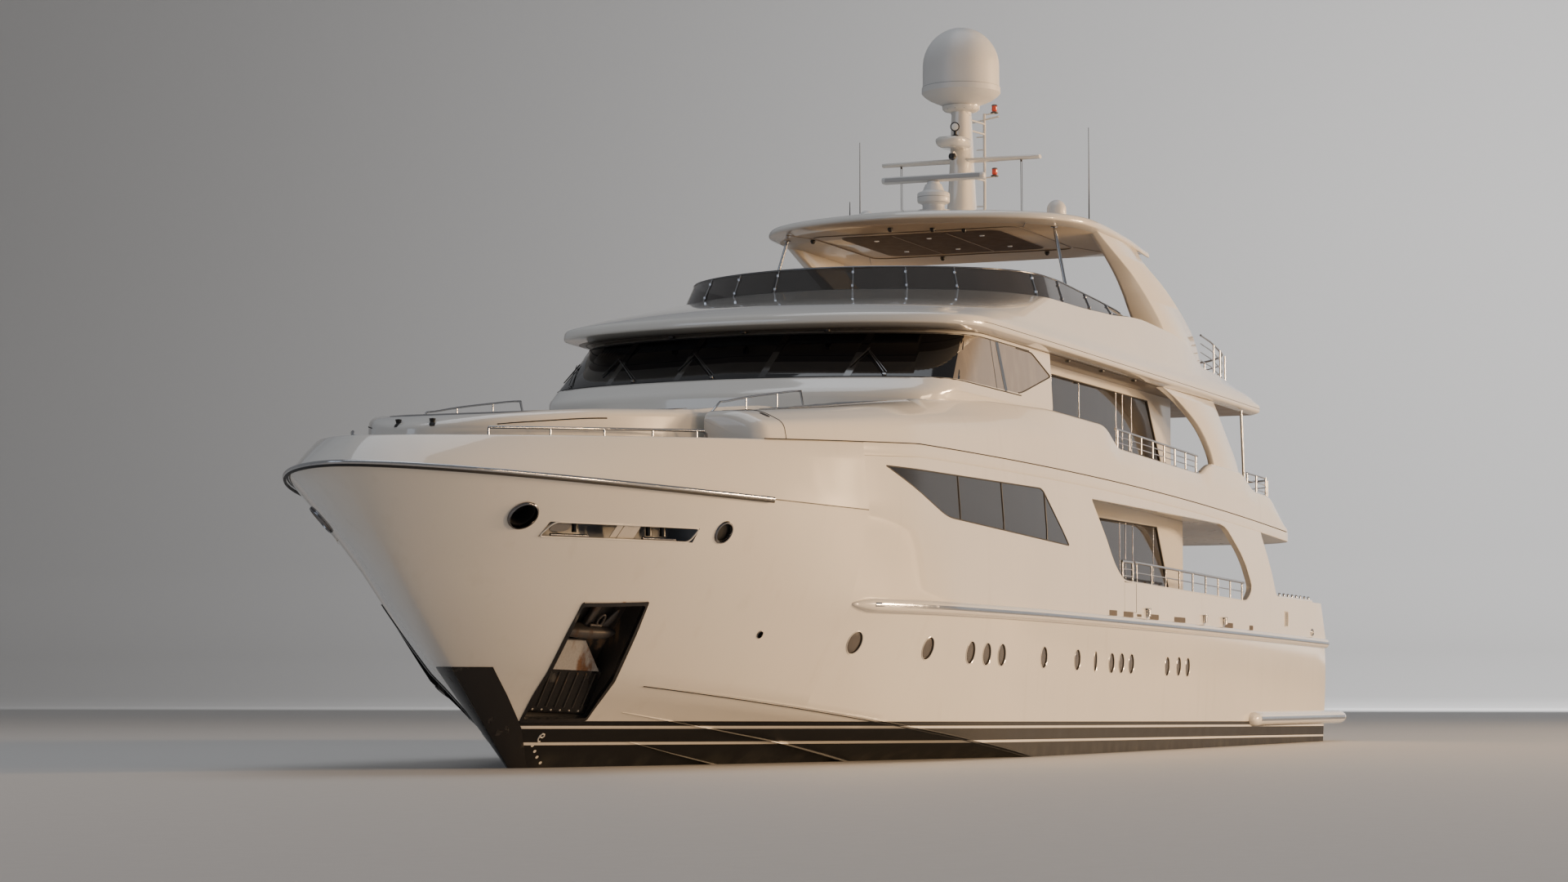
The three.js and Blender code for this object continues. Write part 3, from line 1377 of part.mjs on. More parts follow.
// Anchors, lying against the backs of their pockets
function anchor() {
  const back = -POCKET_DEPTH + GAP;
  const shank = box(-70, 70, back, back + 110, -60, 900);
  const crown = box(-330, 330, back, back + 230, -190, -20);
  const flukes = [-1, 1].map((side) =>
    loft(
      [
        [-60, 240, 120],
        [560, 130, 40],
      ].map(([z, reach, half]) => [
        [side * 120, back + 60, z],
        [side * (120 + reach), back + 60 + half, z],
        [side * (120 + reach), back + 100 + half, z],
        [side * 120, back + 160, z],
      ]),
    ),
  );
  return sideTool(geometryOf(join(shank, crown, ...flukes)), POCKET_AT, POCKET_ALONG, POCKET_UP);
}
addPair("anchor", anchor(), "iron");

export default yacht;
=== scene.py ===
"""Looks of a three-deck motor yacht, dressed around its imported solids.

The frame is the solids' own: metres, +X forward, +Y to port, +Z up, with the
origin on the centreline at the waterline.
"""

from __future__ import annotations

import json
import logging
from dataclasses import dataclass, field
from enum import Enum
from functools import cache
from math import atan, ceil, copysign, cos, pi, radians, sin
from typing import Any, Callable, Iterable, Sequence, Union

import bmesh
import bpy
from mathutils import Matrix, Vector
from mathutils.bvhtree import BVHTree

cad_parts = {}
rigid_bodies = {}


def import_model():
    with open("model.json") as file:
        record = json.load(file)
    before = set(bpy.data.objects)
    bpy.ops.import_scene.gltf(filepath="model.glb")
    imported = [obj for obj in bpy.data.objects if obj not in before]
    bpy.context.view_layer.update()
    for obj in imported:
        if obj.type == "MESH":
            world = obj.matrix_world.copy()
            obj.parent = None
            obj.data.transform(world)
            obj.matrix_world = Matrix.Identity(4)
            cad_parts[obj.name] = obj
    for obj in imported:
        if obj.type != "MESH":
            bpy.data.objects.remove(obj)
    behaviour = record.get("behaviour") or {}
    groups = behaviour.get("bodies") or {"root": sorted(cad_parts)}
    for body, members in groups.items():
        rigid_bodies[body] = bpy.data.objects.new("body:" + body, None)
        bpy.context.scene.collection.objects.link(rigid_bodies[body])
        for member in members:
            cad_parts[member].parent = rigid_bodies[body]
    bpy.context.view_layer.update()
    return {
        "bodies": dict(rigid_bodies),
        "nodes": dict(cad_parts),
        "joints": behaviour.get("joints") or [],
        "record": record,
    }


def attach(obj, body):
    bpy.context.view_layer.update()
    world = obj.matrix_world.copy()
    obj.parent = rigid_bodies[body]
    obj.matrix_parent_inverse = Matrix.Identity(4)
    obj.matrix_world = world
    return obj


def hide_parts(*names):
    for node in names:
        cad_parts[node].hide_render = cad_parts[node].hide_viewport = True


LOG = logging.getLogger("yacht")

Point = Sequence[float]
Pair = tuple[float, float]
Colour = tuple[float, float, float]


class Side(Enum):
    """A side of the yacht, as the sign of Y."""

    PORT = 1
    STARBOARD = -1

    @property
    def tag(self) -> str:
        """The ending of the names of this side's pieces."""
        return "port" if self is Side.PORT else "stbd"


BOTH = (Side.PORT, Side.STARBOARD)


# Shader tools


class Wire:
    """A shader socket that can be used in Python expressions."""

    def __init__(self, tree: "ShaderTree", socket: bpy.types.NodeSocket) -> None:
        """Args: tree: the tree that it is in. socket: the node's output."""
        self.tree = tree
        self.socket = socket

    def _math(self, operation: str, first: "Value", second: "Value") -> "Wire":
        """Returns: the result of one Math node."""
        return self.tree.node("ShaderNodeMath", {"operation": operation}, {0: first, 1: second})

    def __add__(self, other: "Value") -> "Wire":
        """Sum."""
        return self._math("ADD", self, other)

    __radd__ = __add__

    def __sub__(self, other: "Value") -> "Wire":
        """Difference."""
        return self._math("SUBTRACT", self, other)

    def __rsub__(self, other: "Value") -> "Wire":
        """Difference, reflected."""
        return self._math("SUBTRACT", other, self)

    def __mul__(self, other: "Value") -> "Wire":
        """Product."""
        return self._math("MULTIPLY", self, other)

    __rmul__ = __mul__

    def __truediv__(self, other: "Value") -> "Wire":
        """Quotient."""
        return self._math("DIVIDE", self, other)

    def __gt__(self, other: "Value") -> "Wire":
        """One where this is greater, else nothing."""
        return self._math("GREATER_THAN", self, other)

    def __lt__(self, other: "Value") -> "Wire":
        """One where this is less, else nothing."""
        return self._math("LESS_THAN", self, other)

    def most(self, other: "Value") -> "Wire":
        """The greater of two."""
        return self._math("MAXIMUM", self, other)

    def fraction(self) -> "Wire":
        """What is left over a whole number."""
        return self._math("FRACT", self, 0.0)

    def size(self) -> "Wire":
        """The value without its sign."""
        return self._math("ABSOLUTE", self, 0.0)

    def step(self, low: float, high: float) -> "Wire":
        """A smooth step from 0 at low to 1 at high.

        Args:
            low: where it starts.
            high: where it ends.

        Returns:
            The step.
        """
        return self.tree.node(
            "ShaderNodeMapRange", {"interpolation_type": "SMOOTHSTEP"},
            {0: self, 1: low, 2: high, 3: 0.0, 4: 1.0}
        )


Value = Union[Wire, float, tuple]


class ShaderTree:
    """The node tree of one material, with a Principled shader at its end."""

    def __init__(self, material: bpy.types.Material) -> None:
        """Args: material: a new material."""
        material.use_nodes = True
        self.tree = material.node_tree
        self.shader = self.tree.nodes["Principled BSDF"]

    def node(
        self, kind: str, settings: dict[str, object], inputs: dict[Union[int, str], Value],
        output: Union[int, str] = 0
    ) -> Wire:
        """Adds a node.

        Args:
            kind: the node's type.
            settings: its properties, and for a ramp its stops.
            inputs: a value or a wire for each socket that is named or numbered.
            output: the socket that the result comes from.

        Returns:
            The wire from that socket.
        """
        made = self.tree.nodes.new(kind)
        for key, value in settings.items():
            if key == "stops":
                elements = made.color_ramp.elements
                for index, (place, colour) in enumerate(value):
                    stop = elements[index] if index < 2 else elements.new(place)
                    stop.position = place
                    stop.color = (*colour, 1.0)
            else:
                setattr(made, key, value)
        for key, value in inputs.items():
            self.feed(made.inputs[key], value)
        return Wire(self, made.outputs[output])

    def feed(self, socket: bpy.types.NodeSocket, value: Value) -> None:
        """Links a wire to a socket, or sets a number or colour on it.

        Args:
            socket: the input.
            value: a wire, a number or a colour.
        """
        if isinstance(value, Wire):
            self.tree.links.new(value.socket, socket)
        elif isinstance(value, tuple) and len(value) == 3 and socket.type == "RGBA":
            socket.default_value = (*value, 1.0)
        else:
            socket.default_value = value

    def set(self, **sockets: Value) -> None:
        """Sets the shader's sockets, written with _ for each space."""
        for name, value in sockets.items():
            self.feed(self.shader.inputs[name.replace("_", " ")], value)

    def place(self) -> Wire:
        """The point in the piece's own space, in metres."""
        return self.node("ShaderNodeTexCoord", {}, {}, "Object")

    def axes(self) -> tuple[Wire, Wire, Wire]:
        """The point's three coordinates.

        Returns:
            The wires of x, y and z.
        """
        made = self.node("ShaderNodeSeparateXYZ", {}, {0: self.place()})
        outputs = made.socket.node.outputs
        return Wire(self, outputs[0]), Wire(self, outputs[1]), Wire(self, outputs[2])

    def noise(self, scale: float, detail: float = 3.0, stretch: Point = (1.0, 1.0, 1.0)) -> Wire:
        """Soft noise about 0.5, finer along an axis with a greater stretch.

        Args:
            scale: how fine it is.
            detail: how many finer layers it has.
            stretch: the factor on each axis.

        Returns:
            The noise.
        """
        point = self.node(
            "ShaderNodeVectorMath", {"operation": "MULTIPLY"}, {0: self.place(), 1: tuple(stretch)}
        )
        return self.node("ShaderNodeTexNoise", {}, {"Vector": point, "Scale": scale, "Detail": detail})

    def mix(self, mask: Value, low: Value, high: Value) -> Wire:
        """A colour between two: low where the mask is 0, high where it is 1."""
        return self.node("ShaderNodeMix", {"data_type": "RGBA"}, {0: mask, 6: low, 7: high}, 2)

    def bump(self, height: Wire, depth: float) -> Wire:
        """A normal from a height of 0 to 1, which stands for depth metres."""
        return self.node("ShaderNodeBump", {}, {"Strength": 1.0, "Distance": depth, "Height": height})


def tint(colour: Colour, by: float) -> Colour:
    """A colour made lighter or darker by a factor."""
    return (colour[0] * by, colour[1] * by, colour[2] * by)


# Finishes


@dataclass(frozen=True)
class Finish:
    """A plain finish: a colour that varies a little, with a fine grain.

    Attributes:
        name: the material's name.
        slot: the record's material slot; not used.
        colour: its colour.
        roughness: how matt it is.
        metallic: 1 for bare metal.
        coat: weight of its clear coat.
        specular: how strongly it mirrors.
        vary: how far its colour changes from place to place.
        grain: scale of its grain, and grain_depth its depth in metres.
    """

    name: str
    slot: str
    colour: Colour
    roughness: float
    metallic: float = 0.0
    coat: float = 0.0
    specular: float = 0.5
    vary: float = 0.06
    grain: float = 60.0
    grain_depth: float = 0.0004

    @cache
    def material(self) -> bpy.types.Material:
        """Returns: the material, made the first time that it is asked for."""
        made = bpy.data.materials.new(self.name)
        tree = ShaderTree(made)
        tree.set(Metallic=self.metallic, Coat_Weight=self.coat, Coat_Roughness=0.04)
        tree.set(Specular_IOR_Level=self.specular)
        self.dress(tree)
        return made

    def dress(self, tree: ShaderTree) -> None:
        """Sets the colour, roughness and grain.

        Args:
            tree: the material's nodes.
        """
        patch = tree.noise(1.3, 4.0)
        tree.set(
            Base_Color=tree.mix(
                patch, tint(self.colour, 1 - self.vary), tint(self.colour, 1 + self.vary)
            ),
            Roughness=self.roughness * (0.8 + 0.4 * tree.noise(5.0)),
            Normal=tree.bump(tree.noise(self.grain, 2.0), self.grain_depth)
        )


@dataclass(frozen=True)
class Gelcoat(Finish):
    """Glossy paint over long, slightly uneven panels, with faint runs of dirt."""

    ripple: float = 0.0025
    dirt: float = 0.12

    def base(self, tree: ShaderTree) -> Wire:
        """The colour with its faint patches and runs.

        Args:
            tree: the material's nodes.

        Returns:
            The colour.
        """
        patch = tree.noise(0.35, 3.0).step(0.35, 0.7)
        runs = tree.noise(1.0, 4.0, (3.2, 3.2, 0.35)).step(0.56, 0.82)
        clean = tree.mix(patch, self.colour, tint(self.colour, 1 - self.vary))
        return tree.mix(runs * self.dirt, clean, (0.42, 0.36, 0.29))

    def dress(self, tree: ShaderTree) -> None:
        """Sets the colour, the gloss and the long ripple.

        Args:
            tree: the material's nodes.
        """
        tree.set(
            Base_Color=self.base(tree), Roughness=self.roughness * (0.7 + 0.6 * tree.noise(2.2, 3.0)),
            Normal=tree.bump(tree.noise(0.9, 1.0, (0.6, 1.0, 1.0)), self.ripple)
        )


@dataclass(frozen=True)
class HullPaint(Gelcoat):
    """The hull's paint: the topsides above the striped boot top.

    Attributes:
        boot: colour of the boot top and the bottom.
        edge: height of the boot top's upper edge at amidships, and sheer its rise forward.
        stripes: bands of the boot top below its edge as (from, to), in metres.
    """

    boot: Colour = (0.012, 0.013, 0.016)
    edge: float = 0.558
    sheer: float = 0.0062
    stripes: tuple[Pair, ...] = ((0.0, 0.066), (0.105, 0.292), (0.33, 5.0))

    def dress(self, tree: ShaderTree) -> None:
        """Adds the stripes, and a stained line just above the water.

        Args:
            tree: the material's nodes.
        """
        x, _, z = tree.axes()
        depth = self.edge + x * self.sheer - z
        dark: Value = 0.0
        for low, high in self.stripes:
            band = (depth > low) * (depth < high)
            dark = band if isinstance(dark, float) else dark.most(band)
        scum = (z.step(0.28, 0.02)) * tree.noise(3.0, 4.0, (1.0, 1.0, 0.5)).step(0.4, 0.75)
        boot = tree.mix(scum * 0.15, self.boot, (0.16, 0.15, 0.12))
        tree.set(
            Base_Color=tree.mix(dark, self.base(tree), boot),
            Roughness=self.roughness * (0.7 + 0.6 * tree.noise(2.2, 3.0)) + dark * 0.35,
            Coat_Weight=1.0 - dark * 0.95,
            Normal=tree.bump(tree.noise(0.9, 1.0, (0.6, 1.0, 1.0)), self.ripple)
        )


@dataclass(frozen=True)
class Glass(Finish):
    """Dark tinted glass, a touch uneven as large panes are."""

    alpha: float = 1.0

    def dress(self, tree: ShaderTree) -> None:
        """Sets the tint, the wave of the pane and a light film of salt.

        Args:
            tree: the material's nodes.
        """
        film = tree.noise(2.6, 4.0, (1.0, 1.0, 0.4)).step(0.45, 0.85)
        tree.set(
            Base_Color=tree.mix(film * 0.35, self.colour, tint(self.colour, 2.2)),
            Roughness=self.roughness + film * 0.05, Normal=tree.bump(tree.noise(1.1, 1.0), 0.0012),
            Alpha=self.alpha
        )


@dataclass(frozen=True)
class Planks(Finish):
    """Laid teak with dark caulking.

    Attributes:
        width: from seam to seam, in metres.
        seam: share of the width that is caulking.
    """

    width: float = 0.075
    seam: float = 0.09

    def dress(self, tree: ShaderTree) -> None:
        """Sets the planks along the yacht, their grain and their seams.

        Args:
            tree: the material's nodes.
        """
        _, y, _ = tree.axes()
        across = (y / self.width).fraction()
        seam = across < self.seam
        grain = tree.noise(14.0, 5.0, (0.35, 6.0, 1.0))
        tone = tree.noise(1.2, 2.0, (0.3, 9.0, 1.0))
        wood = tree.mix(grain * 0.6 + tone * 0.4, tint(self.colour, 0.7), tint(self.colour, 1.3))
        tree.set(
            Base_Color=tree.mix(seam, wood, (0.03, 0.028, 0.025)), Roughness=self.roughness - seam * 0.15,
            Normal=tree.bump(grain * 0.25 - seam * 1.0, 0.002)
        )


@dataclass(frozen=True)
class Worn(Finish):
    """Metal or paint with rust or wear in patches.

    Attributes:
        worn: colour of the worn patches.
        amount: about what share is worn.
        runs: how far the patches are drawn out downwards.
    """

    worn: Colour = (0.22, 0.11, 0.06)
    amount: float = 0.45
    runs: float = 1.0

    def dress(self, tree: ShaderTree) -> None:
        """Sets the patches, which are matt and not metal.

        Args:
            tree: the material's nodes.
        """
        patch = tree.noise(4.5, 6.0, (1.0, 1.0, 1.0 / self.runs)).step(
            0.72 - 0.4 * self.amount, 0.86 - 0.4 * self.amount
        )
        speck = tree.noise(38.0, 4.0)
        tree.set(
            Base_Color=tree.mix(
                patch, tree.mix(speck, tint(self.colour, 0.75), tint(self.colour, 1.2)),
                tree.mix(speck, tint(self.worn, 0.6), tint(self.worn, 1.4))
            ),
            Roughness=self.roughness + patch * (0.85 - self.roughness),
            Metallic=self.metallic * (1.0 - patch), Normal=tree.bump(patch * 0.6 + speck * 0.4, 0.003)
        )


@dataclass(frozen=True)
class Brushed(Finish):
    """Polished stainless steel with faint hairlines and water marks."""

    def dress(self, tree: ShaderTree) -> None:
        """Sets the marks and the hairlines.

        Args:
            tree: the material's nodes.
        """
        marks = tree.noise(7.0, 4.0).step(0.5, 0.8)
        tree.set(
            Base_Color=tree.mix(marks * 0.5, self.colour, tint(self.colour, 0.72)),
            Roughness=self.roughness + marks * 0.12,
            Normal=tree.bump(tree.noise(30.0, 2.0, (1.0, 1.0, 6.0)), 0.0003)
        )


@dataclass(frozen=True)
class Lens(Finish):
    """A coloured or clear lamp lens with fine ribs."""

    glow: float = 0.0

    def dress(self, tree: ShaderTree) -> None:
        """Sets the ribs and a faint inner light.

        Args:
            tree: the material's nodes.
        """
        _, _, z = tree.axes()
        ribs = (z * 90.0).fraction()
        tree.set(
            Base_Color=tree.mix(ribs, tint(self.colour, 0.8), tint(self.colour, 1.15)),
            Roughness=self.roughness, Normal=tree.bump(ribs, 0.001), Emission_Color=self.colour,
            Emission_Strength=self.glow
        )


CREAM: Colour = (0.80, 0.77, 0.71)
HULL_PAINT = HullPaint("hull_paint", "white_paint", CREAM, 0.16, coat=1.0, vary=0.035, specular=0.2)
PAINT = Gelcoat("topside_paint", "white_paint", CREAM, 0.17, coat=1.0, vary=0.03, dirt=0.05)
# A darker beige than the paint, which paints the shade on undersides and inner faces; also the light hatch
# seams on the shoulder.
SOFFIT = Gelcoat("soffit_painted_shade_and_seams", "white_paint", (0.60, 0.56, 0.50), 0.3, coat=0.4, vary=0.04, dirt=0.03)
# Dark brown that paints the deep shade under the brow's overhang; also the dark trim under the hardtop.
BROW_SHADE_AND_TRIM = Gelcoat("brow_painted_shade_and_trim", "white_paint", (0.22, 0.19, 0.165), 0.45, coat=0.2, vary=0.04, dirt=0.03)
LINING = Finish("beige_lining", "white_paint", (0.62, 0.54, 0.43), 0.5, coat=0.3, vary=0.05, grain=30.0)
INSET = Finish("brown_inset", "white_paint", (0.075, 0.045, 0.03), 0.6, coat=0.0, vary=0.15, grain=16.0)
# Inside of the mooring slot: a blue-grey that paints the cool skylight and shade in the recess, with faint
# dirt.
SLOT_BACK = Gelcoat("slot_painted_sky_shade", "white_paint", (0.17, 0.20, 0.25), 0.35, coat=0.4, vary=0.05, dirt=0.1)
# Freeing ports: dark brown that paints the shade inside the openings, with stained patches.
DRAIN = Worn("drain_shade_and_stain", "white_paint", (0.035, 0.024, 0.018), 0.6, worn=(0.09, 0.055, 0.035), amount=0.4)
DECK_GRIP = Finish(
    "deck_grip", "white_paint", (0.50, 0.49, 0.47), 0.8, vary=0.08, grain=260.0, grain_depth=0.0015
)
GREY_GRIP = Finish(
    "grey_grip", "white_paint", (0.17, 0.17, 0.175), 0.8, vary=0.1, grain=260.0, grain_depth=0.0015
)
TEAK = Planks("teak_deck", "white_paint", (0.36, 0.235, 0.14), 0.62)
GLASS = Glass("tinted_glass", "glass", (0.016, 0.013, 0.010), 0.035, coat=0.35, specular=0.35)
# Side panes of the pilothouse: a pale base colour that paints the reflection of a bright sky.
SIDE_GLASS_PAINTED_REFLECTION = Glass("side_glass", "glass", (0.22, 0.19, 0.155), 0.05, coat=0.6, specular=0.5)
SCREEN_GLASS = Glass("windscreen_glass", "glass", (0.006, 0.006, 0.007), 0.05, coat=0.3, specular=0.25)
PORT_GLASS = Glass("porthole_glass", "glass", (0.06, 0.052, 0.047), 0.25, coat=0.3)
POST_BLACK = Glass("post_black", "glass", (0.006, 0.006, 0.007), 0.09, coat=0.6)
SMOKE = Glass("smoked_screen", "smoked_screen", (0.028, 0.024, 0.021), 0.05, coat=0.5, alpha=0.82)
STEEL = Brushed("stainless_steel", "steel", (0.52, 0.525, 0.54), 0.13, metallic=1.0)
# Chrome given a dark colour that paints the dark surroundings it mirrors.
CHROME_DARK_REFLECTION = Brushed("chrome_painted_dark_reflection", "steel", (0.22, 0.22, 0.23), 0.12, metallic=1.0)
# Black rubber for seals and seams; also the dark lines that paint the shadow under the chine lip and the
# shade in the trunk's slots.
RUBBER_AND_SHADOW_LINES = Finish("black_rubber_and_painted_shadow", "steel", (0.018, 0.018, 0.019), 0.55, vary=0.2, grain=120.0)
BLACK_ARM = Finish("black_arm", "steel", (0.02, 0.02, 0.021), 0.35, coat=0.3, vary=0.15, grain=80.0)
BLACK = Worn(
    "black_guard", "white_paint", (0.014, 0.014, 0.016), 0.22, worn=(0.10, 0.095, 0.085), amount=0.28,
    runs=4.0
)
IRON = Worn(
    "worn_iron", "anchor_iron", (0.13, 0.12, 0.115), 0.5, 0.6, worn=(0.13, 0.075, 0.045), amount=0.5,
    runs=2.0
)
PLATE = Worn(
    "pocket_plate", "anchor_iron", (0.105, 0.10, 0.095), 0.38, 0.6, worn=(0.30, 0.19, 0.11), amount=0.4,
    runs=5.0
)
# Pale grey with rusty patches: the lit plate in the pocket and the frame's top edge paint light; the studs
# use it too.
SCRAPED_AND_PAINTED_LIGHT = Worn(
    "scraped_and_painted_light", "anchor_iron", (0.55, 0.52, 0.48), 0.5, 0.2, worn=(0.25, 0.13, 0.07), amount=0.4,
    runs=5.0
)
BRONZE = Worn("cast_bronze", "bronze", (0.60, 0.43, 0.22), 0.3, 1.0, worn=(0.20, 0.26, 0.20), amount=0.35)
RADOME = Finish("radome_shell", "white_paint", (0.70, 0.69, 0.67), 0.42, coat=0.15, vary=0.03, grain=90.0)
GREY_BAND = Finish("radome_band", "white_paint", (0.40, 0.40, 0.40), 0.5, vary=0.05)
# Near-black that paints the shade inside holes and recesses; also the dark lenses of the lamps.
DARK = Finish("painted_recess_shade_and_dark_lenses", "steel", (0.012, 0.012, 0.013), 0.7, vary=0.25, grain=40.0)
RED_LENS = Lens("red_lens", "smoked_screen", (0.55, 0.05, 0.02), 0.12, coat=1.0, glow=0.25)
LAMP = Lens("clear_lens", "glass", (0.75, 0.73, 0.68), 0.08, coat=1.0, glow=0.1)
FLOOR = Finish(
    "pale_floor", "white_paint", (0.60, 0.585, 0.56), 0.55, vary=0.01, grain=0.4, grain_depth=0.001
)


# Mesh tools


class Shape:
    """A mesh in the making: points, faces and the sides that it will have."""

    def __init__(self) -> None:
        """Starts with nothing in it."""
        self.points: list[Vector] = []
        self.faces: list[tuple[int, ...]] = []

    def add(self, points: Iterable[Point], faces: Iterable[Sequence[int]]) -> "Shape":
        """Adds points, and faces that are numbered from the first of them.

        Args:
            points: the points.
            faces: the faces, by number of point.

        Returns:
            This shape.
        """
        first = len(self.points)
        self.points.extend(Vector(p) for p in points)
        self.faces.extend(tuple(first + i for i in face) for face in faces)
        return self

    def join(self, other: "Shape") -> "Shape":
        """Adds everything of another shape."""
        return self.add(other.points, other.faces)

    def loft(
        self, rings: Sequence[Sequence[Point]], start: bool = True, end: bool = True, closed: bool = True
    ) -> "Shape":
        """Adds a skin through rings of points.

        Args:
            rings: rings that all have the same number of points.
            start: whether a face closes the first ring, and end the last.
            closed: whether each ring joins its last point to its first.

        Returns:
            This shape.
        """
        count = len(rings[0])
        span = count if closed else count - 1
        faces: list[tuple[int, ...]] = [
            (
                i * count + k, i * count + (k + 1) % count, (i + 1) * count + (k + 1) % count,
                (i + 1) * count + k
            )
            for i in range(len(rings) - 1)
            for k in range(span)
        ]
        if start:
            faces.append(tuple(range(count))[::-1])
        if end:
            last = (len(rings) - 1) * count
            faces.append(tuple(last + k for k in range(count)))
        return self.add([p for ring in rings for p in ring], faces)

    def tube(self, path: Sequence[Point], radius: float, sides: int = 10, loop: bool = False) -> "Shape":
        """Adds a round bar along a path.

        Args:
            path: its points.
            radius: its radius.
            sides: how many sides it has.
            loop: whether its end meets its start.

        Returns:
            This shape.
        """
        points = [Vector(p) for p in path]
        count = len(points)
        rings = []
        side = Vector()
        for i, point in enumerate(points):
            before = points[i - 1] if i or loop else point
            after = points[(i + 1) % count] if i < count - 1 or loop else point
            ahead = (after - before).normalized()
            if side.length < 0.5:
                side = ahead.cross(Vector((0.03, 0.02, 1.0))).normalized()
            side = (side - ahead * side.dot(ahead)).normalized()
            top = side.cross(ahead)
            arm = (point - before).normalized() if point != before else ahead
            stretch = 1.0 / max(0.55, arm.dot(ahead))
            rings.append(
                [
                    point + (side * cos(a) + top * sin(a)) * radius * stretch
                    for a in (2 * pi * k / sides for k in range(sides))
                ]
            )
        if loop:
            rings.append(rings[0])
        return self.loft(rings, start=not loop, end=not loop)

    def turned(
        self, profile: Sequence[Pair], centre: Point, axis: Point = (0.0, 0.0, 1.0), sides: int = 32
    ) -> "Shape":
        """Adds a body of revolution.

        Args:
            profile: pairs of radius and height along the axis.
            centre: where height 0 is.
            axis: its direction.
            sides: how many sides it has.

        Returns:
            This shape.
        """
        turn = Vector((0, 0, 1)).rotation_difference(Vector(axis)).to_matrix()
        middle = Vector(centre)
        rings = [
            [
                middle + turn @ Vector((r * cos(a), r * sin(a), h))
                for a in (2 * pi * k / sides for k in range(sides))
            ]
            for r, h in profile
        ]
        return self.loft(rings)

    def prism(self, outline: Sequence[Point], shift: Point) -> "Shape":
        """Adds a solid between an outline and its copy moved by a shift.

        Args:
            outline: its corners.
            shift: from the outline to its copy.

        Returns:
            This shape.
        """
        move = Vector(shift)
        low = [Vector(p) for p in outline]
        return self.loft([low, [p + move for p in low]])

    def box(self, low: Point, high: Point) -> "Shape":
        """Adds a box between two corners."""
        (a, b, c), (d, e, f) = low, high
        return self.prism([(a, b, c), (d, b, c), (d, e, c), (a, e, c)], (0, 0, f - c))

    def placed(self, matrix: Matrix) -> "Shape":
        """Moves everything so far by a matrix."""
        self.points = [matrix @ p for p in self.points]
        return self

    def mirrored(self, side: Side) -> "Shape":
        """This shape on a side, when it was made for port.

        Args:
            side: the side that it is on.

        Returns:
            The new shape.
        """
        made = Shape()
        made.points = [Vector((p.x, p.y * side.value, p.z)) for p in self.points]
        made.faces = [f if side is Side.PORT else f[::-1] for f in self.faces]
        return made

    def on(
        self, side: Side, stem: str, finish: Finish, body: str = "", replaces: str = "", **options: Any
    ) -> bpy.types.Object:
        """Makes the object of one side from the shape for port.

        Args:
            side: the side.
            stem: the piece's name without its side.
            finish: its finish.
            body: the side's own body that it rides on, also without its side.
            replaces: the solid that it stands for, also without its side.
            options: other arguments of object.

        Returns:
            The new object.
        """
        if body:
            options["body"] = f"{body}_{side.tag}"
        if replaces:
            options["replaces"] = (f"{replaces}_{side.tag}",)
        return self.mirrored(side).object(f"{stem}_{side.tag}", finish, **options)

    def object(
        self, name: str, finish: Finish, bevel: float = 0.0, smooth: float = 40.0, body: str = "yacht",
        replaces: Sequence[str] = (), segments: int = 2
    ) -> bpy.types.Object:
        """Makes the object and seats it on its body.

        Args:
            name: the piece's name.
            finish: its finish.
            bevel: width of its rounded edges, in metres.
            smooth: the greatest angle between faces that are shaded as one.
            body: the body that it rides on.
            replaces: the solids that it stands for.
            segments: how many faces the rounding has.

        Returns:
            The new object.
        """
        mesh = bpy.data.meshes.new(name)
        mesh.from_pydata([tuple(p) for p in self.points], [], self.faces)
        work = bmesh.new()
        work.from_mesh(mesh)
        bmesh.ops.remove_doubles(work, verts=work.verts, dist=1e-5)
        bmesh.ops.dissolve_degenerate(work, dist=1e-6, edges=work.edges)
        bmesh.ops.recalc_face_normals(work, faces=work.faces)
        work.to_mesh(mesh)
        work.free()
        return finished(mesh, name, finish, bevel, smooth, body, replaces, segments)


def finished(
    mesh: bpy.types.Mesh, name: str, finish: Finish, bevel: float = 0.0, smooth: float = 40.0,
    body: str = "yacht", replaces: Sequence[str] = (), segments: int = 2
) -> bpy.types.Object:
    """Makes an object of a mesh, as Shape.object does.

    Args:
        mesh: the mesh.
        name, finish, bevel, smooth, body, replaces, segments: as in Shape.object.

    Returns:
        The new object.
    """
    for polygon in mesh.polygons:
        polygon.use_smooth = True
    mesh.set_sharp_from_angle(angle=radians(smooth))
    mesh.materials.clear()
    mesh.materials.append(finish.material())
    made = bpy.data.objects.new(name, mesh)
    bpy.context.scene.collection.objects.link(made)
    if bevel:
        rounding = made.modifiers.new("rounding", "BEVEL")
        rounding.width = bevel
        rounding.segments = segments
        rounding.limit_method = "ANGLE"
        rounding.angle_limit = radians(35)
        rounding.harden_normals = True
    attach(made, body)
    if replaces:
        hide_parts(*replaces)
    return made


def carve(
    target: bpy.types.Object, tool: Shape, finish: Finish, operation: str = "DIFFERENCE",
    smooth: float = 40.0
) -> None:
    """Cuts a shape out of an object, or keeps only what lies inside it.

    Args:
        target: the object, without modifiers.
        tool: the closed shape.
        finish: finish of the cut faces.
        operation: DIFFERENCE or INTERSECT.
        smooth: the greatest angle between faces that are shaded as one.
    """
    cutter = tool.object("tool", finish)
    cut = target.modifiers.new("cut", "BOOLEAN")
    cut.operation = operation
    cut.solver = "EXACT"
    cut.material_mode = "TRANSFER"
    cut.object = cutter
    bpy.context.view_layer.update()
    graph = bpy.context.evaluated_depsgraph_get()
    result = bpy.data.meshes.new_from_object(target.evaluated_get(graph))
    target.modifiers.clear()
    target.data = result
    bpy.data.objects.remove(cutter)
    for polygon in target.data.polygons:
        polygon.use_smooth = True
    target.data.set_sharp_from_angle(angle=radians(smooth))


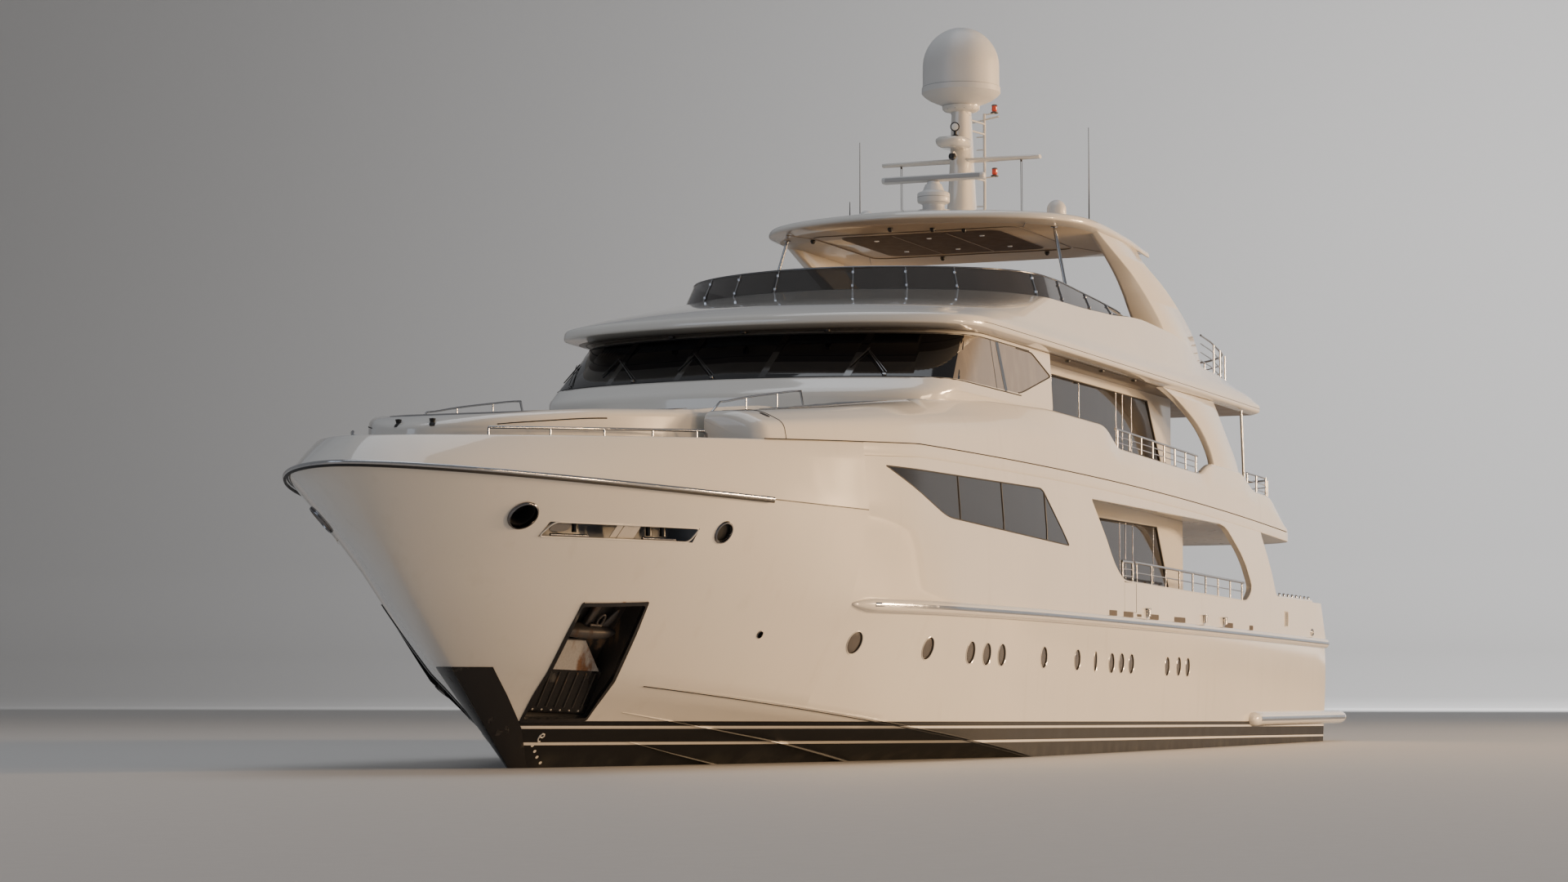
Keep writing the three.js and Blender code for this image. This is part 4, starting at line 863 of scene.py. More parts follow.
def paint_faces(
    piece: bpy.types.Object, finish: Finish, chosen: Callable[[Vector, Vector], bool]
) -> None:
    """Gives a finish to the faces whose centre and normal are chosen.

    Args:
        piece: the object.
        finish: the finish.
        chosen: the test of a face's centre and normal.
    """
    piece.data.materials.append(finish.material())
    index = len(piece.data.materials) - 1
    for polygon in piece.data.polygons:
        if chosen(polygon.center, polygon.normal):
            polygon.material_index = index


class Skin:
    """Finds points on the surface of pieces that are already made."""

    def __init__(self, *pieces: bpy.types.Object) -> None:
        """Args: pieces: the objects to feel."""
        points: list[Vector] = []
        faces: list[list[int]] = []
        for piece in pieces:
            first = len(points)
            points += [v.co.copy() for v in piece.data.vertices]
            faces += [[first + i for i in p.vertices] for p in piece.data.polygons]
        self.tree = BVHTree.FromPolygons(points, faces)

    def hit(self, start: Point, towards: Point) -> tuple[Vector, Vector]:
        """The first point of the surface on a line.

        Args:
            start: where the line starts.
            towards: its direction.

        Returns:
            The point, and the surface's normal there.
        """
        way = Vector(towards).normalized()
        point, normal, _, _ = self.tree.ray_cast(Vector(start), way)
        if point is None:
            raise ValueError(f"nothing at {tuple(start)} towards {tuple(towards)}")
        return point, (normal if normal.dot(way) < 0 else -normal)

    def side(self, x: float, z: float) -> tuple[Vector, Vector]:
        """Returns: the point and normal on the port side at x and z."""
        return self.hit((x, 9.0, z), (0, -1, 0))

    def top(self, x: float, y: float, above: float = 30.0) -> tuple[Vector, Vector]:
        """Returns: the point and normal under a height at x and y."""
        return self.hit((x, y, above), (0, 0, -1))


def seat(point: Vector, normal: Vector, ahead: Point = (1, 0, 0)) -> Matrix:
    """A frame on a surface: X ahead along it, Z out of it.

    Args:
        point: where it is.
        normal: the surface's normal.
        ahead: the direction that X follows.

    Returns:
        The matrix that carries a shape made about the origin to that place.
    """
    out = normal.normalized()
    way = Vector(ahead)
    way = (way - out * way.dot(out)).normalized()
    across = out.cross(way)
    return Matrix.Translation(point) @ Matrix((way, across, out)).transposed().to_4x4()


def oval(wide: float, high: float, count: int = 32, power: float = 2.0) -> list[Pair]:
    """Points of an oval, squarer with a higher power, as (x, y) about the origin.

    Args:
        wide: its width.
        high: its height.
        count: how many points it has.
        power: how square it is, with 2 for an ellipse.

    Returns:
        The points.
    """
    made = []
    for k in range(count):
        a = 2 * pi * k / count
        c, s = cos(a), sin(a)
        made.append(
            (wide / 2 * copysign(abs(c) ** (2 / power), c), high / 2 * copysign(abs(s) ** (2 / power), s))
        )
    return made


def rounded(
    outline: Sequence[Point], radii: Union[float, Sequence[float]], count: int = 5, closed: bool = True
) -> list[Vector]:
    """An outline with its corners rounded.

    Args:
        outline: the sharp corners, in two or three dimensions.
        radii: how far from each corner its rounding starts, or one value for all.
        count: points on each rounded corner.
        closed: whether the last corner joins the first; else both ends stay.

    Returns:
        The finer outline.
    """
    corners = [Vector(p) for p in outline]
    total = len(corners)
    made = []
    for i, corner in enumerate(corners):
        radius = radii[i] if isinstance(radii, Sequence) else radii
        if not closed and i in (0, total - 1):
            made.append(corner)
            continue
        back = corners[i - 1] - corner
        ahead = corners[(i + 1) % total] - corner
        reach = min(radius, back.length * 0.45, ahead.length * 0.45)
        start = corner + back.normalized() * reach
        end = corner + ahead.normalized() * reach
        for t in steps(0, 1, count):
            made.append(start * (1 - t) ** 2 + corner * 2 * t * (1 - t) + end * t**2)
    return made


def lerp(a: float, b: float, t: float) -> float:
    """The value a share t of the way from a to b."""
    return a + (b - a) * t


def steps(start: float, end: float, count: int) -> list[float]:
    """Evenly spaced values from start to end."""
    return [lerp(start, end, i / (count - 1)) for i in range(count)]


def along(table: Sequence[Pair], x: float) -> float:
    """The value at x of a table in rising order, linear between its rows.

    Args:
        table: pairs of x and value.
        x: where to read it.

    Returns:
        The value.
    """
    if x <= table[0][0]:
        return table[0][1]
    for (x0, v0), (x1, v1) in zip(table, table[1:]):
        if x <= x1:
            return lerp(v0, v1, (x - x0) / (x1 - x0))
    return table[-1][1]


def eased(table: Sequence[Pair], x: float, width: float = 0.35) -> float:
    """The same, with the corners between rows smoothed over twice a width."""
    return sum(along(table, x + width * k / 3) for k in range(-3, 4)) / 7


# The yacht's lines


def clamp01(v: float) -> float:
    """A value held between 0 and 1."""
    return min(1.0, max(0.0, v))


# X of the stern and of the bow's aft end, the main deck's height, and three thicknesses
STERN = -18.9
BREAK = 9.95
MAIN_DECK = 2.25
SLAB = 0.2
WALL = 0.12
BULWARK = 0.14
KEEL = (
    (-18.9, -0.56), (-16.0, -0.76), (-12.0, -1.33), (-6.0, -1.9), (3.0, -1.98), (8.0, -1.85),
    (11.0, -1.48), (12.2, -1.08), (12.9, -0.8)
)


def taper(x: float) -> float:
    """How far the sides draw in towards the stern."""
    return 1 - 0.085 * clamp01((4.0 - x) / 22.9) ** 2


@dataclass(frozen=True)
class Line:
    """A line round the bow, seen from above: a rounded nose, then long sides.

    Attributes:
        stem: x of its foremost point.
        run: its length from there to the full half-beam.
        beam: the half-beam.
        full: how fast it fills out, and blunt how round its nose is.
    """

    stem: float
    run: float
    beam: float
    full: float = 2.0
    blunt: float = 1.6

    def half(self, x: float) -> float:
        """The half-beam at x."""
        s = clamp01((self.stem - x) / self.run)
        return self.beam * taper(x) * (1 - (1 - s) ** self.full) ** (1 / self.blunt)

    def from_stem(self, stem: float) -> "Line":
        """The same line started at another stem point."""
        return Line(stem, self.run, self.beam, self.full, self.blunt)

    def inside(self, by: float) -> "Line":
        """The line moved inboard."""
        return Line(self.stem - 2 * by, self.run, self.beam - by, self.full, self.blunt)


CHINE = Line(15.7, 12.5, 3.72, 1.8, 1.3)
KNUCKLE = Line(17.37, 10.5, 3.88, 1.5, 1.4)
RAIL = Line(18.77, 10.7, 3.88, 1.547, 1.746)
CAP = Line(18.28, 10.2, 3.8, 1.637, 1.507)


def keel_z(x: float) -> float:
    """Height of the keel."""
    return eased(KEEL, x, 0.6)


def chine_z(x: float) -> float:
    """Height of the chine."""
    aft = CHINE.stem - x
    return max(-0.35, 1.39 - 0.098 * aft - 0.0006 * aft * aft)


def knuckle_z(x: float) -> float:
    """Height of the knuckle."""
    return 2.75 - 0.45 * clamp01((KNUCKLE.stem - x) / 7.4)


def rail_z(x: float) -> float:
    """Height of the bow rub rail."""
    return 3.654 + 0.232 * (1 - clamp01((RAIL.stem - x) / RAIL.run)) ** 2.125


def cap_z(x: float) -> float:
    """Height of the bulwark's cap forward and of the upper deck aft.

    Args:
        x: where it is along the yacht.

    Returns:
        The height.
    """
    if x > 8.08:
        return 4.74 - 0.474 * (1 - clamp01((CAP.stem - x) / CAP.run)) ** 0.965
    return 4.78 - 0.00108 * (x - 2) ** 2


def transom_x(z: float) -> float:
    """The transom's x at a height."""
    return STERN + 1.09 * max(0.0, (z - 0.6) / 2.43) ** 3


def side_y(x: float, z: float) -> float:
    """Half-beam of the side at a height between the chine and the cap.

    Args:
        x: where it is along the yacht.
        z: its height.

    Returns:
        The half-beam.
    """
    heights = (chine_z(x), knuckle_z(x), rail_z(x), cap_z(x))
    beams = [line.half(x) for line in (CHINE, KNUCKLE, RAIL, CAP)]
    i = 1 if z <= heights[1] else 2 if z <= heights[2] else 3
    return lerp(beams[i - 1], beams[i], (z - heights[i - 1]) / (heights[i] - heights[i - 1]))


def deck_edge(x: float) -> float:
    """Half-beam of the upper deck."""
    return CAP.half(x) - (((-15.3 - x) / 0.6) ** 2 * 0.7 if x < -15.3 else 0.0)


# Forms

Row = Callable[[float], Vector]
Height = Union[float, Callable[[float], float]]


def row(line: Line, end: float, z: Height) -> Row:
    """A row of a form, from its nose at share 0 to its aft end at share 1.

    Args:
        line: its line in plan.
        end: x of its aft end.
        z: its height, or a function of x.

    Returns:
        The row.
    """

    def at(share: float) -> Vector:
        """The row's point at a share."""
        x = lerp(line.stem, end, share)
        return Vector((x, line.half(x) if share else 0.0, z(x) if callable(z) else z))

    return at


def nose_shares(count: int, power: float = 2.2) -> list[float]:
    """Shares that lie closer towards the nose."""
    return [(i / count) ** power for i in range(count + 1)]


def flip(points: Iterable[Vector]) -> list[Vector]:
    """Points mirrored to starboard."""
    return [Vector((p.x, -p.y, p.z)) for p in points]


def nose_form(rows: Sequence[Row], radii: Union[float, Sequence[float]], count: int = 64) -> Shape:
    """A closed form with a rounded nose and soft edges.

    Args:
        rows: its rows from the lowest to the highest.
        radii: how far each row's edge is rounded.
        count: how many columns it has.

    Returns:
        The form.
    """
    rings = []
    for share in nose_shares(count):
        port = rounded([r(share) for r in rows], radii, closed=False)
        rings.append(port + flip(reversed(port)))
    return Shape().loft(rings, start=False)


def round_bow(section: Callable[[float], list[Vector]], shares: Sequence[float]) -> Shape:
    """A closed section drawn round the bow, from its port end to its starboard end."""
    port = [section(s) for s in reversed(shares)]
    return Shape().loft(port + [flip(section(s)) for s in shares[1:]])


def side_prism(outline: Iterable[Pair], y0: float, y1: float) -> Shape:
    """A prism from an outline of x and z, between two values of y."""
    return Shape().prism([(x, y0, z) for x, z in outline], (0, y1 - y0, 0))


def plan_prism(outline: Iterable[Pair], z0: float, z1: float) -> Shape:
    """A prism from an outline of x and y, between two heights."""
    return Shape().prism([(x, y, z0) for x, y in outline], (0, 0, z1 - z0))


def spline(rows: Sequence[Point], count: int) -> list[list[float]]:
    """A smooth run of values through rows of a table.

    Args:
        rows: the table's rows.
        count: how many rows the result has between two of the table's.

    Returns:
        The finer table.
    """
    made = []
    last = len(rows) - 1
    for i in range(last):
        a, b, c, d = (rows[max(0, min(last, j))] for j in (i - 1, i, i + 1, i + 2))
        for k in range(count):
            t = k / count
            made.append(
                [
                    q + 0.5 * t * (r - p + t * (2 * p - 5 * q + 4 * r - s + t * (3 * (q - r) + s - p)))
                    for p, q, r, s in zip(a, b, c, d)
                ]
            )
    made.append(list(rows[-1]))
    return made


# Hull

POCKET_AT = Vector((14.03, 1.23, 1.45))
# Each porthole's x, height and width
PORTHOLES = (
    (9.439, 1.759, 0.36), (7.336, 1.702, 0.35), (5.682, 1.659, 0.35), (4.983, 1.642, 0.35),
    (4.306, 1.637, 0.35), (2.193, 1.62, 0.34), (0.365, 1.599, 0.34), (-0.676, 1.581, 0.19),
    (-1.652, 1.562, 0.34), (-2.26, 1.567, 0.34), (-2.881, 1.559, 0.34), (-5.272, 1.535, 0.32),
    (-6.075, 1.542, 0.32), (-6.721, 1.532, 0.32)
)
BOW_LIGHT = (13.221, 3.205)
BOW_DRAIN = (11.587, 1.846)


def pocket_frame() -> Matrix:
    """The port anchor pocket's own axes: X across it, Y out of it, Z up its long side.

    Returns:
        The axes as a matrix.
    """
    ahead = Vector((0.89, -0.57, 0.04)).normalized()
    out = Vector((0.62, 1.13, 1.48)).normalized().cross(ahead).normalized()
    up = ahead.cross(out) - ahead * 0.088
    return Matrix.Translation(POCKET_AT + ahead * 0.085) @ Matrix((ahead, out, up)).transposed().to_4x4()


# X where the stem's line meets the water, and how far it runs ahead for each metre of height
STEM_FOOT = 14.0
STEM_RAKE = 1.226
SHAFT_SLOPE = 0.34 / 3.9
BLADES = 5
# Radius, chord and pitch angle along a blade
BLADE_LEVELS = (
    (0.06, 0.13, 1.1), (0.25, 0.22, 0.85), (0.43, 0.23, 0.6), (0.515, 0.15, 0.53), (0.54, 0.06, 0.5)
)
# Height, reach ahead and aft of the stock, and half thickness
RUDDER_LEVELS = ((-0.835, 0.33, 0.62, 0.062), (-1.8, 0.24, 0.49, 0.036), (-1.85, 0.21, 0.44, 0.026))


@dataclass
class Hull:
    """The hull with its pockets, openings and under-water gear.

    Attributes:
        stems: x of each row's stem point, from the keel to the rail.
        fine: how many rows come between each pair of the section's lines.
        shaft_y: how far out each shaft is.
        stock_x: where the rudders' stocks are.
        hawse: centre of the port hawse hole, and hawse_out its direction.
    """

    stems: tuple[float, ...] = (12.9, 14.19, 15.7, 16.53, 17.37, 18.09, 18.77)
    fine: tuple[int, ...] = (9, 7, 8)
    shaft_y: float = 1.55
    stock_x: float = -17.5
    hawse: Vector = field(default_factory=lambda: Vector((16.5, 1.43, 3.33)))
    hawse_out: Vector = field(default_factory=lambda: Vector((0.62, 0.72, -0.31)).normalized())

    def forward_section(self, share: float) -> list[Vector]:
        """The seven points of a section forward of the break.

        Args:
            share: share of the run from the stem.

        Returns:
            The points.
        """
        xs = [lerp(stem, BREAK, share) for stem in self.stems]
        middles = []
        for i, low, high, low_z, high_z in (
            (3, CHINE, KNUCKLE, chine_z, knuckle_z), (5, KNUCKLE, RAIL, knuckle_z, rail_z)
        ):
            stem = self.stems[i]
            start = (stem - STEM_FOOT) / STEM_RAKE
            end = (low_z(BREAK) + high_z(BREAK)) / 2
            y = (low.from_stem(stem).half(xs[i]) + high.from_stem(stem).half(xs[i])) / 2
            middles.append((y, lerp(start, end, clamp01((stem - xs[i]) / (stem - BREAK)))))
        turn = CHINE.from_stem(self.stems[1]).half(xs[1])
        turn = 0.55 * lerp(turn, CHINE.half(xs[1]), share**3)
        low = lerp(0.155, self.bottom_z(BREAK), share)
        pairs = (
            (0.0, keel_z(xs[0])), (turn, low), (CHINE.half(xs[2]), chine_z(xs[2])), middles[0],
            (KNUCKLE.half(xs[4]), knuckle_z(xs[4])), middles[1], (RAIL.half(xs[6]), rail_z(xs[6]))
        )
        return [Vector((x, y if share else 0.0, z)) for x, (y, z) in zip(xs, pairs)]

    @staticmethod
    def bottom_z(x: float) -> float:
        """Height of the bottom halfway out."""
        return lerp(keel_z(x), chine_z(x), 0.62)

    def aft_section(self, x: float, stern: bool = False) -> list[Vector]:
        """The seven points of a section aft of the break, or on the transom.

        Args:
            x: where it is along the yacht.
            stern: whether it lies on the transom.

        Returns:
            The points.
        """
        heights = [keel_z(x), self.bottom_z(x)]
        heights += [lerp(chine_z(x), MAIN_DECK, s) for s in (0, 0.25, 0.5, 0.8, 1)]
        beams = [0.0, 0.55 * CHINE.half(x), *(side_y(x, z) for z in heights[2:])]
        return [Vector((transom_x(z) if stern else x, y, z)) for y, z in zip(beams, heights)]

    def ring(self, points: Sequence[Vector]) -> list[Vector]:
        """A whole section through its seven points, both sides.

        Args:
            points: the seven points.

        Returns:
            The points of the section.
        """
        port: list[Vector] = []
        for n, (a, b, c) in zip(self.fine, (points[0:3], points[2:5], points[4:7])):
            for k in range(n):
                t = k / n
                port.append(a * (2 * t - 1) * (t - 1) + b * 4 * t * (1 - t) + c * t * (2 * t - 1))
        port.append(points[6])
        return port + flip(reversed(port))

    def form(self) -> Shape:
        """The closed hull.

        Returns:
            The shape.
        """
        rings = [self.ring(self.forward_section(s)) for s in nose_shares(56, 1.9)]
        rings += [self.ring(self.aft_section(x)) for x in steps(BREAK - 0.0001, -18.4, 72)]
        rings.append(self.ring(self.aft_section(STERN, stern=True)))
        made = Shape().loft(rings, start=False, end=False)
        count = len(rings[0])
        base = len(made.points) - count
        made.faces += [
            (base + k, base + k + 1, base + count - 2 - k, base + count - 1 - k)
            for k in range(count // 2 - 1)
        ]
        return made

    def build(self) -> Skin:
        """Makes the hull and its gear.

        Returns:
            The hull's skin without its openings.
        """
        hull = self.form().object("hull_shell", HULL_PAINT, replaces=("hull",))
        skin = Skin(hull)
        self.openings(hull, skin)
        paint_faces(hull, TEAK, lambda p, n: n.z > 0.95 and p.x < BREAK and p.z > 2.0)
        paint_faces(hull, DECK_GRIP, lambda p, n: n.z > 0.9 and p.x > BREAK and p.z > 3.5)
        for side in BOTH:
            self.bracket(side)
            self.propeller(side)
            self.rudder(side)
            self.portholes(side, skin)
            self.hawse_pipe(side, skin)
            self.mooring_slot(side, skin)
            self.strakes(side, skin)
            self.draft_marks(side, skin)
        return skin

    def openings(self, hull: bpy.types.Object, skin: Skin) -> None:
        """Cuts the pockets, the hawse holes, the mooring slots and the portholes.

        Args:
            hull: the hull's object.
            skin: the hull's outer surface.
        """
        frame = pocket_frame()
        outline = rounded(frame_of(1.06, 1.94), 0.05)
        pocket = Shape().prism([(x, -0.42, z) for x, z in outline], (0, 0.9, 0)).placed(frame)
        carve(hull, both_sides(pocket), PLATE)
        hole = Shape().turned(((0, -0.38), (0.19, -0.38), (0.19, 0.4), (0, 0.4)), self.hawse, self.hawse_out)
        rings = []
        for x in steps(16.12, 13.7, 14):
            y = skin.side(x, 3.145)[0].y
            rings.append([(x, y - 0.42, 3.05), (x, y + 0.3, 3.05), (x, y + 0.3, 3.24), (x, y - 0.42, 3.24)])
        slot = Shape().loft(rings)
        # The faces cut for the hawse holes are painted near-black as the shade inside them.
        carve(hull, both_sides(hole), DARK)
        # The slot's cut faces get the blue-grey of painted skylight and shade.
        carve(hull, both_sides(slot), SLOT_BACK)
        ports = Shape()
        discs = [(x, z, width, 0.35, 0.03) for x, z, width in PORTHOLES]
        for x, z, wide, high, deep in (
            *discs, (*BOW_LIGHT, 0.26, 0.26, 0.05), (*BOW_DRAIN, 0.09, 0.09, 0.04)
        ):
            disc = [(px, py, -deep) for px, py in oval(wide, high, 28)]
            ports.join(Shape().prism(disc, (0, 0, 0.3)).placed(seat(*skin.side(x, z))))
        # The faces cut for the portholes, the bow light and the drain are painted near-black as shade.
        carve(hull, both_sides(ports), DARK)

    def shaft(self, x: float) -> Vector:
        """The port shaft's centre at x."""
        return Vector((x, self.shaft_y, -1.06 + (x + 12.4) * SHAFT_SLOPE))

    def bracket(self, side: Side) -> None:
        """The tube and bracket of a shaft, and the collar of the rudder's stock.

        Args:
            side: the side that it is on.
        """
        y, low = self.shaft_y, self.shaft(-15.5).z
        tube = Shape().tube([self.shaft(-10.0), self.shaft(-13.2)], 0.094, 24)
        tube.tube([self.shaft(-15.35), self.shaft(-15.65)], 0.094, 24)
        arm = [(-15.39, 0.018), (-15.61, 0.018), (-15.61, -0.018), (-15.39, -0.018)]
        tube.loft([[(x, y + b, low) for x, b in arm], [(x, y + b * 1.2, -0.36) for x, b in arm]])
        tube.turned([(0, 0), (0.11, 0), (0.11, 0.48), (0, 0.48)], (self.stock_x, y, -0.78))
        tube.on(side, "shaft_bracket", HULL_PAINT, bevel=0.006)

    def propeller(self, side: Side) -> None:
        """The propeller with the end of its shaft.

        Args:
            side: the side that it is on.
        """
        hub = self.shaft(-16.3)
        lean = Matrix.Rotation(-atan(SHAFT_SLOPE), 4, "Y")
        wheel = Shape().tube([self.shaft(-13.08), hub], 0.0448, 20)
        profile = [(0, 0.16), (0.085, 0.155), (0.104, 0.1), (0.104, -0.1), (0.075, -0.17), (0, -0.19)]
        wheel.turned(profile, hub, lean @ Vector((1, 0, 0)), 28)
        rings = [self.blade_ring(*level) for level in spline(BLADE_LEVELS, 4)]
        for k in range(BLADES):
            turn = Matrix.Rotation(2 * pi * k / BLADES, 4, "X")
            wheel.join(Shape().loft(rings).placed(Matrix.Translation(hub) @ lean @ turn))
        wheel.on(side, "propeller_wheel", BRONZE, body="propeller", replaces="propeller")

    @staticmethod
    def blade_ring(radius: float, chord: float, pitch: float) -> list[Vector]:
        """A section of a propeller's blade.

        Args:
            radius: how far from the shaft it is.
            chord: how wide the blade is there.
            pitch: the blade's angle there.

        Returns:
            The points.
        """
        skew = -0.12 * (radius / 0.54) ** 2
        ring = []
        for a in steps(0, 2 * pi, 13)[:-1]:
            c, t = chord / 2 * cos(a), 0.009 * sin(a)
            x = c * sin(pitch) - t * cos(pitch)
            ring.append(Vector((x, c * cos(pitch) + t * sin(pitch) + skew * radius, radius)))
        return ring

    def rudder(self, side: Side) -> None:
        """The rudder on its stock.

        Args:
            side: the side that it is on.
        """
        stock, y = self.stock_x, self.shaft_y
        made = Shape().tube([(stock, y, -0.9), (stock, y, -0.421)], 0.06, 24)
        rings = []
        for z, fore, aft, half in RUDDER_LEVELS:
            ring = []
            for a in steps(0, 2 * pi, 25)[:-1]:
                c = cos(a)
                reach, thin = (fore, 1.0) if c > 0 else (aft, 1 - 0.5 * c * c)
                ring.append((stock + reach * c, y + half * sin(a) * thin, z))
            rings.append(ring)
        made.loft(rings).on(side, "rudder_blade", BRONZE, body="rudder", replaces="rudder")

    def portholes(self, side: Side, skin: Skin) -> None:
        """The dark panes in their recesses, with a fine rim round each.

        Args:
            side: the side that it is on.
            skin: the hull's outer surface.
        """
        rims, panes = Shape(), Shape()
        for x, z, width in PORTHOLES:
            frame = seat(*skin.side(x, z))
            grown = oval(width + 0.012, 0.362, 40)
            rims.join(Shape().tube([(px, py, 0.001) for px, py in grown], 0.009, 8, loop=True).placed(frame))
            rings = [
                [(px, py, h) for px, py in oval(width * s, 0.35 * s, 40)]
                for s, h in ((1, -0.026), (1, -0.02), (0.94, -0.013), (0.6, -0.01))
            ]
            panes.join(Shape().loft(rings).placed(frame))
        rims.on(side, "porthole_rims", PAINT)
        panes.on(side, "porthole_panes", PORT_GLASS)
        steel = Shape()
        frame = seat(*skin.side(*BOW_LIGHT))
        ring = ((0.13, -0.04), (0.15, -0.02), (0.17, 0.0), (0.16, 0.02), (0.14, 0.024), (0.13, 0.0))
        steel.join(ring_of(ring, 41).placed(frame))
        pane = Shape().turned(
            ((0, -0.046), (0.128, -0.046), (0.128, -0.04), (0.06, -0.032), (0, -0.03)), (0, 0, 0)
        )
        pane.placed(frame).on(side, "bow_light_pane", DARK)
        drain = ring_of(((0.045, -0.03), (0.06, 0.0), (0.06, 0.008), (0.05, 0.012), (0.045, 0.0)), 25)
        steel.join(drain.placed(seat(*skin.side(*BOW_DRAIN))))
        steel.on(side, "bow_light_ring", CHROME_DARK_REFLECTION)

    def hawse_pipe(self, side: Side, skin: Skin) -> None:
        """The polished lip of the hawse hole, and a dark cup in it that paints the hole's shade.

        Args:
            side: the side that it is on.
            skin: the hull's outer surface.
        """
        point, normal = skin.hit(self.hawse + self.hawse_out, -self.hawse_out)
        frame = seat(point, normal)
        section = (
            (0.186, -0.06), (0.205, -0.02), (0.222, 0.006), (0.214, 0.032), (0.196, 0.036), (0.186, 0.01)
        )
        lip = ring_of(section, 49).placed(frame)
        # The lip's dark chrome is a painted dark reflection.
        lip.on(side, "hawse_lip", CHROME_DARK_REFLECTION, smooth=70)
        cup = ((0, -0.3), (0.183, -0.3), (0.183, -0.03), (0.172, -0.03), (0.172, -0.25), (0, -0.25))
        # A dark cup deep in the hawse hole paints the shade there.
        liner = Shape().turned(cup, (0, 0, 0)).placed(frame)
        liner.on(side, "hawse_hole_shade", DARK)

    def mooring_slot(self, side: Side, skin: Skin) -> None:
        """The rim, divider, rollers and posts of the long slot in the bow.

        Args:
            side: the side that it is on.
            skin: the hull's outer surface.
        """

        def at(x: float, z: float, out: float) -> Vector:
            """A point at a distance out from the side."""
            point, normal = skin.side(x, z)
            return point + normal * out

        def slab(x0: float, x1: float, z0: float, z1: float, depth: float) -> Shape:
            """A thin sheet that follows the side at a depth."""
            corners = ((0, z0), (0, z1), (-0.01, z1), (-0.01, z0))
            return Shape().loft([[at(x, z, depth + d) for d, z in corners] for x in steps(x0, x1, 6)])

        corners = rounded([(16.12, 3.05), (16.06, 3.24), (13.7, 3.24), (13.78, 3.05)], 0.07, 6)
        rim = Shape().tube([at(x, z, 0.002) for x, z in edge_run(corners, 0.2)], 0.012, 8, loop=True)
        rim.on(side, "slot_rim", PAINT)
        steel, dark = Shape(), Shape()
        for x0, x1 in ((15.96, 15.42), (14.57, 14.01)):
            steel.tube([at(x, 3.068, -0.02) for x in steps(x0, x1, 8)], 0.021, 12)
            for x in (x0 - 0.2, x1 + 0.12):
                foot = at(x, 3.05, -0.13)
                dark.tube([foot, foot + Vector((0, 0, 0.19))], 0.042, 16)
                dark.turned(((0, 0), (0.062, 0), (0.062, 0.02), (0, 0.03)), foot + Vector((0, 0, 0.12)))
        # The rollers' dark chrome is a painted dark reflection.
        steel.on(side, "slot_rollers", CHROME_DARK_REFLECTION)
        dark.on(side, "slot_posts", BLACK_ARM)
        # The back of the slot in the same painted blue-grey shade.
        slab(16.0, 13.85, 3.055, 3.235, -0.38).on(side, "slot_back", SLOT_BACK)
        divider = slab(15.08, 14.98, 3.052, 3.238, -0.03).join(slab(14.965, 14.7, 3.052, 3.238, -0.03))
        # The divider deep in the slot is darkened the same way, as painted shade.
        divider.on(side, "slot_divider", SOFFIT)
        plug = [at(15.9 + a, 3.16 + b, -0.02) for a, b in oval(0.26, 0.1, 24, 3)]
        cover = Shape().prism(plug, (-0.01, -0.02, 0))
        cover.on(side, "slot_cover", GREY_GRIP)

    def strakes(self, side: Side, skin: Skin) -> None:
        """The spray strakes along the bottom of the bow, the lip on the chine, and a dark line under the lip
        that paints its shadow.

        Args:
            side: the side that it is on.
            skin: the hull's outer surface.
        """
        long = ((5.0, -0.4), (7.062, -0.054), (9.469, 0.297), (11.545, 0.574), (12.95, 0.76))
        short = ((8.6, -0.3), (10.164, -0.03), (11.331, 0.165), (12.4, 0.356))
        lip = tuple((x, chine_z(x) + 0.012) for x in steps(2.2, 13.1, 30))
        strake = Shape()
        for table, high in ((long, 0.042), (short, 0.036), (lip, 0.019)):
            rings = []
            for t in steps(0, 1, 44):
                x = lerp(table[-1][0], table[0][0], t)
                point, normal = skin.side(x, along(table, x))
                grow = high * min(1.0, 0.15 + 1.3 * t, 8 * (1 - t) + 0.1)
                out = Vector((normal.x, normal.y, 0)).normalized()
                section = ((-0.05, -0.6), (1.6, -0.55), (1.6, 0.1), (-0.05, 1.6))
                rings.append(
                    [
                        point + out * (a * grow if a > 0 else a) + Vector((0, 0, b * grow))
                        for a, b in section
                    ]
                )
            strake.loft(rings)
        strake.on(side, "spray_strakes", HULL_PAINT, smooth=30)
        # A dark tube just under the chine lip that paints the lip's shadow.
        joint = [skin.side(x, z - 0.026)[0] for x, z in lip]
        Shape().tube(joint, 0.01, 6).on(side, "chine_painted_shadow", RUBBER_AND_SHADOW_LINES)

    @staticmethod
    def draft_marks(side: Side, skin: Skin) -> None:
        """A figure and four dots of the draft scale near the stem.

        Args:
            side: the side that it is on.
            skin: the hull's outer surface.
        """
        figure = (
            (0.03, 0.05), (0.005, 0.058), (-0.022, 0.03), (-0.03, -0.02), (-0.012, -0.052),
            (0.015, -0.052)
        )
        figure = (*figure, (0.03, -0.03), (0.018, -0.004), (-0.01, -0.002), (-0.028, -0.02))
        frame = seat(*skin.side(13.869, 0.421))
        marks = Shape().tube([(-a * 1.2, b * 1.2, 0.001) for a, b in figure], 0.01, 6).placed(frame)
        for x, z in ((13.9, 0.31), (13.8, 0.23), (13.7, 0.15), (13.58, 0.07)):
            dot = Shape().prism([(a, b, -0.001) for a, b in oval(0.05, 0.05, 12)], (0, 0, 0.003))
            marks.join(dot.placed(seat(*skin.side(x, z))))
        marks.on(side, "draft_marks", PAINT)


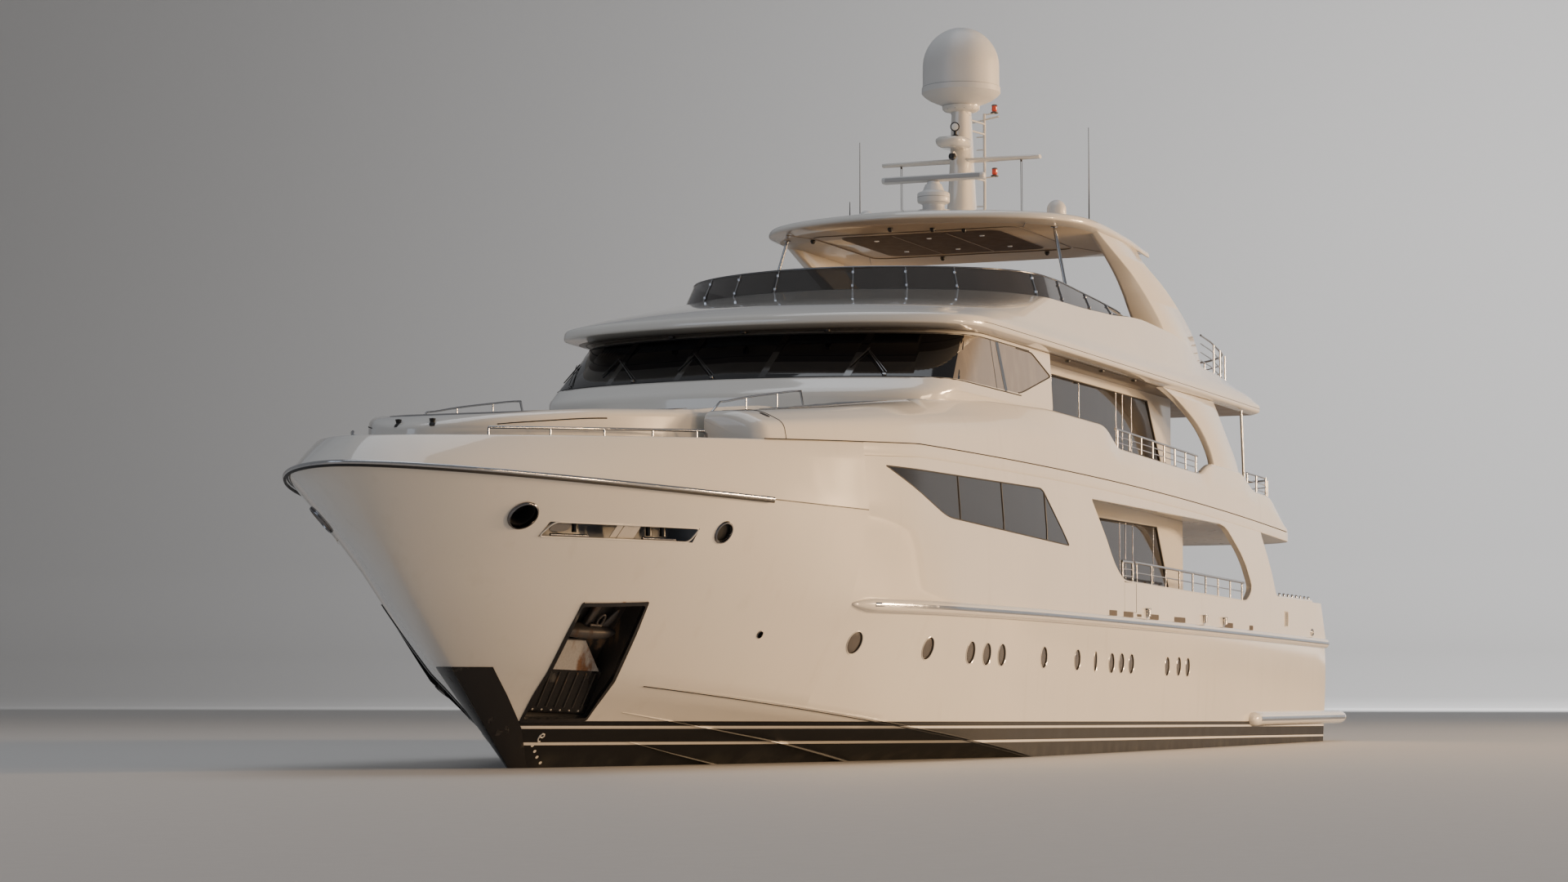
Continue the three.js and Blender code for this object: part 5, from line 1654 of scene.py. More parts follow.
def ring_of(section: Sequence[Pair], count: int) -> Shape:
    """A ring about Z from a closed section of radius and height."""
    rings = [[(r * cos(a), r * sin(a), h) for r, h in section] for a in steps(0, 2 * pi, count)]
    return Shape().loft(rings, start=False, end=False)


def both_sides(shape: Shape) -> Shape:
    """A shape together with its twin to starboard."""
    return Shape().join(shape).join(shape.mirrored(Side.STARBOARD))


@dataclass
class AnchorPocket:
    """The framed pocket in the bow with its anchor.

    Attributes:
        half: half its width, and high half its height.
        back: how deep it is, as y in its own axes.
        brow: y and z of the sloping panel's upper edge, and foot of its lower edge.
    """

    half: float = 0.53
    high: float = 0.97
    back: float = -0.42
    brow: Pair = (-0.16, -0.3)
    foot: Pair = (-0.03, -0.95)

    def build(self, side: Side, skin: Skin) -> None:
        """Makes the frame, the lining and the anchor of one side.

        Args:
            side: the side that it is on.
            skin: the hull's outer surface.
        """
        frame = pocket_frame()
        self.rim(side, skin, frame)
        self.lining(side, frame)
        self.anchor(side, frame)

    def rim(self, side: Side, skin: Skin, frame: Matrix) -> None:
        """The black frame that lies on the hull round the pocket, with a pale line along its top edge that
        paints a highlight.

        Args:
            side: the side that it is on.
            skin: the hull's outer surface.
            frame: the pocket's axes.
        """
        turn = frame.to_3x3()
        rings, bright = [], []
        corners = rounded(frame_of(self.half * 2, self.high * 2), 0.05)
        for x, z in edge_run(corners, 0.12):
            spread = 1 + 0.05 / max(abs(x), abs(z), 0.3)
            ring = []
            for grow, lift in ((0.985, -0.05), (0.985, 0.014), (spread, 0.01), (spread, -0.02)):
                point, _ = skin.hit(frame @ Vector((x * grow, 1.2, z * grow)), turn @ Vector((0, -1, 0)))
                ring.append(point + turn @ Vector((0, lift, 0)))
            rings.append(ring)
            # A pale tube along the top edge only, which paints the highlight there.
            if z > self.high - 0.01:
                bright.append(ring[2])
        made = Shape().loft(rings + rings[:1], start=False, end=False)
        made.on(side, "pocket_frame", BLACK, smooth=50)
        Shape().tube(bright, 0.007, 8).on(side, "pocket_painted_highlight", SCRAPED_AND_PAINTED_LIGHT)

    def lining(self, side: Side, frame: Matrix) -> None:
        """The sloping ribbed panel with its studs, and above it a pale plate that paints light: its slanted
        edge follows a shadow's edge.

        Args:
            side: the side that it is on.
            frame: the pocket's axes.
        """
        (y0, z0), (y1, z1) = self.brow, self.foot
        slope = ((self.back, z0), (y0, z0), (y1, z1), (self.back, z1))
        panel = Shape().loft([[(x, y, z) for y, z in slope] for x in (-0.515, 0.515)])
        panel.placed(frame).on(side, "pocket_panel", BLACK, smooth=20)
        ribs, studs = Shape(), Shape()
        for x in steps(-0.42, 0.42, 7):
            rings = []
            for t in steps(0.04, 0.86, 4):
                y, z = lerp(y0, y1, t), lerp(z0, z1, t)
                rings.append(
                    [
                        (x - 0.014, y - 0.01, z), (x - 0.008, y + 0.018, z), (x + 0.008, y + 0.018, z),
                        (x + 0.014, y - 0.01, z)
                    ]
                )
            ribs.loft(rings)
        for x in steps(-0.4, 0.33, 6):
            profile = ((0, -0.01), (0.018, 0), (0.016, 0.008), (0.008, 0.013), (0, 0.014))
            studs.turned(profile, (x, -0.046, -0.91), (0, 0.94, 0.34), 12)
        ribs.placed(frame).on(side, "pocket_ribs", PLATE, bevel=0.003)
        studs.placed(frame).on(side, "pocket_studs", SCRAPED_AND_PAINTED_LIGHT)
        # Painted light: this pale plate covers only the lit part of the pocket's side, its slanted edge
        # standing for the edge of a shadow.
        outline = ((0.5, 0.12), (-0.1, 0.12), (-0.46, -0.29), (0.5, -0.29))
        rings = [
            [(x, lerp(-0.16, -0.3, (z + 0.29) / 0.41) + lift, z) for x, z in edge_run(outline, 0.5)]
            for lift in (-0.03, 0.004)
        ]
        Shape().loft(rings).placed(frame).on(side, "pocket_painted_light_plate", SCRAPED_AND_PAINTED_LIGHT)

    def anchor(self, side: Side, frame: Matrix) -> None:
        """The stockless anchor: shank, crown, flukes and shackle.

        Args:
            side: the side that it is on.
            frame: the pocket's axes.
        """
        back = self.back + 0.016
        iron = Shape()
        iron.loft(
            [
                [(x, back + 0.065 + y, z) for x, y in oval(half * 2, deep, 16, 4)]
                for z, half, deep in (
                    (0.25, 0.075, 0.12), (0.5, 0.06, 0.1), (0.8, 0.05, 0.08), (0.93, 0.055, 0.08)
                )
            ]
        )
        rings = []
        half_bar = ((0.45, 0.06, 0.05), (0.38, 0.15, 0.1), (0.3, 0.19, 0.14), (0.13, 0.23, 0.17))
        bar = [(-x, deep, tall) for x, deep, tall in half_bar] + list(reversed(half_bar))
        for x, deep, tall in bar:
            rings.append([(x, back + 0.125 + y, 0.31 + z) for y, z in oval(deep, tall, 18, 3)])
        iron.loft(rings)
        flukes = (
            (0.3, 0.22, 0.07, 0.08), (0.42, 0.3, 0.07, 0.06), (0.56, 0.34, 0.05, 0.05),
            (0.66, 0.36, 0.012, 0.02)
        )
        for hand in (-1, 1):
            iron.loft(
                [
                    [(hand * mid + x, back + 0.07 + y, z) for x, y in oval(half * 2, thick, 18, 2.4)]
                    for z, mid, half, thick in flukes
                ]
            )
        loop = [(a - 0.11, back + 0.15, 0.515 + b) for a, b in oval(0.09, 0.2, 24)]
        iron.tube(loop, 0.018, 10, loop=True)
        iron.tube([(-0.16, back + 0.15, 0.43), (0.02, back + 0.15, 0.43)], 0.024, 10)
        iron.placed(frame).on(side, "bow_anchor", IRON, replaces="anchor", smooth=50)


GUARD = (
    (-0.6, 0.1), (0.028, 0.159), (0.288, 0.239), (0.538, 0.322), (0.663, 0.345), (1.009, 0.395),
    (1.372, 0.427)
)


@dataclass
class Bow:
    """The bulwark round the bow, its rub rail and the guard on the stem.

    Attributes:
        rail: radius of the polished rail, and seat that of the rubber under it.
        shares: where the sections of the bulwark are, as shares of its run.
    """

    rail: float = 0.03
    seat: float = 0.02
    shares: list[float] = field(default_factory=lambda: nose_shares(60, 1.9))

    def section(self, share: float) -> list[Vector]:
        """A section of the leaning wall.

        Args:
            share: share of the run from the stem.

        Returns:
            The points.
        """
        points = []
        for line, z, inward, lift in (
            (RAIL, rail_z, 0.0, 0.0003), (CAP, cap_z, 0.0, 0.0), (CAP, cap_z, WALL, 0.0),
            (RAIL, rail_z, WALL, 0.0003)
        ):
            shape = line.inside(inward)
            x = lerp(shape.stem, BREAK, share)
            points.append(
                Vector((x, shape.half(x) if share else 0.0, z(lerp(line.stem, BREAK, share)) + lift))
            )
        middle = points[0].lerp(points[1], 0.5)
        swell = Vector((0.018, 0.018 if share > 0.05 else 0.0, 0))
        points.insert(1, middle + swell * (1 - clamp01(share * 1.1)))
        return rounded(points, (0.0, 0.25, 0.035, 0.035, 0.0), 4)

    def build(self, skin: Skin) -> None:
        """Makes the bulwark, the rail and the guard.

        Args:
            skin: the hull's outer surface.
        """
        round_bow(self.section, self.shares).object(
            "bow_bulwark_shell", HULL_PAINT, replaces=("bow_bulwark",)
        )
        seam = round_bow(self.seam, self.shares)
        seam.object("bow_seam", RUBBER_AND_SHADOW_LINES)
        self.rub_rail()
        self.stem_guard(skin)

    def seam(self, share: float) -> list[Vector]:
        """The dark joint under the bulwark, just above the rail.

        Args:
            share: share of the run from the stem.

        Returns:
            The points.
        """
        x = lerp(RAIL.stem, BREAK, share)
        y = RAIL.half(x) if share else 0.0
        z = rail_z(x)
        out, back, half = 0.004, 0.05, 0.008
        inner = (x - back, max(0.0, y - back))
        outer = (x + out, y + (out if share else 0.0))
        corners = ((inner, -half), (outer, -half), (outer, half), (inner, half))
        return [Vector((*spot, z + lift)) for spot, lift in corners]

    def rub_rail(self) -> None:
        """The polished half-round along the rail line."""
        path = []
        for share in nose_shares(70, 1.7):
            share *= 0.71
            x = lerp(RAIL.stem, BREAK, share)
            y = RAIL.half(x) if share else 0.0
            before = Vector((x - 0.02, RAIL.half(x - 0.02)))
            after = Vector((min(x + 0.02, RAIL.stem), RAIL.half(min(x + 0.02, RAIL.stem))))
            way = (after - before).normalized()
            out = Vector((-way.y, way.x)) if share else Vector((1, 0))
            if out.y < 0:
                out = -out
            path.append(Vector((x + out.x * 0.036, y + out.y * 0.036, rail_z(x))))
        whole = list(reversed(path)) + flip(path[1:])
        Shape().tube(whole, self.rail, 16).object("bow_rail_steel", STEEL, replaces=("bow_rub_rail",))
        lower = [p + Vector((0, 0, -0.036)) for p in whole]
        Shape().tube(lower, self.seat, 8).object("bow_rail_seat", RUBBER_AND_SHADOW_LINES)

    def stem_guard(self, skin: Skin) -> None:
        """The black guard that wraps the foot of the stem.

        Args:
            skin: the hull's outer surface.
        """
        rings = []
        for z in steps(1.372, -0.6, 34):
            edge = along(GUARD, z)
            rings.append([])
            for t in steps(0, 1, 12):
                point, normal = skin.hit((30.0, max(0.001, edge * t), z), (-1, 0, 0))
                rings[-1].append(point + normal * 0.006)
        guard = Shape()
        for hand in (1, -1):
            rows = [[Vector((p.x, p.y * hand, p.z)) for p in ring] for ring in rings]
            guard.loft(rows, start=False, end=False, closed=False)
        guard.object("stem_guard", BLACK)


# Main deck

SIDE_WINDOW = ((9.3, 4.34), (7.0, 3.7), (0.9, 3.51), (2.21, 4.4))
SIDE_OPENING = (
    (-0.52, 4.39), (-1.7, 3.31), (-2.28, 3.02), (-11.3, 2.89), (-11.79, 3.17), (-11.0, 3.8), (-9.87, 4.3),
    (-9.4, 4.37)
)
OPENING_RADII = (0.09, 0.3, 0.4, 0.35, 0.35, 0.6, 0.35, 0.2)
AFT_CUT = ((-13.85, 3.1), (-14.1, 3.04), (-19.5, 3.01), (-19.5, 5.2), (-12.6, 5.2), (-12.7, 4.38))
# X and width of each freeing port
FREEING_PORTS = (
    (-1.63, 0.48), (-2.58, 0.62), (-3.27, 0.3), (-4.27, 0.6), (-6.03, 0.8), (-9.68, 0.8), (-11.6, 0.32)
)
CLEATS = (-3.76, -7.79, -9.32)


def edge_run(outline: Sequence[Point], pitch: float = 0.15) -> list[tuple[float, float]]:
    """Points along a closed outline, no further apart than a pitch.

    Args:
        outline: its corners.
        pitch: the greatest distance between points.

    Returns:
        The points.
    """
    made = []
    corners = [Vector(p) for p in outline]
    for a, b in zip(corners, corners[1:] + corners[:1]):
        count = max(1, ceil((b - a).length / pitch))
        made += [tuple(a.lerp(b, k / count)) for k in range(count)]
    return made


def frame_of(wide: float, high: float) -> list[Pair]:
    """The four corners of a rectangle about the origin."""
    x, y = wide / 2, high / 2
    return [(-x, -y), (x, -y), (x, y), (-x, y)]


@dataclass
class Topside:
    """One full-beam wall of the main deck, with its glass, gate and trim."""

    side: Side
    gate: tuple[float, float, float] = (-2.35, -3.1, 2.48)

    def wall(self, outset: float, thickness: float, count: int = 90) -> Shape:
        """The wall as one curved slab.

        Args:
            outset: how far outside the side's surface it lies.
            thickness: how thick it is.
            count: how many columns it has.

        Returns:
            The slab.
        """
        rings = []
        for x in steps(BREAK - 0.0003, -17.5, count):
            top = cap_z(x) - SLAB - 0.0003
            heights = [lerp(MAIN_DECK + 0.0003, knuckle_z(x), t) for t in (0, 0.5)]
            heights += [lerp(knuckle_z(x), top, t) for t in steps(0, 1, 9)]
            stern = x < -17.4
            outer = [
                Vector((transom_x(min(z, 3.05)) if stern else x, side_y(x, z) + outset, z))
                for z in heights
            ]
            rings.append(outer + [p - Vector((0, thickness, 0)) for p in reversed(outer)])
        return Shape().loft(rings)

    def put(self, shape: Shape, name: str, finish: Finish, **options: object) -> bpy.types.Object:
        """Makes a piece on this side."""
        return shape.on(self.side, name, finish, **options)

    def build(self) -> None:
        """Makes the wall and all that is on it."""
        opening = rounded(SIDE_OPENING, OPENING_RADII, 7)
        window = rounded(SIDE_WINDOW, (0.03, 0.3, 0.07, 0.16), 7)
        whole = self.wall(0.0, WALL).object("skin", HULL_PAINT)
        skin = Skin(whole)
        bpy.data.objects.remove(whole)
        fore, aft, low = self.gate
        wall = self.put(self.wall(0.0, WALL), "topside_wall", HULL_PAINT, replaces="topside")
        cuts = (
            side_prism(window, 2.5, 4.5), side_prism(opening, 2.5, 4.5),
            side_prism(rounded(AFT_CUT, (0.1, 0.12, 0, 0, 0, 0.2), 6), 2.5, 4.5),
            Shape().box((aft - 0.006, 3.0, low - 0.006), (fore + 0.0005, 4.5, 3.4))
        )
        for cut in cuts:
            carve(wall, cut.mirrored(self.side), HULL_PAINT)
        pane = self.put(self.wall(-0.006, 0.04), "saloon_pane", GLASS, replaces="topside_glass")
        carve(pane, side_prism(window, 2.5, 4.5).mirrored(self.side), RUBBER_AND_SHADOW_LINES, "INTERSECT")
        self.edges(skin, window, opening)
        self.boarding_gate(skin)
        self.freeing_ports(skin)
        self.air_vent(skin)
        self.cleats(skin)

    def edges(self, skin: Skin, window: list[Vector], opening: list[Vector]) -> None:
        """The gasket and mullions of the window and the soft lip of the opening.

        Args:
            skin: the wall's outer surface.
            window: the window's outline.
            opening: the side opening's outline.
        """
        gasket = Shape()
        gasket.tube([self.on(skin, x, z, -0.008) for x, z in edge_run(window, 0.2)], 0.014, 8, loop=True)
        for x in (6.4, 4.33, 2.12):
            low = along(((0.9, 3.51), (7.0, 3.7), (9.3, 4.34)), x)
            high = along(((0.9, 3.51), (2.21, 4.4), (9.3, 4.34)), x)
            gasket.tube([self.on(skin, x, z, -0.004) for z in steps(low, high, 6)], 0.012, 8)
        self.put(gasket, "saloon_window_gasket", RUBBER_AND_SHADOW_LINES)
        lip = Shape().tube(
            [self.on(skin, x, z, -0.01) for x, z in edge_run(opening, 0.2)], 0.016, 10, loop=True
        )
        lip.tube([self.on(skin, x, 3.031, -0.06) for x in steps(-14.1, -17.35, 14)], 0.062, 14)
        self.put(lip, "opening_lip", PAINT)

    @staticmethod
    def on(skin: Skin, x: float, z: float, out: float = 0.0) -> Vector:
        """A point at a distance out from the wall."""
        point, normal = skin.side(x, min(z, cap_z(x) - SLAB - 0.002))
        return point + normal * out

    def boarding_gate(self, skin: Skin) -> None:
        """The hinged gate in the bulwark with its rail, hinges and seam.

        Args:
            skin: the wall's outer surface.
        """
        fore, aft, low = self.gate
        panel = self.put(
            self.wall(0.0, WALL, 180), "gate_panel", HULL_PAINT, body="gate", replaces="boarding_gate"
        )
        blank = plan_prism([(fore, 3.6), (fore, 4.0), (aft + 0.035, 4.0), (aft - 0.013, 3.6)], low, 2.995)
        carve(panel, blank.mirrored(self.side), HULL_PAINT, "INTERSECT")
        y = side_y(fore, 2.95) - 0.06
        rail = Shape().tube([(fore - 0.04, y, 3.37), (aft + 0.04, y, 3.37)], 0.024, 16)
        for x in (fore - 0.064, aft + 0.064):
            rail.tube([(x, y, 2.9), (x, y, 3.37)], 0.02, 14)
            rail.turned(((0, 0), (0.04, 0), (0.036, 0.012), (0, 0.014)), (x, y, 2.994), sides=20)
        for z in (3.12, 3.24):
            rail.tube([(fore - 0.064, y, z), (aft + 0.064, y, z)], 0.011, 10)
        self.put(rail, "gate_rail", STEEL, body="gate")
        hinge = Shape()
        for z in (2.6, 2.88):
            spot = Vector((fore - 0.012, y - 0.064, z))
            hinge.tube([spot - Vector((0, 0, 0.04)), spot + Vector((0, 0, 0.04))], 0.009, 12)
        self.put(hinge, "gate_hinges", STEEL, body="gate")
        seam = Shape()
        for x in (fore + 0.001, aft - 0.004):
            seam.tube([self.on(skin, x, z, -0.002) for z in steps(low, 2.99, 6)], 0.004, 6)
        seam.tube([self.on(skin, x, low - 0.004, -0.002) for x in steps(fore, aft, 6)], 0.004, 6)
        self.put(seam, "gate_seam", RUBBER_AND_SHADOW_LINES)

    def freeing_ports(self, skin: Skin) -> None:
        """The long, shallow drain slots above the rub rail, painted dark as the shade in the openings, with
        stains.

        Args:
            skin: the wall's outer surface.
        """
        slots = Shape()
        for x, width in FREEING_PORTS:
            frame = seat(*skin.side(x, self.rub_z(x) + 0.15))
            outline = rounded(frame_of(width, 0.1 if width > 0.31 else 0.05), 0.024, 5)
            slots.join(Shape().prism([(a, b, -0.003) for a, b in outline], (0, 0, 0.005)).placed(frame))
        self.put(slots, "freeing_ports", DRAIN)

    def air_vent(self, skin: Skin) -> None:
        """The slatted vent aft.

        Args:
            skin: the wall's outer surface.
        """
        vent = rounded(frame_of(0.3, 0.32), 0.03)
        frame = seat(*skin.side(-14.77, 2.61))
        back = Shape().prism([(a, b, -0.001) for a, b in vent], (0, 0, 0.0025)).placed(frame)
        # The dark back behind the slats paints the shade in the vent.
        self.put(back, "air_vent_back", DARK)
        grille = Shape()
        for b in steps(-0.14, 0.14, 9):
            slat = ((b - 0.011, 0.0), (b + 0.005, 0.014), (b + 0.011, 0.012), (b - 0.004, 0.0))
            grille.prism([(-0.145, y, z) for y, z in slat], (0.29, 0, 0))
        grille.tube([(a, b, 0.006) for a, b in vent], 0.009, 8, loop=True)
        self.put(grille.placed(frame), "air_vent", PAINT, smooth=30)

    def cleats(self, skin: Skin) -> None:
        """The mooring bitts on the side, the ring aft and the studs on the cap.

        Args:
            skin: the wall's outer surface.
        """
        steel = Shape()
        for x in CLEATS:
            point, normal = skin.side(x, self.rub_z(x) + 0.2)
            plate = rounded(frame_of(0.12, 0.17), 0.03, 5)
            steel.join(
                Shape().prism(
                    [(a, b, -0.002) for a, b in plate], (0, 0, 0.012)
                ).placed(seat(point, normal))
            )
            foot = point + normal * 0.04
            steel.tube([foot + Vector((0, 0, -0.05)), foot + Vector((0, 0, 0.1))], 0.036, 16)
            steel.tube(
                [foot + Vector((-0.075, 0.012, 0.085)), foot + Vector((0.075, 0.012, 0.085))], 0.017, 12
            )
            steel.tube([point + Vector((0, 0, -0.03)), foot + Vector((0, 0, -0.03))], 0.03, 14)
        ring = Shape().tube([(a, b, 0.004) for a, b in oval(0.2, 0.13, 28)], 0.018, 10, loop=True)
        steel.join(ring.placed(seat(*skin.side(-17.27, 2.37))))
        stud = ((0, 0), (0.022, 0), (0.018, 0.03), (0.03, 0.045), (0.02, 0.062), (0, 0.066))
        for x in steps(-14.4, -17.2, 8):
            steel.turned(stud, self.on(skin, x, 3.0, -0.06) + Vector((0, 0, 0.085)), sides=14)
        self.put(steel, "side_cleats", STEEL)

    @staticmethod
    def rub_z(x: float) -> float:
        """Height of the side rub rail."""
        return 2.31 - 0.00042 * max(0.0, 3000 - x * 1000) ** 1.29 / 1000

    def rub_rail(self) -> None:
        """The side rub rail and the quarter rail, each with its steel strip."""
        self.side_rail("fore", [9.9 - 0.9 * (i / 10) ** 1.4 for i in range(10)] + steps(8.9, -0.3, 60))
        self.side_rail("aft", steps(-0.3003, -18.5, 60))
        self.quarter_rail()

    def side_rail(self, name: str, xs: Sequence[float]) -> None:
        """One length of the side rub rail, drawn in towards its forward end.

        Args:
            name: which length it is.
            xs: where its sections are.
        """
        rings, strip = [], []
        section = ((0.06, -0.1), (0.105, -0.07), (0.122, -0.03), (0.122, 0.03), (0.105, 0.07), (0.06, 0.1))
        section = ((-0.004, -0.1), *section, (-0.004, 0.1))
        band = ((-0.01, -0.036), (0.008, -0.03), (0.014, 0.0), (0.008, 0.03), (-0.01, 0.036))
        for x in xs:
            grow = max(0.12, clamp01((9.9 - x) / 0.55) ** 0.5)
            z = self.rub_z(x)
            y = side_y(x, z)
            rings.append([(x, y + max(-0.004, a * grow), z + b * grow) for a, b in section])
            if x < 9.55:
                strip.append([(x, y + 0.118 * grow + a, z + b) for a, b in band])
        solid = f"side_rub_rail_{name}"
        self.put(Shape().loft(rings), f"side_rail_{name}", PAINT, replaces=solid, smooth=60)
        self.put(Shape().loft(strip), f"side_rail_strip_{name}", STEEL, smooth=60)

    def quarter_rail(self) -> None:
        """The heavy rail low on the quarter."""
        fore = ((-11.75, 0.25), (-11.8, 0.6), (-11.9, 0.85), (-12.05, 1.0))
        ends = ((-20.3, 0.9), (-20.4, 0.65), (-20.43, 0.3))
        rings, strip = [], []
        for x, grow in (*fore, *((x, 1.0) for x in steps(-12.4, -20.1, 50)), *ends):
            y = side_y(x, 0.53)
            rings.append(
                [
                    (x, y + max(-0.05, 0.19 * grow * cos(a)), 0.53 + 0.15 * grow * sin(a))
                    for a in steps(-1.75, 1.75, 13)
                ]
            )
        band = ((-0.02, -0.05), (0.004, -0.045), (0.012, 0.0), (0.004, 0.045), (-0.02, 0.05))
        for x in steps(-12.1, -20.1, 50):
            y = side_y(x, 0.53) + 0.184
            strip.append([(x, y + a, 0.53 + b) for a, b in band])
        self.put(Shape().loft(rings), "quarter_rail", PAINT, replaces="quarter_fender", smooth=60)
        self.put(Shape().loft(strip), "quarter_rail_strip", STEEL, smooth=60)


@dataclass
class Stern:
    """The swim platform with its teak and the transom's trim."""

    def build(self) -> None:
        """Makes the platform, its cleats and the transom door's seam."""
        outline = [(-18.9003, 3.5), (-20.05, 3.5), (-20.43, 3.25), (-20.55, 2.6)]
        outline += [(x, -y) for x, y in reversed(outline)]
        outer = rounded(outline, (0, 0.5, 0.3, 0.5, 0.5, 0.3, 0.5, 0), 7)
        platform = Shape().loft(
            [
                [(x if x > -18.95 else x + inset, y * (1 - inset / 3.6), z) for x, y in outer]
                for z, inset in (
                    (0.38, 0.12), (0.41, 0.06), (0.47, 0.004), (0.61, 0.0), (0.64, 0.01), (0.65, 0.035)
                )
            ]
        ).object("swim_platform_shell", PAINT, replaces=("swim_platform",))
        paint_faces(platform, TEAK, lambda p, n: n.z > 0.9 and p.z > 0.64)
        steel = Shape()
        for hand in (1, -1):
            hoop = [(-20.2, hand * y, z) for y, z in ((2.9, 0.66), (2.9, 0.72), (2.55, 0.72), (2.55, 0.66))]
            steel.tube(hoop, 0.016, 10)
        steel.object("platform_cleats", STEEL)
        edge = edge_run(rounded([(-1.25, 0.9), (1.25, 0.9), (1.25, 2.0), (-1.25, 2.0)], 0.12), 0.2)
        seam = Shape().tube([(transom_x(z) - 0.001, y, z) for y, z in edge], 0.008, 8, loop=True)
        seam.object("transom_door_seam", RUBBER_AND_SHADOW_LINES)


# Upper deck

CAP_TOP = (
    (-15.3, 4.56), (-14.84, 4.8), (-14.0, 5.15), (-12.47, 5.2), (-11.5, 5.51), (-9.0, 5.53),
    (-8.27, 5.28), (-2.51, 5.4), (-1.77, 5.75), (1.35, 5.8), (4.0, 5.73), (7.0, 5.52), (10.0, 5.18),
    (12.3, 4.95)
)
LEAN = ((-2.5, 0.06), (1.0, 0.13), (5.0, 0.33), (7.5, 0.42))
PILLAR = (
    (5.25, -9.5, -11.45, 3.6), (5.7, -9.35, -11.15, 3.57), (6.2, -8.6, -10.55, 3.53),
    (6.6, -7.3, -10.1, 3.49), (6.7997, -6.2, -9.85, 3.47)
)
SHOULDER_INNER = 2.25
SHOULDER_FRONT = 12.5
HOUSE_SIDE = 7.1


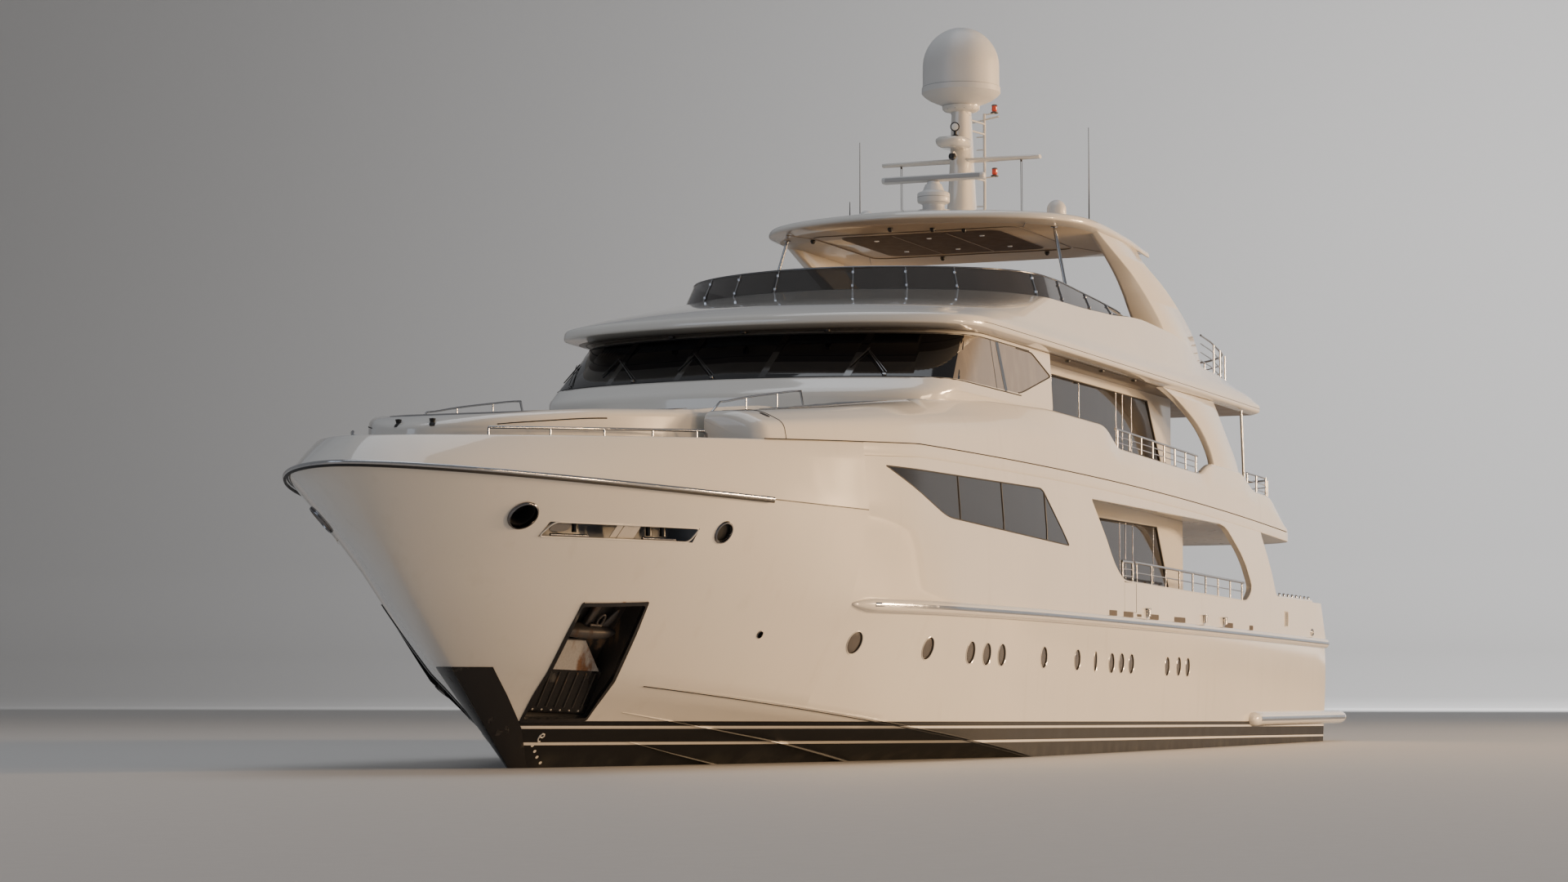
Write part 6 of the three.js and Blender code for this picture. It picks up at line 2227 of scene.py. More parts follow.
@dataclass
class UpperDeck:
    """The upper deck's slab, bulwarks and shoulders.

    Attributes:
        nose: radius of the shoulder's forward end.
    """

    nose: float = 0.2

    def build(self) -> None:
        """Makes the slab and both bulwarks."""
        rings = []
        for x in steps(BREAK - 0.0003, -15.3, 90) + steps(-15.36, -15.9, 12):
            edge, z = deck_edge(x), cap_z(x)
            corners = ((0.0, z - SLAB), (edge, z - SLAB), (edge, z), (0.0, z))
            port = rounded([(x, a, b) for a, b in corners], 0.02, 3, closed=False)
            rings.append(port + flip(reversed(port[1:-1])))
        slab = Shape().loft(rings).object("upper_deck_slab", HULL_PAINT, replaces=("upper_deck",))
        paint_faces(slab, TEAK, lambda p, n: n.z > 0.95)
        # The slab's underside gets the darker beige, a painted shade.
        paint_faces(slab, SOFFIT, lambda p, n: n.z < -0.9)
        for side in BOTH:
            self.bulwark(side)
            self.pillar(side)
            self.seams(side)
            self.shoulder_trim(side)

    @staticmethod
    def ring(x: float, drop: float = 0.0, draw: float = 0.0) -> list[Vector]:
        """A section of the bulwark or shoulder.

        Args:
            x: where it is.
            drop: how far its top is lowered.
            draw: how far its side is drawn in.

        Returns:
            The points.
        """
        low = cap_z(x) + 0.0003
        high = eased(CAP_TOP, x, 0.22) - drop
        lean = eased(LEAN, x, 0.6)
        edge = deck_edge(x) - 0.003 - draw
        inner = SHOULDER_INNER if x > HOUSE_SIDE else edge - lean - BULWARK
        points = (
            (edge, low), (edge - 0.1 * lean, lerp(low, high, 0.55)), (edge - lean, high), (inner, high),
            (inner, low)
        )
        soft = min(0.34, 0.03 + lean * 0.75)
        return rounded([(x, y, z) for y, z in points], (0, soft, soft, 0.05, 0), 9)

    def bulwark(self, side: Side) -> None:
        """The shoulder and the low wall aft of it.

        Args:
            side: the side that it is on.
        """
        rings = []
        for k in range(9):
            turn = pi / 2 * k / 8
            fall = self.nose * (1 - sin(turn))
            rings.append(self.ring(SHOULDER_FRONT - self.nose * (1 - cos(turn)), fall * 0.55, fall))
        xs = steps(12.2, HOUSE_SIDE + 0.001, 36) + steps(HOUSE_SIDE - 0.06, -15.3, 150)
        shape = Shape().loft(rings + [self.ring(x) for x in xs])
        shape.on(side, "upper_wall", HULL_PAINT, replaces="upper_bulwark", smooth=50)

    @staticmethod
    def pillar(side: Side) -> None:
        """The swept pillar under the roof.

        Args:
            side: the side that it is on.
        """
        rings = []
        for z, fore, aft, outer in spline(PILLAR, 6):
            inner = outer - BULWARK
            corners = ((fore, outer), (fore, inner), (aft, inner), (aft, outer))
            rings.append(rounded([(x, y, z) for x, y in corners], 0.047, 4))
        Shape().loft(rings).on(side, "swept_pillar", PAINT, smooth=50)

    def seams(self, side: Side) -> None:
        """The dark joints along the deck's edge and round the shoulder's nose.

        Args:
            side: the side that it is on.
        """
        run = [(x, deck_edge(x) + 0.0005, cap_z(x) + 0.004) for x in steps(SHOULDER_FRONT - 0.05, -15.2, 120)]
        line = Shape().tube(run, 0.0075, 6)
        line.tube([p + Vector((0, 0.002, 0.002)) for p in self.ring(11.95)[1:-6]], 0.005, 6)
        line.on(side, "deck_edge_seam", RUBBER_AND_SHADOW_LINES)

    @staticmethod
    def shoulder_trim(side: Side) -> None:
        """The dark pad with its hatch seams, the handrail and the fairlead on the shoulder.

        Args:
            side: the side that it is on.
        """
        pad, seams = [], Shape()
        for x in steps(10.9, 7.75, 20):
            z = eased(CAP_TOP, x, 0.22)
            inner, edge = SHOULDER_INNER + 0.16, deck_edge(x) - eased(LEAN, x, 0.6) - 0.2
            pad.append(
                [(x, inner, z - 0.002), (x, edge, z - 0.002), (x, edge, z + 0.004), (x, inner, z + 0.004)]
            )
        for ring in pad[3::5]:
            seams.tube([ring[2], ring[3]], 0.006, 6)
        Shape().loft(pad).on(side, "shoulder_pad", GREY_GRIP)
        seams.on(side, "shoulder_pad_seams", SOFFIT)
        rail = Shape()
        y = SHOULDER_INNER + 0.07
        run = [(x, y, eased(((9.1, 5.51), (11.1, 5.25), (12.2, 5.07)), x, 0.4)) for x in steps(12.1, 9.1, 14)]
        low = [(x, y, eased(CAP_TOP, x, 0.2) - 0.02) for x in (12.4, 9.0)]
        rail.tube(low[:1] + run + low[1:], 0.016, 10)
        for x, _, z in (run[4], run[9]):
            rail.tube([(x, y, eased(CAP_TOP, x, 0.2) - 0.01), (x, y, z)], 0.011, 10)
        rail.on(side, "shoulder_handrail", STEEL)
        skin = Skin(bpy.data.objects[f"upper_wall_{side.tag}"])
        point, normal = skin.hit((13.5, side.value * 2.97, 4.9), (-1, 0, 0))
        hole = Shape().prism([(a, b, -0.01) for a, b in oval(0.16, 0.09, 24)], (0, 0, 0.013))
        # The dark oval paints the shade in the hole.
        hole.placed(seat(point, normal, (0, 1, 0))).object(f"shoulder_drain_{side.tag}", DARK)


HOUSE_LEVELS = (
    (4.7, 7.33, 3.38), (5.6, 7.305, 3.44), (5.66, 7.285, 3.455), (5.71, 7.25, 3.47), (5.76, 7.18, 3.49),
    (5.83, 7.06, 3.498), (5.9, 6.96, 3.5), (6.7997, 5.7, 3.45)
)
CUT_LEVELS = ((4.6, 7.33, 3.38), *HOUSE_LEVELS[1:-1], (6.9, 5.56, 3.44))
HOUSE_AFT = 0.6
SILL = 5.94
HEAD = 6.74
SIDE_LIGHT = ((9.0, SILL), (2.35, SILL + 0.03), (0.62, 6.4), (1.62, HEAD - 0.02), (9.0, HEAD))
FRONT_POSTS = (-2.05, -0.73, 0.73, 2.05)
# Each side post's x at the sill and at the head, and its width
SIDE_POSTS = ((5.34, 4.63, 0.07), (3.06, 3.42, 0.16), (3.52, 3.75, 0.03))
# Each wiper's foot and tip, from starboard to port
WIPERS = (
    ((-2.95, 5.99), (-3.2, 6.4)), ((-1.58, 6.0), (-2.2, 6.43)), ((-0.12, 5.99), (-0.7, 6.42)),
    ((2.57, 5.99), (2.13, 6.42))
)


@dataclass
class Pilothouse:
    """The pilothouse with its band of windows."""

    wall: float = 0.12

    @staticmethod
    def form(outset: float, levels: Sequence[Point] = HOUSE_LEVELS, count: int = 60) -> Shape:
        """The house as a solid, moved outwards by an outset.

        Args:
            outset: how far outside the house it lies.
            levels: height, nose and beam of each level.
            count: how many points each side of a level has.

        Returns:
            The shape.
        """
        rings = []
        for z, nose, beam in levels:
            line = Line(nose + outset, 1.9, beam + outset, 2.8)
            port = [row(line, HOUSE_AFT, z)(s) for s in nose_shares(count, 2.4)]
            rings.append(port + flip(reversed(port[1:])))
        return Shape().loft(rings)

    def build(self) -> None:
        """Makes the shell, the glass, its posts and the wipers."""
        shell = self.form(0.0).object("pilothouse_shell", PAINT, replaces=("pilothouse",), smooth=30)
        skin = Skin(shell)
        # The inside of the hollow house is darkened, as painted shade.
        carve(shell, self.form(-self.wall, CUT_LEVELS, 30), SOFFIT)
        carve(shell, Shape().box((HOUSE_AFT - 0.1, -3.3, 4.6), (3.0, 3.3, 6.9)), SOFFIT)
        light = rounded(SIDE_LIGHT, (0, 0.25, 0.12, 0.1, 0), 7)
        band = side_prism(light, -4.5, 4.5)
        # The edges cut round the window band are painted near-black as shade.
        carve(shell, band, DARK)
        glass = self.form(-0.004, count=90).object(
            "pilothouse_panes", SCREEN_GLASS, replaces=("pilothouse_glass",), smooth=30
        )
        carve(glass, self.form(-0.049, CUT_LEVELS, 60), GLASS)
        carve(glass, band, RUBBER_AND_SHADOW_LINES, "INTERSECT")
        carve(glass, Shape().box((HOUSE_AFT - 0.2, -3.4, 4.6), (HOUSE_AFT + 0.06, 3.4, 6.9)), RUBBER_AND_SHADOW_LINES)
        # The side panes get the pale glass, whose colour is a painted reflection.
        paint_faces(glass, SIDE_GLASS_PAINTED_REFLECTION, lambda p, n: abs(n.y) > 0.75)
        self.posts(skin)
        self.gasket(skin, light)
        self.wipers(skin)

    @staticmethod
    def across(skin: Skin, y: float, z: float, out: float) -> Vector:
        """A point out from the front at y and z."""
        point, normal = skin.hit((12.0, y, z), (-1, 0, 0))
        return point + normal * out

    def posts(self, skin: Skin) -> None:
        """The dark posts between the panes.

        Args:
            skin: the house's outer surface.
        """
        bars = Shape()
        heights = steps(SILL + 0.006, HEAD - 0.006, 8)
        for y in FRONT_POSTS:
            section = ((-0.06, -0.006), (-0.055, 0.0), (0.055, 0.0), (0.06, -0.006))
            bars.loft([[self.across(skin, y + d, z, out) for d, out in section] for z in heights])
        for low, high, width in SIDE_POSTS:
            edge = width / 2
            section = ((-edge, -0.006), (0.006 - edge, 0.0), (edge - 0.006, 0.0), (edge, -0.006))
            rings = []
            for k, z in enumerate(heights):
                x = lerp(low, high, k / 7)
                spots = ((skin.side(x + d, z), out) for d, out in section)
                rings.append([point + normal * out for (point, normal), out in spots])
            bars.loft(rings)
            bars.loft([flip(ring) for ring in rings])
        bars.object("window_posts", POST_BLACK)

    def gasket(self, skin: Skin, light: Sequence[Vector]) -> None:
        """The seal round the whole band of glass.

        Args:
            skin: the house's outer surface.
            light: the side window's outline.
        """
        seal = Shape()
        for z in (SILL + 0.002, HEAD - 0.002):
            path = [self.across(skin, y, z, 0.0) for y in steps(0, 3.1, 34)]
            tail = [skin.side(x, z)[0] for x in steps(path[-1].x - 0.25, 2.3 if z < 6 else 1.75, 14)]
            seal.tube(flip(path[1:] + tail)[::-1] + path + tail, 0.011, 8)
        run = [p for p in edge_run(light, 0.12) if HOUSE_AFT + 0.07 < p[0] < 2.45]
        port = [skin.side(x, z)[0] for x, z in run]
        seal.tube(port, 0.011, 8)
        seal.tube(flip(port), 0.011, 8)
        seal.object("window_gasket", RUBBER_AND_SHADOW_LINES)

    def wipers(self, skin: Skin) -> None:
        """The double-armed wipers, each with its thin blade.

        Args:
            skin: the house's outer surface.
        """
        arms, blades = Shape(), Shape()
        for (foot_y, foot_z), (tip_y, tip_z) in WIPERS:
            foot = self.across(skin, foot_y, foot_z, 0.035)
            tip = self.across(skin, tip_y, tip_z, 0.035)
            arms.tube([foot, tip], 0.007, 8)
            arms.tube([foot + Vector((0, 0.055, 0)), tip + Vector((0, 0.03, -0.01))], 0.006, 8)
            point, normal = skin.hit((12, foot_y + 0.02, foot_z - 0.02), (-1, 0, 0))
            arms.turned(((0, 0), (0.036, 0), (0.03, 0.036), (0, 0.042)), point - normal * 0.004, normal, 16)
            high = self.across(skin, tip_y + 0.03, tip_z + 0.03, 0.014)
            low = self.across(skin, tip_y - 0.1, tip_z - 0.3, 0.014)
            blades.tube([high, low], 0.009, 6)
        arms.object("wiper_arms", CHROME_DARK_REFLECTION)
        blades.object("wiper_blades", RUBBER_AND_SHADOW_LINES)


@dataclass
class Trunk:
    """The raised centre of the foredeck and what stands on it."""

    tops: tuple[Pair, ...] = (
        (7.0, 5.28), (10.0, 5.22), (11.5, 5.08), (12.4, 4.97), (13.0, 4.93), (15.0, 4.8), (16.2, 4.66),
        (17.0, 4.5)
    )
    edge: Line = Line(16.75, 4.3, 2.07, 1.7, 1.7)

    def top(self, x: float) -> float:
        """Height of its top."""
        return eased(self.tops, x, 0.25)

    def build(self) -> None:
        """Makes the trunk, its pads and the gear ahead of it."""
        rows = [
            row(Line(16.95, 4.3, 2.18, 1.7, 1.7), 6.0, 3.6),
            row(Line(16.85, 4.3, 2.13, 1.7, 1.7), 6.0, lambda x: self.top(x) - 0.06),
            row(self.edge, 6.0, self.top)
        ]
        nose_form(rows, (0, 0.05, 0.06), 70).object("trunk_shell", PAINT, replaces=("foredeck_trunk",))
        self.pads()
        self.deck_gear()

    def pads(self) -> None:
        """The non-slip pads on top, and along each side a dark tube that paints the shade in a slot."""
        grip = Shape()
        for start, end, low, high in ((15.9, 14.6, -1.0, 1.0), (13.6, 11.4, -1.5, 1.5)):
            rings = []
            for x in steps(start, end, 10):
                half = self.edge.half(x) - 0.22
                a, b, z = max(low, -half), min(high, half), self.top(x)
                rings.append([(x, a, z - 0.003), (x, b, z - 0.003), (x, b, z + 0.004), (x, a, z + 0.004)])
            grip.loft(rings)
        grip.object("trunk_grip", GREY_GRIP)
        outer = Line(16.85, 4.3, 2.13, 1.7, 1.7)
        # Painted shade: a dark tube along each side stands for the shadow inside a slot.
        slot = Shape()
        for hand in (1, -1):
            slot.tube(
                [(x, hand * (outer.half(x) - 0.002), self.top(x) - 0.13) for x in steps(16.2, 14.6, 12)],
                0.012, 6
            )
        slot.object("trunk_slot_shade", RUBBER_AND_SHADOW_LINES)

    @staticmethod
    def deck_gear() -> None:
        """The windlasses and the small fittings on the foredeck."""
        steel, dark = Shape(), Shape()
        drum = (
            (0, 0), (0.17, 0), (0.17, 0.05), (0.12, 0.08), (0.11, 0.2), (0.15, 0.26), (0.15, 0.3),
            (0.11, 0.33)
        )
        for hand in (1, -1):
            steel.turned((*drum, (0, 0.34)), (17.25, hand * 0.34, rail_z(17.25) - 0.01), sides=28)
            foot = Vector((16.72, hand * 0.25, 4.48))
            dark.turned(
                ((0, 0), (0.06, 0), (0.05, 0.03), (0.03, 0.05), (0.045, 0.1), (0, 0.11)), foot, sides=20
            )
        steel.object("windlasses", STEEL)
        dark.object("foredeck_fittings", BLACK_ARM)


# Flybridge

COAMING = (
    (-13.25, 7.05), (-12.95, 7.15), (-12.3, 7.3), (-11.05, 7.43), (-9.52, 7.48), (-8.92, 7.69),
    (-8.34, 7.84), (-7.48, 7.93), (-5.27, 7.98), (-4.47, 7.95), (-3.44, 7.87), (-1.46, 7.80), (1.0, 7.76),
    (3.0, 7.77)
)
COAMING_LINE = Line(3.0, 2.8, 3.4, 2.3, 1.7)
BROW_UNDER = Line(6.05, 2.1, 3.52, 3.2, 1.8)
BROW_EDGE = Line(6.33, 2.2, 3.7, 3.2, 1.8)
BROW_UPPER = Line(6.3, 2.2, 3.7, 3.2, 1.8)
FLY_AFT = -13.25
FLY_FLOOR = 7.0
BROW_Z = 6.8
SCREEN_TOP = ((-4.5, 8.01), (-4.35, 8.04), (-3.1, 8.1), (-0.7, 8.19), (3.0, 8.16))
SCREEN_POSTS = (0.012, 0.05, 0.108, 0.29, 0.46, 0.68, 0.86)


def coaming_z(x: float) -> float:
    """Height of the coaming round the flybridge."""
    return eased(COAMING, x, 0.2)


def round_line(line: Line, end: float, z: float, count: int = 70) -> list[Vector]:
    """Points along a line at a height, from its aft end to port round to starboard."""
    port = [row(line, end, z)(s) for s in nose_shares(count)]
    return port[::-1] + flip(port[1:])


@dataclass
class Flybridge:
    """The roof with its brow, the coaming, the smoked screen and its rail.

    Attributes:
        inset: how thick the coaming is.
        aft: where the screen ends.
        pane: how thick its panes are.
    """

    inset: float = 0.16
    aft: float = -4.5
    pane: float = 0.014

    def build(self) -> None:
        """Makes the roof and the screen."""
        rows = [
            row(BROW_UNDER, FLY_AFT, BROW_Z), row(BROW_EDGE, FLY_AFT, 6.85),
            row(BROW_UPPER, FLY_AFT, 7.0),
            row(Line(5.75, 2.4, 3.61, 2.8, 1.7), FLY_AFT, lambda x: min(7.18, coaming_z(x) - 0.03)),
            row(COAMING_LINE, FLY_AFT, coaming_z)
        ]
        body = nose_form(rows, (0, 0.05, 0.09, 0.7, 0.05), 90)
        roof = body.object("flybridge_shell", PAINT, replaces=("fly_deck",), smooth=50)
        inside = COAMING_LINE.inside(self.inset)
        recess = nose_form([row(inside, FLY_AFT - 0.2, z) for z in (FLY_FLOOR, 8.4)], 0.0, 50)
        carve(roof, recess, PAINT, smooth=50)
        paint_faces(roof, TEAK, lambda p, n: n.z > 0.99 and abs(p.z - FLY_FLOOR) < 0.01)
        # The whole underside of the roof gets the dark brown, a painted shade.
        paint_faces(roof, BROW_SHADE_AND_TRIM, lambda p, n: n.z < -0.99)
        self.soffit()
        self.screen()

    @staticmethod
    def soffit() -> None:
        """The joint lines and downlights under the brow."""
        seam = Shape().tube(round_line(BROW_UNDER.inside(0.07), -9.0, BROW_Z), 0.006, 6)
        seam.tube(round_line(BROW_UPPER, FLY_AFT, 6.925), 0.005, 6)
        seam.object("brow_joints", RUBBER_AND_SHADOW_LINES)
        lamps, rims = Shape(), Shape()
        ahead = ((5.82, 0.0), (5.6, 1.36), (4.95, 2.45))
        beside = tuple((x, 3.38) for x in (3.4, 2.3, 1.3, -0.6, -2.6, -4.6, -6.6))
        for x, y in ahead + beside:
            for hand in (1, -1) if y else (1,):
                spot = (x, hand * y, BROW_Z)
                rims.turned(((0.03, 0), (0.055, 0), (0.05, -0.03), (0.03, -0.034), (0.03, 0)), spot, sides=20)
                lamps.turned(((0, 0.004), (0.031, 0.004), (0.03, -0.03), (0, -0.034)), spot, sides=16)
        rims.object("downlight_rims", BLACK_ARM)
        lamps.object("downlight_lenses", DARK)

    def at(self, share: float, rise: float, inboard: float) -> Vector:
        """A point on the screen: share of its run, of its height, and how far inboard.

        Args:
            share: share of its run.
            rise: share of its height.
            inboard: how far inboard it is.

        Returns:
            The point.
        """
        back = inboard + 0.15 * rise
        line = Line(2.91 - back, 2.8, 3.355 - back, 2.3, 1.7)
        x = lerp(line.stem, self.aft, share)
        z = lerp(coaming_z(x) - 0.02, eased(SCREEN_TOP, x, 0.12), rise)
        return Vector((x, line.half(x) if share else 0.0, z))

    def screen(self) -> None:
        """The smoked panes, their posts, clamps and top rail."""
        shares = nose_shares(80, 1.9)

        def section(share: float) -> list[Vector]:
            """The panes' section at a share of their run."""
            points = [self.at(share, r, 0.0) for r in steps(0, 1, 4)]
            return points + [self.at(share, r, self.pane) for r in steps(1, 0, 4)]

        def run(rise: float, lift: float) -> list[Vector]:
            """A line along the whole screen at a share of its height."""
            port = [self.at(s, rise, self.pane / 2) + Vector((0, 0, lift)) for s in shares]
            return port[::-1] + flip(port[1:])

        round_bow(section, shares).object("screen_panes", SMOKE, replaces=("fly_windscreen",))
        Shape().tube(run(1, 0.014), 0.016, 12).object(
            "screen_rail", CHROME_DARK_REFLECTION, replaces=("fly_screen_rail",)
        )
        Shape().tube(run(0, 0.024), 0.014, 8).object("screen_seal", RUBBER_AND_SHADOW_LINES)
        posts = Shape()
        for share in SCREEN_POSTS:
            low, high = self.at(share, 0.05, -0.012), self.at(share, 1.0, -0.012)
            for a, b in ((low, high), tuple(flip((low, high)))):
                posts.tube([a, b], 0.011, 10)
                posts.turned(((0, 0), (0.032, 0), (0.026, 0.01), (0, 0.014)), a, sides=16)
                for t in (0.2, 0.8):
                    posts.box(
                        a.lerp(b, t) - Vector((0.02, 0.02, 0.02)),
                        a.lerp(b, t) + Vector((0.02, 0.02, 0.02))
                    )
        posts.object("screen_posts", STEEL, bevel=0.002)


# Height, forward edge, aft edge, outer side and width of the slanted forward facet
LEG = (
    (9.43, -3.45, -5.9, 3.06, 0.1), (9.2, -4.25, -6.25, 3.09, 0.15), (8.87, -5.4, -7.46, 3.13, 0.25),
    (8.57, -6.15, -8.3, 3.16, 0.32), (8.37, -6.6, -8.78, 3.175, 0.37), (8.07, -7.18, -9.35, 3.195, 0.42),
    (7.7, -7.65, -9.75, 3.205, 0.44), (7.15, -8.15, -10.15, 3.21, 0.45)
)
LEG_THICK = 0.2
# Radius and height of the flange at a pole's foot
FLANGE = ((0, 0), (0.07, 0), (0.06, 0.015), (0.036, 0.03), (0, 0.03))
DROOP = ((-6.7, 0.17), (-5.5, 0.06), (-4.0, 0.0))
STRUT = ((-1.95, 3.165, 7.0), (-2.35, 2.59, 9.4))


@dataclass
class Hardtop:
    """The hardtop over the flybridge with its legs, lining and struts."""

    under: float = 9.4
    aft: float = -6.7

    def build(self) -> None:
        """Makes the roof, the legs and the lining."""
        rows = [
            row(Line(-1.05, 2.6, 3.0, 2.8, 1.7), self.aft, self.under),
            row(
                Line(-0.74, 2.7, 3.15, 2.8, 1.7), self.aft, lambda x: self.under + 0.07 - eased(DROOP, x)
            ),
            row(
                Line(-0.79, 2.7, 3.13, 2.8, 1.7), self.aft, lambda x: self.under + 0.19 - eased(DROOP, x)
            ),
            row(Line(-1.5, 2.7, 2.48, 2.6), self.aft, self.under + 0.33)
        ]
        body = nose_form(rows, (0, 0.06, 0.1, 0.5), 80)
        roof = body.object("hardtop_shell", PAINT, replaces=("hardtop",), smooth=50)
        paint_faces(roof, LINING, lambda p, n: n.z < -0.99)
        for side in BOTH:
            self.leg().on(side, "hardtop_leg", PAINT, smooth=40)
            self.strut().on(side, "hardtop_strut_tube", STEEL, replaces="hardtop_strut")
        self.lining()

    @staticmethod
    def leg() -> Shape:
        """The port leg with the slanted facet along its forward edge.

        Returns:
            The shape.
        """
        rings = []
        for z, fore, aft, outer, facet in spline(LEG, 5):
            inner = outer - LEG_THICK
            plan = (
                (fore, outer), (fore + facet, outer - facet), (fore + facet - 0.06, outer - facet - 0.06),
                (fore - LEG_THICK, inner), (aft, inner), (aft, outer)
            )
            rings.append(rounded([(x, y, z) for x, y in plan], 0.025, 3))
        return Shape().loft(rings)

    @staticmethod
    def strut() -> Shape:
        """The port strut with a flange at each end.

        Returns:
            The shape.
        """
        foot, head = STRUT
        made = Shape().tube([foot, head], 0.032, 20)
        made.turned(FLANGE, foot, sides=24)
        made.turned(((0, -0.014), (0.06, -0.014), (0.07, -0.002), (0, 0)), head, sides=24)
        return made

    def lining(self) -> None:
        """The brown inset, its trim and the lamps under the hardtop."""
        outline = rounded([(-2.3, -1.55), (-2.3, 1.55), (-5.1, 1.55), (-5.1, -1.55)], 0.25, 7)
        inset = [[(x, y, z) for x, y in outline] for z in (self.under + 0.002, self.under - 0.012)]
        Shape().loft(inset).object("hardtop_inset", INSET, bevel=0.004)
        trim = Shape()
        for grow in (1.0, 1.3):
            run = [
                (-3.7 + (x + 3.7) * (1 + (grow - 1) * 0.7), y * grow, self.under - 0.004)
                for x, y in outline
            ]
            trim.tube(run, 0.012, 8, loop=True)
        for y in (-0.52, 0.52):
            trim.tube([(-2.35, y, self.under - 0.012), (-5.05, y, self.under - 0.012)], 0.008, 8)
        for hand in (1, -1):
            trim.tube([(-2.2, hand * 2.05, self.under), (-1.6, hand * 2.3, self.under)], 0.008, 8)
            trim.tube([(-5.2, hand * 2.05, self.under), (-6.2, hand * 2.4, self.under)], 0.008, 8)
        trim.object("hardtop_trim", BROW_SHADE_AND_TRIM)
        lamps, knobs = Shape(), Shape()
        for x in (-2.9, -4.5):
            for y in (-1.03, 0.0, 1.03):
                lamps.turned(
                    ((0, 0), (0.05, 0), (0.045, -0.012), (0, -0.016)), (x, y, self.under - 0.01), sides=20
                )
        for x, y in ((-1.4, -0.2), (-1.7, 0.5), (-2.4, -2.1), (-2.0, 1.0), (-5.6, -0.7), (-5.6, 1.4)):
            knobs.turned(
                ((0, 0.002), (0.045, 0.002), (0.05, -0.03), (0.03, -0.07), (0, -0.08)),
                (x, y, self.under), sides=20
            )
        lamps.object("hardtop_lamps", LAMP)
        knobs.object("hardtop_knobs", BLACK_ARM)


MAST = -4.7
RADAR = MAST + 1.55
MAST_LEVELS = (
    (9.65, 0.62, -0.76, 0.33), (9.8, 0.5, -0.64, 0.29), (10.05, 0.38, -0.52, 0.25),
    (11.0, 0.27, -0.44, 0.2), (12.06, 0.21, -0.33, 0.165)
)


